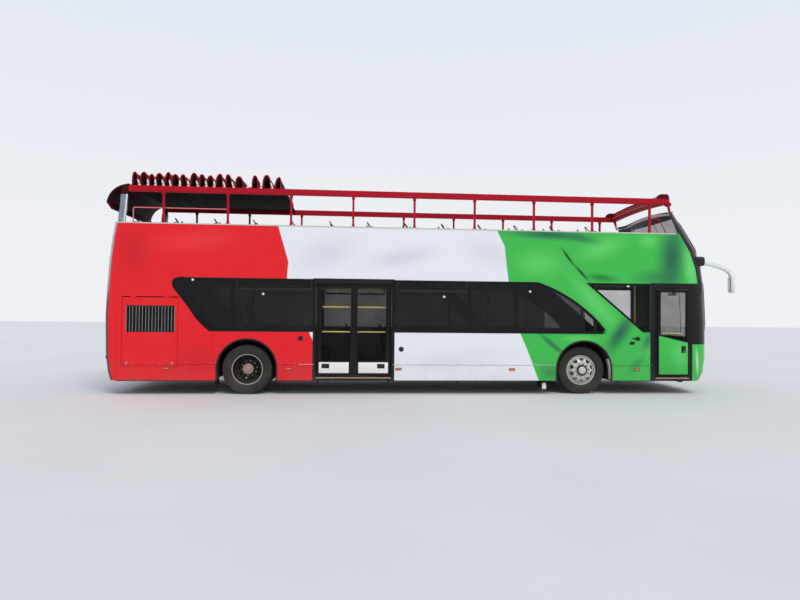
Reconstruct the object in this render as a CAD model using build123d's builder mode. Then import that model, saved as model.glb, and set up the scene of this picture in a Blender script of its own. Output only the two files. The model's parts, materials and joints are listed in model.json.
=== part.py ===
"""Open-top double-deck sightseeing bus, built up from its real pieces.

X points forward, Y to the left and Z up, in millimetres. The origin is on the
ground, midway between the rear face and the mirror tips, on the centre line.
The kerb side with the doors is the right side, at negative Y.
"""
import os
from math import cos, radians, sin

from build123d import *

os.makedirs("parts", exist_ok=True)

# Overall sizes
wheelbase = 6650
rear_overhang = 2700
front_overhang = 2770
mirror_reach = 460
body_w = 2550
half_w = body_w / 2
overall_len = rear_overhang + wheelbase + front_overhang + mirror_reach
rear_x = rear_overhang - overall_len / 2
front_x = rear_x + wheelbase
tail_x = rear_x - rear_overhang
nose_x = front_x + front_overhang

# Heights above the ground
skirt_z = 270
floor_z = 340
platform_z = 740
sill_z = 1220
glass_top_z = 2240
deck_line_z = 2260
deck_z = 2330
parapet_z = 3280
rail_z = 3930
mask_top_z = 3820
mask_side_z = 3730

# Walls and gaps
wall_t = 45
floor_t = 40
deck_t = 60
glass_t = 8
seal_gap = 0.5
soft_gap = 0.3
pin_gap = 0.3
swing_gap = 12
weld_gap = 0.3
inner_w = half_w - wall_t
floor_under = floor_z - floor_t
deck_under = deck_z - deck_t

# Plan outline of the body
nose_bow = 70
nose_r = 400
tail_r = 200
tail_seam = 260
nose_seam = 470

# Height, rear face set forward, front face set back
lower_rings = [
    (skirt_z, 110, 130),
    (skirt_z + 170, 60, 40),
    (skirt_z + 470, 20, 0),
    ((skirt_z + 470 + deck_line_z) / 2, 0, 0),
    (deck_line_z, 30, 40),
]
upper_rise = parapet_z - deck_line_z
upper_rings = [
    (deck_line_z, 30, 40),
    (deck_line_z + 0.37 * upper_rise, 60, 90),
    (deck_line_z + 0.71 * upper_rise, 100, 220),
    (parapet_z, 150, 410),
]
mask_ring = (mask_top_z, 190, 755)

# Wheels
tyre_r = 479
tyre_w = 275
rim_r = 286
rim_w = 210
rim_t = 9
disc_offset = 155
wheel_z = tyre_r
tyre_inset = 78
front_wheel_y = half_w - tyre_inset - tyre_w / 2
twin_y = half_w - tyre_inset + 26 - tyre_w / 2 - disc_offset
spindle_r = 34
stub_r = 52
hub_r = 112

# Wheel arches: radius, centre height
arch_r = 560
arch_z = 500
arch_ahead = 30
house_t = 10
front_house_r = 592
rear_house_r = 570
front_house_y = 560
rear_house_y = twin_y - disc_offset - tyre_w / 2 - 45

# Window band and the windows beside the driver and the front platform
cab_foot_r = 150
band_tail_x = rear_x - 1440
band_foot_x = rear_x - 720
band_tail_r = 75
swoop_x = front_x - 930
swoop_mid = (front_x - 110, glass_top_z - 410)
tip_x = front_x + 530
tip_r = 70
cab_glass_x = front_x + 70
cab_foot_x = front_x + 1250
cab_sill_z = 1260
frame_w = 40
post_w = 60
joint_w = 6

# Doors
door_top_z = 2165
mid_door_x = rear_x + 1310
mid_door_w = 1480
front_door_x = front_x + 1515
front_door_w = 715
leaf_t = 40
leaf_foot = 42
leaf_head = 32
leaf_rail = 55
leaf_panel_z = 545
shaft_r = 18
shaft_back = 12
arm_t = 16
arm_w = 36
leaf_clear = 25

# Flap in the right side and lid in the tail
flap_x = rear_x - 2340
flap_w = 1040
flap_low_z = 540
flap_top_z = 1870
lid_half_w = half_w - 325
lid_low_z = 800
lid_top_z = 1870
lid_gap = 6
hinge_r = 9
hinge_pin_r = 4
hinge_len = 60

RIGHT, LEFT = 1, -1


def ring_at(rings, z):
    """Rear and front setbacks at height z, read along a table of rings."""
    for low, high in zip(rings, rings[1:]):
        if z <= high[0]:
            part = (z - low[0]) / (high[0] - low[0])
            return low[1] + part * (high[1] - low[1]), low[2] + part * (high[2] - low[2])
    return rings[-1][1], rings[-1][2]


def plan(z, tail_in, nose_in, inset):
    """Plan outline of the body at height z, a given distance inside the skin."""
    side = half_w - inset
    back = tail_x + tail_in + inset
    front = nose_x - nose_in - inset
    with BuildSketch(Plane.XY.offset(z)) as outline:
        with BuildLine():
            Polyline((front - nose_bow, side), (back, side), (back, -side), (front - nose_bow, -side))
            ThreePointArc((front - nose_bow, -side), (front, 0), (front - nose_bow, side))
        make_face()
        fillet(outline.vertices().sort_by(Axis.X)[-2:], nose_r - inset)
        fillet(outline.vertices().sort_by(Axis.X)[:2], tail_r - inset)
    return outline.sketch


def hull(rings, inset):
    """Solid body form through a table of rings."""
    with BuildPart() as form:
        for z, tail_in, nose_in in rings:
            add(plan(z, tail_in, nose_in, inset))
        loft(ruled=True)
    return form.part


def shell(rings, thickness):
    """Skin of the body, as thick as the whole wall."""
    return hull(rings, 0) - hull(rings, thickness)


def side_plane(side, depth):
    """Plane across a side wall, depth inside its outer face; material is cut towards -Y."""
    return Plane.XZ.offset(half_w - depth if side == RIGHT else -half_w)


def through_plane(side):
    """Plane that a cut right through a side wall starts from."""
    return Plane.XZ.offset(half_w - 2 * wall_t if side == RIGHT else -half_w - wall_t)


def band_tail(end_x):
    """Window band from its slanted rear end to end_x, seen from the side."""
    with BuildSketch() as band:
        with BuildLine():
            Polyline(
                (band_tail_x, glass_top_z),
                (band_foot_x, sill_z),
                (end_x, sill_z),
                (end_x, glass_top_z),
                close=True,
            )
        make_face()
        fillet(band.vertices().sort_by(Axis.X)[0], band_tail_r)
    return band.sketch


def band_nose(start_x):
    """Window band from start_x to the point that sweeps down over the front wheel."""
    with BuildSketch() as band:
        with BuildLine():
            Polyline(
                (tip_x, sill_z), (start_x, sill_z), (start_x, glass_top_z), (swoop_x, glass_top_z)
            )
            ThreePointArc((swoop_x, glass_top_z), swoop_mid, (tip_x, sill_z))
        make_face()
        fillet(band.vertices().sort_by(Axis.X)[-1], tip_r)
    return band.sketch


def cab_glass(end_x):
    """Window beside the driver or the front platform, with its slanted lower edge."""
    with BuildSketch() as pane:
        with BuildLine():
            Polyline(
                (cab_glass_x, glass_top_z),
                (cab_foot_x, cab_sill_z),
                (end_x, cab_sill_z),
                (end_x, glass_top_z),
                close=True,
            )
        make_face()
        fillet(pane.vertices().sort_by(Axis.X)[1], cab_foot_r)
    return pane.sketch


def arch(x, radius, z_low):
    """Outline of a wheel arch, seen from the side."""
    with BuildSketch() as outline:
        with Locations((x, arch_z)):
            Circle(radius)
        with Locations((x, z_low)):
            Rectangle(2 * radius, arch_z - z_low, align=(Align.CENTER, Align.MIN))
            Rectangle(2 * radius, 2 * radius, align=(Align.CENTER, Align.MIN), mode=Mode.INTERSECT)
    return outline.sketch


# Where the panes meet: a post stands behind each of these stations
tail_joint_x = rear_x - 290
middle_joint_x = rear_x + 1330
front_joint_x = rear_x + 4330
right_joints = [tail_joint_x, front_joint_x, front_joint_x + 950]
left_joints = [tail_joint_x, middle_joint_x, middle_joint_x + 1520, front_joint_x, front_joint_x + 950]
door_post_w = 115
nose_post_w = 60
right_bands = [
    band_tail(mid_door_x - frame_w / 2),
    band_nose(mid_door_x + mid_door_w + frame_w / 2),
    cab_glass(front_door_x - door_post_w),
]
left_bands = [
    band_tail(middle_joint_x) + band_nose(middle_joint_x),
    cab_glass(nose_x - nose_seam - nose_post_w),
]

lower_shell = shell(lower_rings, wall_t)
upper_shell = shell(upper_rings, wall_t)

side_len = nose_x - nose_seam - tail_x - tail_seam
side_mid = (nose_x - nose_seam + tail_x + tail_seam) / 2


def save(piece, label):
    """Label a finished piece and write it to its own file."""
    piece.part.label = label
    export_step(piece.part, f"parts/{label}.step")


def cut_glazing(side, bands, joints):
    """Recess the window bands for their glass and cut the openings between the posts."""
    with BuildSketch(side_plane(side, glass_t)) as recess:
        for band in bands:
            add(band)
    extrude(recess.sketch, amount=glass_t, mode=Mode.SUBTRACT)
    with BuildSketch(through_plane(side)) as panes:
        for band in bands:
            offset(band, amount=-frame_w, mode=Mode.ADD)
        with Locations(*[(x, sill_z) for x in joints]):
            Rectangle(post_w, deck_line_z - sill_z, align=(Align.CENTER, Align.MIN), mode=Mode.SUBTRACT)
    extrude(panes.sketch, amount=4 * wall_t, mode=Mode.SUBTRACT)


knuckle_gap = 1
tab_t = 6


def knuckle(place, along, up, width):
    """One hinge barrel on the line of the pin with the tab that joins it to its panel."""
    turn = (90, 0, 0) if along == Axis.Y else (0, 90, 0)
    tab_h = hinge_r + tab_t
    tab = (tab_t, width, tab_h) if along == Axis.Y else (width, tab_t, tab_h)
    with Locations(place):
        Cylinder(hinge_r - 1, width, rotation=turn)
        Box(*tab, align=(Align.CENTER, Align.CENTER, Align.MIN if up else Align.MAX))


def pin_bore(place, along, radius, width, mode):
    """Pin through a hinge, or the bore that it turns in."""
    turn = (90, 0, 0) if along == Axis.Y else (0, 90, 0)
    with Locations(place):
        Cylinder(radius, width, rotation=turn, mode=mode)


def shifted(place, along, step):
    """Place moved along the hinge line."""
    x, y, z = place
    return (x, y + step, z) if along == Axis.Y else (x + step, y, z)


def fixed_leaves(places, along):
    """Outer barrels and pin of each hinge, which stay on the fixed panel."""
    for place in places:
        for end in (-1, 1):
            step = end * (hinge_len / 2 + hinge_len / 4 + knuckle_gap)
            knuckle(shifted(place, along, step), along, True, hinge_len / 2)
        pin_bore(place, along, hinge_pin_r, 2 * hinge_len, Mode.ADD)


def moving_leaves(places, along):
    """Middle barrel of each hinge, which turns with the lid or flap."""
    for place in places:
        knuckle(place, along, False, hinge_len)
        pin_bore(place, along, hinge_pin_r + pin_gap, 2 * hinge_len, Mode.SUBTRACT)


# Lower side walls, from the skirt to the deck line
def lower_side(side, bands, joints, arches, doors):
    """One lower side wall with its window openings, wheel arches and doorways."""
    with BuildPart() as wall:
        add(lower_shell)
        with Locations((side_mid, -side * half_w / 2, 0)):
            Box(side_len, half_w, 3 * parapet_z, mode=Mode.INTERSECT)
        cut_glazing(side, bands, joints)
        with BuildSketch(through_plane(side)) as openings:
            for x in arches:
                add(arch(x, arch_r, 0))
            for x, width in doors:
                with Locations((x, floor_z)):
                    Rectangle(width, door_top_z - floor_z, align=(Align.MIN, Align.MIN))
        extrude(openings.sketch, amount=4 * wall_t, mode=Mode.SUBTRACT)
    return wall


arch_xs = [rear_x, front_x + arch_ahead]
door_table = [(mid_door_x, mid_door_w), (front_door_x, front_door_w)]
flap_hinge_parts = (0.2, 0.8)
flap_hinge_z = flap_top_z - hinge_r
flap_hinges = [(flap_x + part * flap_w, -half_w, flap_hinge_z) for part in flap_hinge_parts]

with BuildPart() as right_side:
    add(lower_side(RIGHT, right_bands, right_joints, arch_xs, door_table).part)
    with BuildSketch(through_plane(RIGHT)):
        with Locations((flap_x, flap_low_z)):
            Rectangle(flap_w, flap_top_z - flap_low_z, align=(Align.MIN, Align.MIN))
    extrude(amount=4 * wall_t, mode=Mode.SUBTRACT)
    fixed_leaves(flap_hinges, Axis.X)
    for x, width in door_table:
        split(bisect_by=Plane.YZ.offset(x), keep=Keep.BOTH)
        split(bisect_by=Plane.YZ.offset(x + width), keep=Keep.BOTH)
save(right_side, "right_side")

left_side = lower_side(LEFT, left_bands, left_joints, arch_xs, [])
save(left_side, "left_side")

# Glass of both sides, bonded into the recesses of the walls
with BuildPart() as side_glass:
    for side, bands, joints in ((RIGHT, right_bands, right_joints), (LEFT, left_bands, left_joints)):
        with BuildSketch(side_plane(side, glass_t)):
            for band in bands:
                offset(band, amount=-seal_gap, mode=Mode.ADD)
            with Locations(*[(x, sill_z) for x in joints]):
                Rectangle(
                    joint_w,
                    deck_line_z - sill_z,
                    align=(Align.CENTER, Align.MIN),
                    mode=Mode.SUBTRACT,
                )
        extrude(amount=glass_t)
save(side_glass, "side_glass")

# Upper side walls with a flange along the top; their front edge leans back
cap_w = 35
cap_t = 22
cap_lap = 5
cap_tail_x = tail_x + tail_seam
cap_len = nose_x - 1000 - cap_tail_x
upper_front_low = nose_x - 370
upper_front_high = nose_x - 760
with BuildPart() as upper_sides:
    add(upper_shell)
    with BuildSketch(Plane.XZ.offset(-2 * half_w)):
        Polygon(
            (cap_tail_x, deck_line_z),
            (upper_front_low, deck_line_z),
            (upper_front_high, parapet_z),
            (cap_tail_x, parapet_z),
            align=None,
        )
    extrude(amount=4 * half_w, mode=Mode.INTERSECT)
    with Locations(*[(cap_tail_x, s * (inner_w + cap_lap), parapet_z) for s in (1, -1)]):
        Box(cap_len, cap_w, cap_t, align=(Align.MIN, Align.CENTER, Align.MAX))
save(upper_sides, "upper_sides")

# Nose moulding: bumper, lower front, corner pillars and both screen frames
screen_lap = 30
screen_r = 90
nose_cut = 1200
brow_cut_z = mask_top_z + 60
mask_clear = 200
# Lower edge, upper edge, half width
screens = [(1110, 2500, half_w - 265), (2790, 3670, half_w - 245)]
mirror_y = half_w - 125
mirror_z = 2720
mount_r = 62
mount_face_x = nose_x - 185
mount_back_x = nose_x - 330
mask_rings = lower_rings + upper_rings[1:] + [mask_ring]
mask_outer = hull(mask_rings, 0)


def screen_block(grow):
    """Blocks through the nose as wide as the two screens, seen from the front."""
    with BuildPart() as block:
        with BuildSketch(Plane.YZ.offset(nose_x - nose_cut)):
            for low, high, half in screens:
                with Locations((0, (low + high) / 2)):
                    RectangleRounded(2 * (half + grow), high - low + 2 * grow, screen_r + grow)
        extrude(amount=nose_cut + body_w)
    return block.part


# Place across, height, width and height of each lamp, right and left alike
head_lamps = [(half_w - 475, 650, 360, 170), (half_w - 415, 430, 130, 90)]
tail_lamp_w = 96
tail_lamp_y = half_w - 250
tail_lamps = [(tail_lamp_y, z, tail_lamp_w, tail_lamp_w) for z in (980, 1100, 1220)]
lamp_corner = 0.4
lamp_depth = 600
head_lamp_x = nose_x - 500
tail_lamp_x = tail_x - 300


def lamp_block(lamps, plane_x, grow):
    """Blocks through the nose or the tail in the shape of its lamps."""
    with BuildPart() as block:
        with BuildSketch(Plane.YZ.offset(plane_x)):
            for y, z, wide, high in lamps:
                with Locations((y, z), (-y, z)):
                    RectangleRounded(wide + 2 * grow, high + 2 * grow, lamp_corner * high + grow)
        extrude(amount=lamp_depth)
    return block.part


with BuildPart() as front_mask:
    add(mask_outer - hull(mask_rings, wall_t))
    with BuildSketch(Plane.XZ.offset(-2 * half_w)):
        Polygon(
            (nose_x - nose_seam, skirt_z),
            (nose_x + mask_clear, skirt_z),
            (nose_x + mask_clear, mask_top_z),
            (upper_front_high - mask_clear, mask_top_z),
            (upper_front_high, parapet_z),
            (upper_front_low, deck_line_z),
            (nose_x - nose_seam, deck_line_z),
            align=None,
        )
    extrude(amount=4 * half_w, mode=Mode.INTERSECT)
    with BuildSketch(Plane.YZ.offset(nose_x - nose_cut)):
        with BuildLine():
            brow = ThreePointArc((-half_w, mask_side_z), (0, mask_top_z), (half_w, mask_side_z))
            Polyline(brow @ 1, (half_w, brow_cut_z), (-half_w, brow_cut_z), brow @ 0)
        make_face()
    extrude(amount=nose_cut, mode=Mode.SUBTRACT)
    add(screen_block(-screen_lap), mode=Mode.SUBTRACT)
    add(screen_block(0) - hull(mask_rings, glass_t), mode=Mode.SUBTRACT)
    add(lamp_block(head_lamps, head_lamp_x, 0), mode=Mode.SUBTRACT)
    with BuildSketch(Plane.YZ.offset(mount_back_x)):
        with Locations((mirror_y, mirror_z), (-mirror_y, mirror_z)):
            Circle(mount_r)
    extrude(amount=mount_face_x - mount_back_x)
save(front_mask, "front_mask")

with BuildPart() as windscreens:
    add((mask_outer - hull(mask_rings, glass_t - 2 * soft_gap)) & screen_block(-seal_gap))
save(windscreens, "windscreens")

with BuildPart() as headlamps:
    add((mask_outer - hull(mask_rings, wall_t)) & lamp_block(head_lamps, head_lamp_x, -seal_gap))
save(headlamps, "headlamps")

# Tail moulding: both corners and the whole rear face, with the engine lid's opening
rear_rings = lower_rings + upper_rings[1:]
rear_shell = shell(rear_rings, wall_t)
lid_cut = 2 * tail_seam - 60
hinge_stations = (-650, 0, 650)
lid_hinge_z = lid_top_z - hinge_r
lid_hinge_x = tail_x + ring_at(rear_rings, lid_hinge_z)[0]
lid_hinges = [(lid_hinge_x, y, lid_hinge_z) for y in hinge_stations]
with BuildPart() as rear_panel:
    add(rear_shell)
    with Locations((cap_tail_x, 0, 0)):
        Box(
            2 * tail_seam,
            2 * body_w,
            3 * parapet_z,
            align=(Align.MAX, Align.CENTER, Align.CENTER),
            mode=Mode.INTERSECT,
        )
    with Locations((tail_x, 0, (lid_low_z + lid_top_z) / 2)):
        Box(lid_cut, 2 * lid_half_w, lid_top_z - lid_low_z, mode=Mode.SUBTRACT)
    add(lamp_block(tail_lamps, tail_lamp_x, 0), mode=Mode.SUBTRACT)
    fixed_leaves(lid_hinges, Axis.Y)
save(rear_panel, "rear_panel")

with BuildPart() as tail_lamp_set:
    add(rear_shell & lamp_block(tail_lamps, tail_lamp_x, -seal_gap))
save(tail_lamp_set, "tail_lamps")

with BuildPart() as engine_lid:
    add(rear_shell)
    lid_up = lid_top_z - 2 * hinge_r
    lid_h = lid_up - lid_low_z - lid_gap
    with Locations((tail_x, 0, lid_up - lid_h / 2)):
        Box(lid_cut, 2 * (lid_half_w - lid_gap), lid_h, mode=Mode.INTERSECT)
    moving_leaves(lid_hinges, Axis.Y)
save(engine_lid, "engine_lid")

# Flap over the engine's air intake in the right side
flap_up = flap_top_z - 2 * hinge_r
louvre_low_z = 1210
louvre_high_z = 1660
louvre_count = 9
louvre_margin = 90
louvre_share = 0.55
louvre_pitch = (flap_w - 2 * louvre_margin) / louvre_count
flap_h = flap_up - flap_low_z - lid_gap
with BuildPart() as engine_flap:
    with Locations((flap_x + lid_gap, -half_w, flap_low_z + lid_gap)):
        Box(flap_w - 2 * lid_gap, wall_t, flap_h, align=(Align.MIN, Align.MIN, Align.MIN))
    with Locations((flap_x + flap_w / 2, -half_w, (louvre_low_z + louvre_high_z) / 2)):
        with GridLocations(louvre_pitch, 1, louvre_count, 1):
            Box(
                louvre_pitch * louvre_share,
                3 * wall_t,
                louvre_high_z - louvre_low_z,
                mode=Mode.SUBTRACT,
            )
    moving_leaves(flap_hinges, Axis.X)
save(engine_flap, "engine_flap")

# Doors: each leaf hangs on an arm, and glides inwards as the arm's shaft turns
arm_foot_gap = 12
arm_head_gap = 8
arm_foot_z = floor_z + arm_foot_gap
arm_head_z = door_top_z - arm_head_gap - arm_t
leaf_low_z = floor_z + leaf_foot
leaf_high_z = door_top_z - leaf_head
leaf_y = -half_w + leaf_t / 2
boss_r = 10
boss_in = 24
boss_bore = 25
pane_r = 35
boss_len = leaf_foot - arm_foot_gap - arm_t + boss_in
head_boss_len = leaf_head - arm_head_gap - arm_t + boss_in
# Name, jamb, direction from the jamb, width of its half of the doorway, glass foot at jamb and edge
leaves = [
    ("front_door", front_door_x, 1, front_door_w, 1210, 1070),
    ("mid_door_rear", mid_door_x, 1, mid_door_w / 2, 655, 655),
    ("mid_door_front", mid_door_x + mid_door_w, -1, mid_door_w / 2, 655, 655),
]


def arm_reach(width):
    """Distance from the shaft to the middle of the leaf."""
    leaf_len = width - shaft_back - shaft_r - leaf_clear - swing_gap / 2
    return leaf_len / 2 + leaf_clear


for name, jamb, way, width, foot_jamb, foot_edge in leaves:
    reach = arm_reach(width)
    shaft_x = jamb + way * (shaft_back + shaft_r)
    centre_x = shaft_x + way * reach
    half_len = reach - leaf_clear
    with BuildPart() as leaf:
        with Locations((centre_x, leaf_y, leaf_low_z)):
            Box(
                2 * half_len,
                leaf_t,
                leaf_high_z - leaf_low_z,
                align=(Align.CENTER, Align.CENTER, Align.MIN),
            )
        with BuildSketch(Plane.XZ.offset(half_w - 2 * leaf_t)) as light:
            Polygon(
                (centre_x - way * (half_len - leaf_rail), foot_jamb),
                (centre_x + way * (half_len - leaf_rail), foot_edge),
                (centre_x + way * (half_len - leaf_rail), leaf_high_z - leaf_rail),
                (centre_x - way * (half_len - leaf_rail), leaf_high_z - leaf_rail),
                align=None,
            )
            fillet(light.vertices(), pane_r)
        extrude(amount=4 * leaf_t, mode=Mode.SUBTRACT)
        with Locations((centre_x, leaf_y, leaf_low_z), (centre_x, leaf_y, leaf_high_z)):
            Cylinder(boss_r + pin_gap, 2 * boss_bore, mode=Mode.SUBTRACT)
    save(leaf, name)
    with BuildPart() as pane:
        with BuildSketch(Plane.XZ.offset(half_w - leaf_t / 2)):
            offset(light.sketch_local, amount=-seal_gap)
        extrude(amount=glass_t)
    save(pane, name + "_glass")
    with BuildPart() as arm:
        with Locations((shaft_x, leaf_y, floor_z + soft_gap)):
            Cylinder(
                shaft_r,
                door_top_z - floor_z - 2 * soft_gap,
                align=(Align.CENTER, Align.CENTER, Align.MIN),
            )
        for z in (arm_foot_z, arm_head_z):
            with Locations(((shaft_x + centre_x) / 2, leaf_y, z)):
                Box(reach, arm_w, arm_t, align=(Align.CENTER, Align.CENTER, Align.MIN))
        with Locations((centre_x, leaf_y, arm_foot_z)):
            Cylinder(boss_r, boss_len, align=(Align.CENTER, Align.CENTER, Align.MIN))
        with Locations((centre_x, leaf_y, arm_head_z + arm_t)):
            Cylinder(boss_r, head_boss_len + arm_t, align=(Align.CENTER, Align.CENTER, Align.MAX))
    save(arm, name + "_arm")

# Lower floor with its steps, the bulkhead before the engine and the four wheel housings
step_x = rear_x + 1050
step_run = 270
step_rise = (platform_z - floor_z) / 2
bulkhead_x = rear_x - 1260
floor_front_x = nose_x - nose_seam - 150
floor_nose_x = nose_x - 230
floor_nose_y = half_w - 435
floor_half_w = inner_w
axle_slot = 110
housing_table = [(rear_x, rear_house_r, rear_house_y), (front_x, front_house_r, front_house_y)]
platform_floor = platform_z - floor_t


def cut_housings(x, radius, inboard_y):
    """Notches in a floor for the pair of wheel housings at x."""
    for side in (1, -1):
        with BuildSketch(Plane.XZ.offset(-side * (inboard_y - soft_gap))) as notch:
            add(arch(x, radius + house_t + soft_gap, 0))
        extrude(notch.sketch, amount=-side * half_w, mode=Mode.SUBTRACT)


with BuildPart() as lower_floor:
    with Locations((step_x - floor_t, 0, floor_under)):
        Box(
            floor_front_x - step_x + floor_t,
            2 * floor_half_w,
            floor_t,
            align=(Align.MIN, Align.CENTER, Align.MIN),
        )
    with Locations((floor_front_x, 0, floor_under)):
        Box(
            floor_nose_x - floor_front_x,
            2 * floor_nose_y,
            floor_t,
            align=(Align.MIN, Align.CENTER, Align.MIN),
        )
    cut_housings(*housing_table[1])
save(lower_floor, "lower_floor")

with BuildPart() as rear_platform:
    with BuildSketch(Plane.XZ.offset(-floor_half_w)):
        Polygon(
            (step_x, floor_z),
            (step_x, floor_z + step_rise),
            (step_x - step_run, floor_z + step_rise),
            (step_x - step_run, platform_z),
            (bulkhead_x, platform_z),
            (bulkhead_x, deck_under),
            (bulkhead_x - floor_t, deck_under),
            (bulkhead_x - floor_t, platform_floor),
            (step_x - step_run - floor_t, platform_floor),
            (step_x - step_run - floor_t, floor_z + step_rise - floor_t),
            (step_x - floor_t, floor_z + step_rise - floor_t),
            (step_x - floor_t, floor_z),
            align=None,
        )
    extrude(amount=2 * floor_half_w)
    cut_housings(*housing_table[0])
save(rear_platform, "rear_platform")

# Wheel housings: an arched shell and its inner wall over each wheel
with BuildPart() as wheel_housings:
    for x, radius, inboard_y in housing_table:
        for side in (1, -1):
            with BuildSketch(Plane.XZ.offset(-side * inboard_y)) as outer_arch:
                add(arch(x, radius + house_t, floor_under))
            extrude(outer_arch.sketch, amount=-side * (floor_half_w - inboard_y))
            with BuildSketch(Plane.XZ.offset(-side * (inboard_y + house_t))) as inner_arch:
                add(arch(x, radius, 0))
            extrude(inner_arch.sketch, amount=-side * half_w, mode=Mode.SUBTRACT)
    with Locations((rear_x, 0, 0)):
        Box(
            2 * axle_slot,
            2 * rear_house_y + 4 * house_t,
            wheel_z + axle_slot,
            align=(Align.CENTER, Align.CENTER, Align.MIN),
            mode=Mode.SUBTRACT,
        )
save(wheel_housings, "wheel_housings")

# Underframe: low rails and crossbars under the floor, high rails over the rear axle
rail_y = 420
frame_rail_w = 70
low_rail_z = 225
high_rail_z = 600
high_rail_top = platform_z - floor_t
kick_x = rear_x + 640
kick_w = 90
crossbar_w = 60
tow_r = 15
tow_end_r = 28
tow_t = 40
tow_z = 237
tow_x = nose_x - 100
crossbar_z = 240
crossbar_h = floor_under - crossbar_z
crossbars = [
    rear_x + 1350,
    rear_x + 2750,
    rear_x + 4100,
    front_x - 760,
    front_x + 760,
    nose_x - 680,
]
high_crossbars = [rear_x - 850, tail_x + 240]
tow_back_x = crossbars[-1] + crossbar_w / 2 + weld_gap
bar_y = rail_y - frame_rail_w / 2 - weld_gap
outrigger_y = rail_y + frame_rail_w / 2 + weld_gap
# Rear end, front end, underside and top of the bars that make each long rail
rail_bars = [
    (tail_x + 200, kick_x - weld_gap, high_rail_z, high_rail_top),
    (kick_x, kick_x + kick_w, low_rail_z, high_rail_top),
    (kick_x + kick_w + weld_gap, floor_front_x, low_rail_z, floor_under),
]
with BuildPart() as underframe:
    for x_back, x_front, z_low, z_high in rail_bars:
        with Locations((x_back, rail_y, z_low), (x_back, -rail_y, z_low)):
            Box(
                x_front - x_back,
                frame_rail_w,
                z_high - z_low,
                align=(Align.MIN, Align.CENTER, Align.MIN),
            )
    for x in crossbars:
        with Locations((x, 0, crossbar_z)):
            Box(crossbar_w, 2 * bar_y, crossbar_h, align=(Align.CENTER, Align.CENTER, Align.MIN))
        for side, hang in ((1, Align.MIN), (-1, Align.MAX)):
            with Locations((x, side * outrigger_y, crossbar_z)):
                Box(
                    crossbar_w,
                    inner_w - outrigger_y - seal_gap,
                    crossbar_h,
                    align=(Align.CENTER, hang, Align.MIN),
                )
    for x in high_crossbars:
        with Locations((x, 0, high_rail_z)):
            Box(
                crossbar_w,
                2 * bar_y,
                high_rail_top - high_rail_z,
                align=(Align.CENTER, Align.CENTER, Align.MIN),
            )
    with BuildSketch(Plane.XZ.offset(-tow_t / 2)):
        with Locations(((tow_x + tow_back_x) / 2, tow_z)):
            Rectangle(tow_x - tow_back_x, 2 * tow_end_r)
        with Locations((tow_x, tow_z)):
            Circle(tow_end_r)
            Circle(tow_r, mode=Mode.SUBTRACT)
    extrude(amount=tow_t)
save(underframe, "underframe")

# Upper deck floor with the stairwell, between the upper walls
well_x = rear_x + 3950
well_len = 1900
well_y = 520
well_edge = 20
deck_tail_in = 36
deck_nose_in = 56
deck_margin = wall_t + seal_gap
with BuildPart() as upper_floor:
    with BuildSketch(Plane.XY.offset(deck_under)):
        add(plan(0, deck_tail_in, deck_nose_in, deck_margin))
    extrude(amount=deck_t)
    with Locations((well_x, well_y, deck_under)):
        Box(
            well_len,
            inner_w - well_edge - well_y,
            3 * deck_t,
            align=(Align.MIN, Align.MIN, Align.CENTER),
            mode=Mode.SUBTRACT,
        )
save(upper_floor, "upper_floor")

# Stairs on the left, rising towards the tail
stair_w = 600
stair_y = 560
riser_count = 9
riser = (deck_z - floor_z) / riser_count
going = 205
stair_foot_x = well_x + well_len - 60
tread_t = 40
tread_lap = 20
stair_gap = 1
string_foot = 280
string_head = 90
string_rise = 60
stair_head_x = stair_foot_x - (riser_count - 1) * going
stair_edge_y = stair_y + stair_w
with BuildPart() as stairs:
    for step in range(1, riser_count):
        with Locations((stair_foot_x - (step - 1) * going, stair_y, floor_z + step * riser)):
            Box(going + tread_lap, stair_w, tread_t, align=(Align.MAX, Align.MIN, Align.MAX))
            Box(tread_t, stair_w, riser, align=(Align.MAX, Align.MIN, Align.MAX))
    for y in (stair_y, stair_edge_y - tread_t):
        with BuildSketch(Plane.XZ.offset(-y - tread_t)):
            Polygon(
                (stair_foot_x, floor_z),
                (stair_foot_x, floor_z + riser + string_rise),
                (stair_head_x, deck_under - stair_gap),
                (stair_head_x - string_head, deck_under - stair_gap),
                (stair_foot_x - string_foot, floor_z),
                align=None,
            )
        extrude(amount=tread_t)
save(stairs, "stairs")

# Guard of tube round the inner side and the front end of the stairwell
guard_r = 16
guard_h = 850
guard_y = well_y - 25
guard_in = 40
guard_x = well_x + well_len + guard_in
guard_posts = [
    (well_x + guard_in, guard_y),
    (well_x + well_len / 2, guard_y),
    (guard_x, guard_y),
    (guard_x, inner_w - 2 * guard_in),
]
guard_top_z = deck_z + guard_h
guard_mid_z = deck_z + guard_h / 2
with BuildPart() as stairwell_guard:
    with Locations(*[(x, y, deck_z) for x, y in guard_posts]):
        Cylinder(guard_r, guard_h, align=(Align.CENTER, Align.CENTER, Align.MIN))
    for (x, y), (next_x, next_y) in zip(guard_posts, guard_posts[1:]):
        run = abs(next_x - x) + abs(next_y - y)
        turn = (0, 90, 0) if next_y == y else (90, 0, 0)
        with Locations(((x + next_x) / 2, (y + next_y) / 2, guard_mid_z)):
            Cylinder(guard_r, run - 2 * guard_r - 2 * weld_gap, rotation=turn)
    with Locations(((guard_posts[0][0] + guard_x) / 2, guard_y, guard_top_z + guard_r + weld_gap)):
        Cylinder(guard_r, guard_x - guard_posts[0][0] + 2 * guard_r, rotation=(0, 90, 0))
    guard_run = guard_posts[3][1] - guard_y
    with Locations((guard_x, guard_y + guard_run / 2 + guard_r, guard_top_z + guard_r + weld_gap)):
        Cylinder(guard_r, guard_run - 2 * weld_gap, rotation=(90, 0, 0))
save(stairwell_guard, "stairwell_guard")

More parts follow.
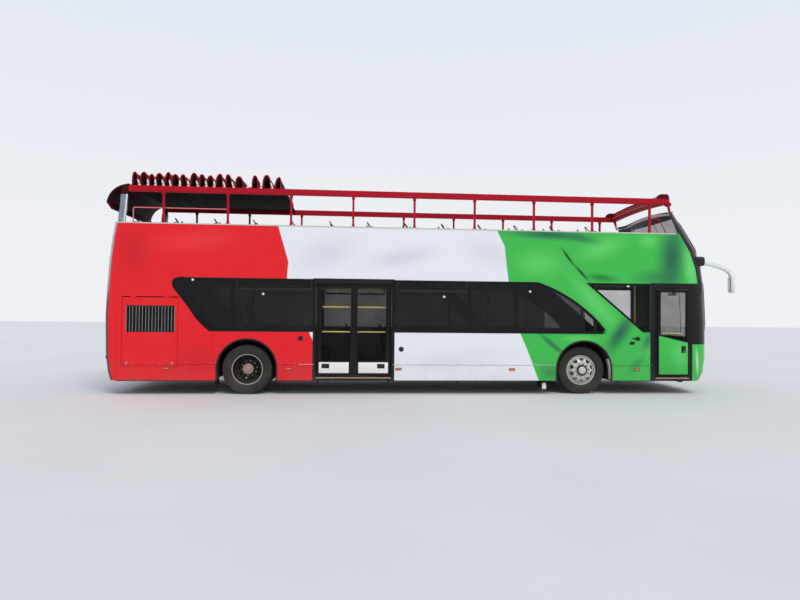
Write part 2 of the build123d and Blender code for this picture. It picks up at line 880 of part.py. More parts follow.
# Top rails: two long rails on posts with a header across the front
rail_h = 115
rail_w = 60
post_t = 40
post_count = 9
rail_line_y = half_w - 35
first_post_x = rear_x - 1610
last_post_x = nose_x - 1370
post_pitch = (last_post_x - first_post_x) / (post_count - 1)
rail_tail_x = rear_x - 2260
rail_nose_x = nose_x - 960
header_w = 110
header_low_z = 3880
header_high_z = 4030
header_crown = 45
header_half = rail_line_y - rail_w / 2 - weld_gap
post_top = rail_z - rail_h / 2 - weld_gap
with BuildPart() as top_rails:
    for side in (1, -1):
        with Locations(((rail_tail_x + rail_nose_x) / 2, side * rail_line_y, rail_z)):
            Box(rail_nose_x - rail_tail_x, rail_w, rail_h)
        post_y = side * rail_line_y
        with Locations(*[(first_post_x + k * post_pitch, post_y, parapet_z) for k in range(post_count)]):
            Box(post_t, post_t, post_top - parapet_z, align=(Align.CENTER, Align.CENTER, Align.MIN))
    with BuildSketch(Plane.YZ.offset(rail_nose_x - header_w)):
        with BuildLine():
            over = ThreePointArc(
                (-header_half, header_high_z), (0, header_high_z + header_crown), (header_half, header_high_z)
            )
            under = ThreePointArc(
                (header_half, header_low_z), (0, header_low_z + header_crown), (-header_half, header_low_z)
            )
            Line(over @ 1, under @ 0)
            Line(under @ 1, over @ 0)
        make_face()
    extrude(amount=header_w)
save(top_rails, "top_rails")

# Rear corner pillars and the curved hood between them
hood_t = 35
hood_half_w = rail_line_y - 20
hood_front_x = rear_x - 2265
hood_mid_x = rear_x - 2560
hood_tail_x = rear_x - 2680
hood_lip_x = rear_x - 2590
hood_top_z = rail_z + 90
hood_bend_z = rail_z - 270
hood_lip_z = rail_z - 400
hood_lip_t = 30
pillar_d = 110
pillar_w = 60
pillar_foot_x = rear_x - 2435
with BuildPart() as rear_hood:
    with BuildSketch(Plane.XZ.offset(-hood_half_w)):
        with BuildLine():
            top = ThreePointArc(
                (hood_front_x, hood_top_z), (hood_mid_x, rail_z - 30), (hood_tail_x, hood_bend_z)
            )
            fall = Line(top @ 1, (hood_lip_x, hood_lip_z))
            lip = Line(fall @ 1, (hood_lip_x + hood_lip_t, hood_lip_z + hood_lip_t / 2))
            rise = Line(lip @ 1, (hood_tail_x + 40, hood_bend_z + 8))
            under = ThreePointArc(
                rise @ 1, (hood_mid_x + hood_lip_t, rail_z - 50), (hood_front_x, hood_top_z - hood_t)
            )
            Line(under @ 1, top @ 0)
        make_face()
    extrude(amount=2 * hood_half_w)
    for side in (1, -1):
        with BuildSketch(Plane.XZ.offset(-side * rail_line_y - pillar_w / 2)):
            Polygon(
                (pillar_foot_x, parapet_z),
                (pillar_foot_x + pillar_d, parapet_z),
                (hood_front_x - seal_gap, rail_z + 20),
                (hood_front_x - seal_gap, hood_top_z),
                (hood_front_x - pillar_d, hood_top_z - 40),
                align=None,
            )
        extrude(amount=pillar_w)
save(rear_hood, "rear_hood")

# Canvas roof folded back over the last seats, a plain closed solid
canvas_low_z = rail_z + rail_h / 2 + soft_gap
canvas_x = rear_x - 2230
canvas_len = 2850
canvas_h = 300
pleat_count = 17
canvas_half_w = rail_line_y - 10
pleat_pitch = canvas_len / pleat_count
pleat_foot_z = canvas_low_z + 0.45 * canvas_h
pleat_rise_at = 0.06
with BuildPart() as folded_canvas:
    with BuildSketch(Plane.XZ.offset(-canvas_half_w)):
        with BuildLine():
            edge = [(canvas_x + canvas_len, canvas_low_z), (canvas_x, canvas_low_z)]
            for k in range(pleat_count):
                edge.append((canvas_x + (k + pleat_rise_at) * pleat_pitch, pleat_foot_z))
                edge.append((canvas_x + (k + 0.5) * pleat_pitch, canvas_low_z + canvas_h))
            edge.append((canvas_x + canvas_len, pleat_foot_z))
            Polyline(*edge, close=True)
        make_face()
    extrude(amount=2 * canvas_half_w)
save(folded_canvas, "folded_canvas")

# Seats: moulded pairs on one pedestal
seat_w = 425
seat_gap = 20
seat_d = 430
seat_h = 430
seat_back = 550
seat_t = 35
seat_wall_gap = 40
seat_pitch = 760
seat_y = inner_w - seat_wall_gap - seat_w - seat_gap / 2
seat_edge_y = seat_y - seat_w - seat_gap / 2


seat_lean = 95
seat_back_t = 35
seat_heel = 25
seat_kick = 20
seat_drop = 12
pedestal_len = 220
pedestal_t = 60


def seat_pair(x, y, z, leg):
    """Two moulded seats side by side, facing forward, their pedestal standing at height z."""
    top = z + leg
    heel_low = (x + seat_t, top - seat_t - seat_drop)
    heel_high = (x + seat_t + seat_heel, top + seat_kick)
    back_rear = (x - seat_lean, top + seat_back)
    back_front = (x - seat_lean + seat_back_t, top + seat_back)
    for offset_y in (-(seat_w + seat_gap) / 2, (seat_w + seat_gap) / 2):
        with BuildSketch(Plane.XZ.offset(-y - offset_y - seat_w / 2)) as back:
            Polygon(heel_low, back_rear, back_front, heel_high, align=None)
        extrude(back.sketch, amount=seat_w)
        with BuildSketch(Plane.XZ.offset(-y - offset_y - seat_w / 2)) as pan:
            Polygon(
                (x + seat_d, top),
                (x + seat_d, top - seat_t),
                (heel_low[0] + weld_gap, heel_low[1]),
                (heel_high[0] + weld_gap, heel_high[1]),
                align=None,
            )
        extrude(pan.sketch, amount=seat_w)
    with Locations((x + seat_d / 2, y, top - seat_t)):
        Box(pedestal_t, 2 * seat_w, pedestal_t / 2, align=(Align.CENTER, Align.CENTER, Align.MAX))
    with Locations((x + seat_d / 2, y, z)):
        Box(pedestal_len, pedestal_t, leg - seat_t, align=(Align.CENTER, Align.CENTER, Align.MIN))


well_clear = 85
deck_seat_x = rear_x - 2100
deck_seat_rows = int((nose_x - 1400 - deck_seat_x) / seat_pitch)
with BuildPart() as upper_seats:
    for row in range(deck_seat_rows):
        row_x = deck_seat_x + row * seat_pitch
        seat_pair(row_x, -seat_y, deck_z, seat_h)
        before_well = row_x + seat_d <= well_x - well_clear
        past_well = row_x - seat_lean >= well_x + well_len + well_clear
        if before_well or past_well:
            seat_pair(row_x, seat_y, deck_z, seat_h)
save(upper_seats, "upper_seats")

# Station and floor of each pair in the lower saloon, right side then left side
housing_top = arch_z + rear_house_r + house_t
housing_leg = 130
rear_rows = [
    (rear_x - 1150, platform_z, seat_h),
    (rear_x - 250, housing_top, housing_leg),
]
past_door_x = mid_door_x + mid_door_w + 260
right_rows = rear_rows + [(past_door_x + k * (seat_pitch + 20), floor_z, seat_h) for k in range(3)]
left_rows = rear_rows + [(rear_x + 1200 + k * seat_pitch, floor_z, seat_h) for k in range(3)]
with BuildPart() as lower_seats:
    for side, rows in ((-1, right_rows), (1, left_rows)):
        for x, z, leg in rows:
            seat_pair(x, side * seat_y, z, leg)
save(lower_seats, "lower_seats")

# Partition behind the driver, with its window
screen_wall_x = front_x + 925
screen_wall_t = 25
screen_wall_top_z = 2050
screen_wall_edge_y = 380
screen_wall_rim = 60
screen_wall_sill_z = 1200
with BuildPart() as cab_partition:
    with BuildSketch(Plane.YZ.offset(screen_wall_x)):
        wall_y = (screen_wall_edge_y + inner_w - soft_gap) / 2
        wall_w = inner_w - soft_gap - screen_wall_edge_y
        with Locations((wall_y, floor_z)):
            Rectangle(wall_w, screen_wall_top_z - floor_z, align=(Align.CENTER, Align.MIN))
        with Locations((wall_y, screen_wall_sill_z)):
            Rectangle(
                wall_w - 2 * screen_wall_rim,
                screen_wall_top_z - screen_wall_rim - screen_wall_sill_z,
                align=(Align.CENTER, Align.MIN),
                mode=Mode.SUBTRACT,
            )
    extrude(amount=screen_wall_t)
save(cab_partition, "cab_partition")

# Driver's platform, dashboard and seat
driver_y = 640
driver_floor_z = floor_z + 200
driver_seat_x = front_x + 1150
seat_pad_t = 110
seat_box_len = 340
seat_box_w = 300
seat_box_h = 250
seat_pad_w = 480
seat_pad_len = 480
pad_low_z = driver_floor_z + seat_box_h
pad_high_z = pad_low_z + seat_pad_t
with BuildPart() as driver_seat:
    with Locations((driver_seat_x + 20, driver_y, driver_floor_z)):
        Box(seat_box_len, seat_box_w, seat_box_h, align=(Align.MIN, Align.CENTER, Align.MIN))
    with BuildSketch(Plane.XZ.offset(-driver_y - seat_pad_w / 2)):
        Polygon(
            (driver_seat_x + seat_pad_len, pad_low_z),
            (driver_seat_x + seat_pad_len, pad_high_z),
            (driver_seat_x + 110, pad_high_z),
            (driver_seat_x + 10, driver_floor_z + 1050),
            (driver_seat_x - 90, driver_floor_z + 1040),
            (driver_seat_x - 20, pad_low_z),
            align=None,
        )
    extrude(amount=seat_pad_w)
save(driver_seat, "driver_seat")

# Steering wheel on its column, tilted towards the driver
wheel_tilt = 35
column_foot = (nose_x - 560, driver_y, 1090)
column_plane = Plane(
    origin=column_foot,
    x_dir=(0, 1, 0),
    z_dir=(-sin(radians(wheel_tilt)), 0, cos(radians(wheel_tilt))),
)
column_len = 130
column_r = 28
hand_r = 225
hand_tube_r = 15
wheel_hub_h = 36
spoke_w = 34
spoke_t = 16
spoke_in = 6
column_root = 60
dash_w = 820
dash_left_y = driver_y + 470
dash_tail_x = nose_x - 1450
dash_foot_x = nose_x - 780
dash_knee_x = nose_x - 640
dash_nose_x = nose_x - 330
with BuildPart() as dashboard:
    with BuildSketch(Plane.XZ.offset(-dash_left_y)):
        Polygon(
            (dash_tail_x, floor_z),
            (dash_tail_x, driver_floor_z),
            (dash_foot_x, driver_floor_z),
            (dash_foot_x, driver_floor_z + 430),
            (dash_knee_x, 1120),
            (dash_nose_x, 1160),
            (dash_nose_x, floor_z),
            align=None,
        )
    extrude(amount=dash_w)
    with BuildSketch(column_plane.offset(-column_root)):
        Circle(column_r)
    extrude(amount=column_len + column_root)
save(dashboard, "dashboard")

hand_plane = column_plane.offset(column_len + soft_gap)
with BuildPart() as steering_wheel:
    with BuildSketch(hand_plane):
        Circle(column_r + 12)
    extrude(amount=wheel_hub_h)
    with BuildSketch(hand_plane):
        Circle(hand_r + hand_tube_r)
        Circle(hand_r - hand_tube_r, mode=Mode.SUBTRACT)
    extrude(amount=2 * hand_tube_r)
    with BuildSketch(hand_plane):
        with PolarLocations(hand_r / 2, 3, start_angle=90):
            Rectangle(hand_r - spoke_in, spoke_w)
    extrude(amount=spoke_t)
save(steering_wheel, "steering_wheel")

# Upright handrails from the lower floor to the deck above
pole_r = 17.5
door_pole_x = mid_door_x + mid_door_w + 110
door_pole_y = half_w - 575
housing_pole_x = front_x - 900
poles = [
    (door_pole_x, -door_pole_y),
    (door_pole_x, -door_pole_y - 400),
    (mid_door_x + mid_door_w / 2, seat_edge_y - 40),
    (front_door_x - 160, -door_pole_y),
    (housing_pole_x, -rail_y),
    (housing_pole_x, rail_y),
]
with BuildPart() as handrails:
    with Locations(*[(x, y, floor_z) for x, y in poles]):
        Cylinder(pole_r, deck_under - floor_z, align=(Align.CENTER, Align.CENTER, Align.MIN))
save(handrails, "handrails")

# Mirrors: an arm sweeping forward and down from each corner of the nose
mirror_t = 90
arm_d = 120
arm_root = 55
mirror_x = nose_x + mirror_reach
mirror_back_x = mirror_x - arm_d
arm_bend_z = mirror_z - 330
arm_end_z = mirror_z - 610
head_z = mirror_z - 440
head_h = 330
head_w = 260
head_out = 15
head_corner = 35
with BuildPart() as mirrors:
    for side in (1, -1):
        with BuildSketch(Plane.XZ.offset(-side * mirror_y - mirror_t / 2)):
            with BuildLine():
                root = Line((mount_face_x, mirror_z - arm_root), (mount_face_x, mirror_z + arm_root))
                crest = ThreePointArc(root @ 1, (mirror_x - 190, mirror_z - 20), (mirror_x, arm_bend_z))
                front = Line(crest @ 1, (mirror_x, arm_end_z))
                foot = Line(front @ 1, (mirror_back_x, arm_end_z - 40))
                back = Line(foot @ 1, (mirror_back_x, arm_bend_z))
                ThreePointArc(back @ 1, (mirror_x - 280, mirror_z - 140), root @ 0)
            make_face()
        extrude(amount=mirror_t)
        with BuildSketch(Plane.XZ.offset(-side * (mirror_y + head_out) - head_w / 2)):
            with Locations((mirror_x - arm_d / 2, head_z)):
                RectangleRounded(arm_d, head_h, head_corner)
        extrude(amount=head_w)
save(mirrors, "mirrors")

# Engine, hung between the high rails by four lugs
engine_x = tail_x + 330
engine_len = 1050
engine_low_z = 420
engine_high_z = 1250
engine_half_w = rail_y - frame_rail_w / 2 - 10
lug_w = 90
lug_h = 60
lug_y = rail_y + 25
lug_xs = (engine_x + 150, engine_x + engine_len - 150)
gearbox_edge = 45
# Half section of the engine: sump, block, then cylinder head
engine_half = [
    (engine_low_z, 0.4 * engine_half_w),
    (engine_low_z + 150, 0.55 * engine_half_w),
    (engine_low_z + 190, 0.9 * engine_half_w),
    (engine_low_z + 260, engine_half_w),
    (engine_high_z - 240, engine_half_w),
    (engine_high_z - 200, 0.8 * engine_half_w),
    (engine_high_z, 0.7 * engine_half_w),
]
gearbox_len = 520
gearbox_half_w = 190
gearbox_low_z = 370
gearbox_high_z = high_rail_z - 10
with BuildPart() as engine:
    with BuildSketch(Plane.YZ.offset(engine_x)):
        right_half = [(y, z) for z, y in engine_half]
        left_half = [(-y, z) for y, z in reversed(right_half)]
        Polygon(*right_half, *left_half, align=None)
    extrude(amount=engine_len)
    with Locations((engine_x + engine_len, 0, gearbox_low_z)):
        Box(
            gearbox_len,
            2 * gearbox_half_w,
            gearbox_high_z - gearbox_low_z,
            align=(Align.MIN, Align.CENTER, Align.MIN),
        )
    chamfer(engine.edges().filter_by(Axis.X).group_by(Axis.Z)[0], gearbox_edge)
    with Locations(*[(x, 0, high_rail_top) for x in lug_xs]):
        Box(lug_w, 2 * lug_y, lug_h, align=(Align.CENTER, Align.CENTER, Align.MIN))
save(engine, "engine")

# Front axle: a dropped beam with an eye for the kingpin at each end
kingpin_in = 175
kingpin_y = front_wheel_y - kingpin_in
kingpin_r = 20
eye_r = 44
eye_h = 100
beam_low_z = 150
beam_high_z = 218
beam_w = 90
seat_pad_x = 150
# Half outline of the beam: distance from the kingpin towards the middle, height
eye_low_z = wheel_z - eye_h / 2
eye_high_z = wheel_z + eye_h / 2
beam_top = [(-20, eye_high_z), (50, eye_high_z), (150, beam_high_z + 40), (230, beam_high_z)]
beam_under = [(160, beam_low_z), (70, eye_low_z), (-20, eye_low_z)]
beam_half = [(kingpin_y - inward, z) for inward, z in beam_top[::-1] + beam_under[::-1]]
with BuildPart() as front_axle:
    with BuildSketch(Plane.YZ.offset(front_x - beam_w / 2)):
        Polygon(*beam_half, *[(-y, z) for y, z in reversed(beam_half)], align=None)
    extrude(amount=beam_w)
    for side in (1, -1):
        with Locations((front_x, side * kingpin_y, wheel_z)):
            Cylinder(eye_r, eye_h)
            Cylinder(kingpin_r + pin_gap, 2 * eye_h, mode=Mode.SUBTRACT)
        with Locations((front_x, side * rail_y, beam_low_z + 10)):
            Box(
                seat_pad_x,
                frame_rail_w,
                low_rail_z - beam_low_z - 10,
                align=(Align.CENTER, Align.CENTER, Align.MIN),
            )
save(front_axle, "front_axle")

# Knuckles: a yoke round each beam eye, the spindle and the arm for the track rod
lug_t = 30
yoke_gap = 1
yoke_back_y = 62
yoke_t = 34
spindle_len = 285
arm_back = 200
pin_z = 360
track_z = 195
bend_out_y = kingpin_y - 70
bend_in_y = kingpin_y - 250
track_r = 17
track_pin_r = 11
ball_r = 26
ball_h = 2 * track_r + 8
pin_over = 6
steer_arm_w = 34
lug_z = eye_h / 2 + yoke_gap + lug_t / 2
for side, name in ((1, "left"), (-1, "right")):
    pin_y = side * kingpin_y
    with BuildPart() as knuckle_body:
        for z in (wheel_z + lug_z, wheel_z - lug_z):
            with Locations((front_x, pin_y, z)):
                Cylinder(eye_r, lug_t)
            with Locations((front_x, pin_y + side * (yoke_back_y + yoke_t) / 2, z)):
                Box(2 * eye_r, yoke_back_y + yoke_t, lug_t)
        with Locations((front_x, pin_y + side * (yoke_back_y + yoke_t / 2), wheel_z)):
            Box(2 * eye_r, yoke_t, 2 * lug_z + lug_t)
        with Locations((front_x, pin_y, wheel_z)):
            Cylinder(kingpin_r, 2 * lug_z)
        with Locations((front_x, pin_y + side * (yoke_back_y + spindle_len / 2), wheel_z)):
            Cylinder(spindle_r, spindle_len, rotation=(90, 0, 0))
        with BuildSketch(Plane.XY.offset(wheel_z - lug_z - lug_t / 2)):
            with Locations((front_x - arm_back / 2, pin_y)):
                SlotCenterToCenter(arm_back, steer_arm_w)
        extrude(amount=lug_t)
        with Locations((front_x - arm_back, pin_y, pin_z - ball_h / 2 - pin_over)):
            Cylinder(
                track_pin_r,
                wheel_z - lug_z - pin_z + ball_h / 2 + pin_over,
                align=(Align.CENTER, Align.CENTER, Align.MIN),
            )
    save(knuckle_body, f"front_{name}_knuckle")

# Track rod between both knuckle arms, cranked to pass under the floor
track_x = front_x - arm_back
with BuildPart() as track_rod:
    with BuildLine():
        Polyline(
            (track_x, -kingpin_y, pin_z),
            (track_x, -bend_out_y, pin_z),
            (track_x, -bend_in_y, track_z),
            (track_x, bend_in_y, track_z),
            (track_x, bend_out_y, pin_z),
            (track_x, kingpin_y, pin_z),
        )
    with BuildSketch(Plane(origin=(track_x, -kingpin_y, pin_z), z_dir=(0, 1, 0))):
        Circle(track_r)
    sweep(transition=Transition.ROUND)
    with Locations((track_x, kingpin_y, pin_z), (track_x, -kingpin_y, pin_z)):
        Cylinder(ball_r, ball_h)
        Cylinder(track_pin_r + pin_gap, 2 * ball_h, mode=Mode.SUBTRACT)
save(track_rod, "track_rod")

# Rear axle: housing with its gear case, spring pads and the stubs for the twin wheels
axle_tube_r = 72
case_r = 185
case_w = 260
stub_end_y = twin_y + 128
axle_tube_y = rear_house_y - 20
pad_r = 62
with BuildPart() as rear_axle:
    with Locations((rear_x, 0, wheel_z)):
        Cylinder(axle_tube_r, 2 * axle_tube_y, rotation=(90, 0, 0))
        Cylinder(case_r, case_w, rotation=(90, 0, 0))
        Cylinder(stub_r, 2 * stub_end_y, rotation=(90, 0, 0))
    with Locations((rear_x, rail_y, wheel_z), (rear_x, -rail_y, wheel_z)):
        Cylinder(pad_r, high_rail_z - wheel_z, align=(Align.CENTER, Align.CENTER, Align.MIN))
save(rear_axle, "rear_axle")


# Wheels: axial place outwards from the wheel's middle, then radius
def turned(points, x, y, side):
    """Ring turned about a wheel's axle from its half section."""
    place = Plane(origin=(x, y, wheel_z), x_dir=(0, side, 0), z_dir=(side, 0, 0))
    with BuildPart() as ring:
        with BuildSketch(place):
            Polygon(*points, align=None)
        revolve(axis=Axis((x, y, wheel_z), (0, 1, 0)))
    return ring.part


bead = rim_w / 2 - rim_t
half_tyre = tyre_w / 2
sidewall = tyre_r - rim_r
groove_w = 12
groove_d = 11
tyre_section = [
    (bead - seal_gap, rim_r + soft_gap),
    (bead - seal_gap, rim_r + 18),
    (half_tyre - 10, rim_r + 0.22 * sidewall),
    (half_tyre, rim_r + 0.46 * sidewall),
    (half_tyre - 4, rim_r + 0.7 * sidewall),
    (half_tyre - 14, rim_r + 0.9 * sidewall),
    (half_tyre - 34, tyre_r),
]
for across in (72, 24):
    tyre_section += [
        (across + groove_w / 2, tyre_r),
        (across + groove_w / 2 - 2, tyre_r - groove_d),
        (across - groove_w / 2 + 2, tyre_r - groove_d),
        (across - groove_w / 2, tyre_r),
    ]
tyre_section += [(-a, r) for a, r in reversed(tyre_section)]
well_r = rim_r - rim_t
lip_r = rim_r + 12
half_rim = rim_w / 2
dish_t = 12
front_bore_r = spindle_r + pin_gap
front_hub_in = yoke_back_y + yoke_t - kingpin_in + 8
spindle_tip = yoke_back_y + spindle_len - kingpin_in
front_rim_section = [
    (-half_rim, well_r),
    (-half_rim, lip_r),
    (-bead, lip_r),
    (-bead, rim_r),
    (bead, rim_r),
    (bead, lip_r),
    (half_rim, lip_r),
    (half_rim, well_r),
    (80, well_r),
    (142, 222),
    (disc_offset + dish_t / 2, 180),
    (disc_offset + dish_t / 2, hub_r),
    (disc_offset + 34, hub_r - 4),
    (disc_offset + 34, 70),
    (disc_offset + 50, 60),
    (disc_offset + 50, 0),
    (spindle_tip + 2, 0),
    (spindle_tip + 2, front_bore_r),
    (front_hub_in, front_bore_r),
    (front_hub_in, 88),
    (disc_offset - dish_t / 2, 88),
    (disc_offset - dish_t / 2, 174),
    (131, 214),
    (66, well_r),
]
stub_tip = stub_end_y - twin_y
rear_bore_r = stub_r + pin_gap
twin_half = [
    (19, 222),
    (80, well_r),
    (disc_offset - half_rim, well_r),
    (disc_offset - half_rim, lip_r),
    (disc_offset - bead, lip_r),
    (disc_offset - bead, rim_r),
    (disc_offset + bead, rim_r),
    (disc_offset + bead, lip_r),
    (disc_offset + half_rim, lip_r),
    (disc_offset + half_rim, well_r),
    (94, well_r),
    (31, 216),
    (dish_t, 174),
    (dish_t, hub_r),
]
twin_rim_section = [(0, 182)] + twin_half + [
    (stub_tip + 14, hub_r),
    (stub_tip + 24, hub_r - 12),
    (stub_tip + 24, 0),
    (stub_tip + 2, 0),
    (stub_tip + 2, rear_bore_r),
    (-70, rear_bore_r),
    (-70, hub_r),
] + [(-a, r) for a, r in reversed(twin_half)]
hand_hole_r = 19
hand_hole_ring = 200
hand_hole_count = 10


def hand_holes(x, y, side, start, end):
    """Ring of hand holes cut through a rim's disc between two axial places."""
    place = Plane(origin=(x, y + side * start, wheel_z), x_dir=(1, 0, 0), z_dir=(0, side, 0))
    with BuildSketch(place) as ring:
        with PolarLocations(hand_hole_ring, hand_hole_count):
            Circle(hand_hole_r)
    extrude(ring.sketch, amount=end - start, mode=Mode.SUBTRACT)


for side, name in ((1, "left"), (-1, "right")):
    wheel_y = side * front_wheel_y
    with BuildPart() as tyre:
        add(turned(tyre_section, front_x, wheel_y, side))
    save(tyre, f"front_{name}_tyre")
    with BuildPart() as rim:
        add(turned(front_rim_section, front_x, wheel_y, side))
        hand_holes(front_x, wheel_y, side, 105, disc_offset + dish_t)
    save(rim, f"front_{name}_rim")
    with BuildPart() as tyres:
        for inboard in (1, -1):
            add(turned(tyre_section, rear_x, side * (twin_y + inboard * disc_offset), side))
    save(tyres, f"rear_{name}_tyres")
    with BuildPart() as rims:
        add(turned(twin_rim_section, rear_x, side * twin_y, side))
        hand_holes(rear_x, side * twin_y, side, -50, 50)
    save(rims, f"rear_{name}_rims")
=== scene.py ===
"""Looks of the open-top double-deck bus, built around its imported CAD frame.

Lengths are metres in the row frame: +X forward, +Y to the bus's left, +Z up. The side with the
doors faces the camera, at negative Y.
"""
from __future__ import annotations

import json
import logging
import math
from dataclasses import dataclass
from enum import Enum
from typing import Callable, Optional, Sequence

import bmesh
import bpy
from mathutils import Matrix, Vector

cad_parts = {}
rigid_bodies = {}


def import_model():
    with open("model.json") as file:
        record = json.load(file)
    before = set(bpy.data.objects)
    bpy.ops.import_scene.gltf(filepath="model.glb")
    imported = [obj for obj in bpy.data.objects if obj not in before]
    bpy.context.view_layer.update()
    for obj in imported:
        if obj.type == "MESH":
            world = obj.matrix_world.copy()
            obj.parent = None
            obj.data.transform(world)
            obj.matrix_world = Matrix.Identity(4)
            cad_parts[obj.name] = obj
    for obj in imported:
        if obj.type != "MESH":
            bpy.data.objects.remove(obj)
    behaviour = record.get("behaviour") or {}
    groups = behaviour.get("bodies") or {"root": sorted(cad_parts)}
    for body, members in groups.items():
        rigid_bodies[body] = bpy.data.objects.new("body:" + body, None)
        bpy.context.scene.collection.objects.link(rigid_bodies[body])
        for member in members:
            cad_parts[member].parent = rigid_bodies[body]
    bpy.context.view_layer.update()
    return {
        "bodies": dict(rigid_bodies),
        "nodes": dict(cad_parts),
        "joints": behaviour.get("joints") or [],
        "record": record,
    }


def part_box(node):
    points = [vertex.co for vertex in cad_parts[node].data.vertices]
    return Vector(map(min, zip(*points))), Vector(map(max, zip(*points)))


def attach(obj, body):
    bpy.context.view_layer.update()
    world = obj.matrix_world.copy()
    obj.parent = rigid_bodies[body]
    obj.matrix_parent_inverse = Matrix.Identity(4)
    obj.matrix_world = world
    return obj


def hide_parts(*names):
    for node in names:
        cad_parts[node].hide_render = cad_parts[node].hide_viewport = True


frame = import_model()

log = logging.getLogger("bus")

Point = tuple[float, float, float]
Colour = tuple[float, float, float, float]
Socket = bpy.types.NodeSocket
Oval = tuple[tuple[float, float], tuple[float, float], float, float]

# Places that many pieces share
HALF_W = 1.275
REAR_X = -3.59
FRONT_X = 3.06
TAIL_X = -6.29
NOSE_X = 5.83
SILL_Z = 1.22
GLASS_TOP_Z = 2.24
DECK_Z = 2.33
PARAPET_Z = 3.28
RAIL_Z = 3.93
WHEEL_Z = 0.479
FLOOR_Z = 0.34
SCREEN_TOP_Z = 3.67
SEAT_TOP_Z = 3.31
CEILING_Z = 2.215
JAMB_Y = 1.262
HEAD_Z = 2.142
SEAT_HALF = 0.2225
PAN_Z = 0.43
SHELL_HALF = 0.2115
RAIL_MID_Z = 3.895
BRACKET_Y = 1.226
CAMERA_REACH = 400.0


class Side(Enum):
    """The two long sides of the bus, with the sign of Y on each."""

    RIGHT = -1
    LEFT = 1


def rgb(red: float, green: float, blue: float) -> Colour:
    """Linear colour with full alpha from three 0 to 255 display values.

    Args:
        red: display value of red, 0 to 255.
        green: display value of green, 0 to 255.
        blue: display value of blue, 0 to 255.

    Returns:
        The linear colour.
    """

    def linear(value: float) -> float:
        """Linear value of one display value."""
        part = value / 255
        return part / 12.92 if part <= 0.04045 else ((part + 0.055) / 1.055) ** 2.4

    return (linear(red), linear(green), linear(blue), 1.0)


# Black of the real black panels, also used as painted shade over the intake flap's openings.
PANEL_BLACK_AND_SHADE = rgb(9, 10, 11)


# Node trees


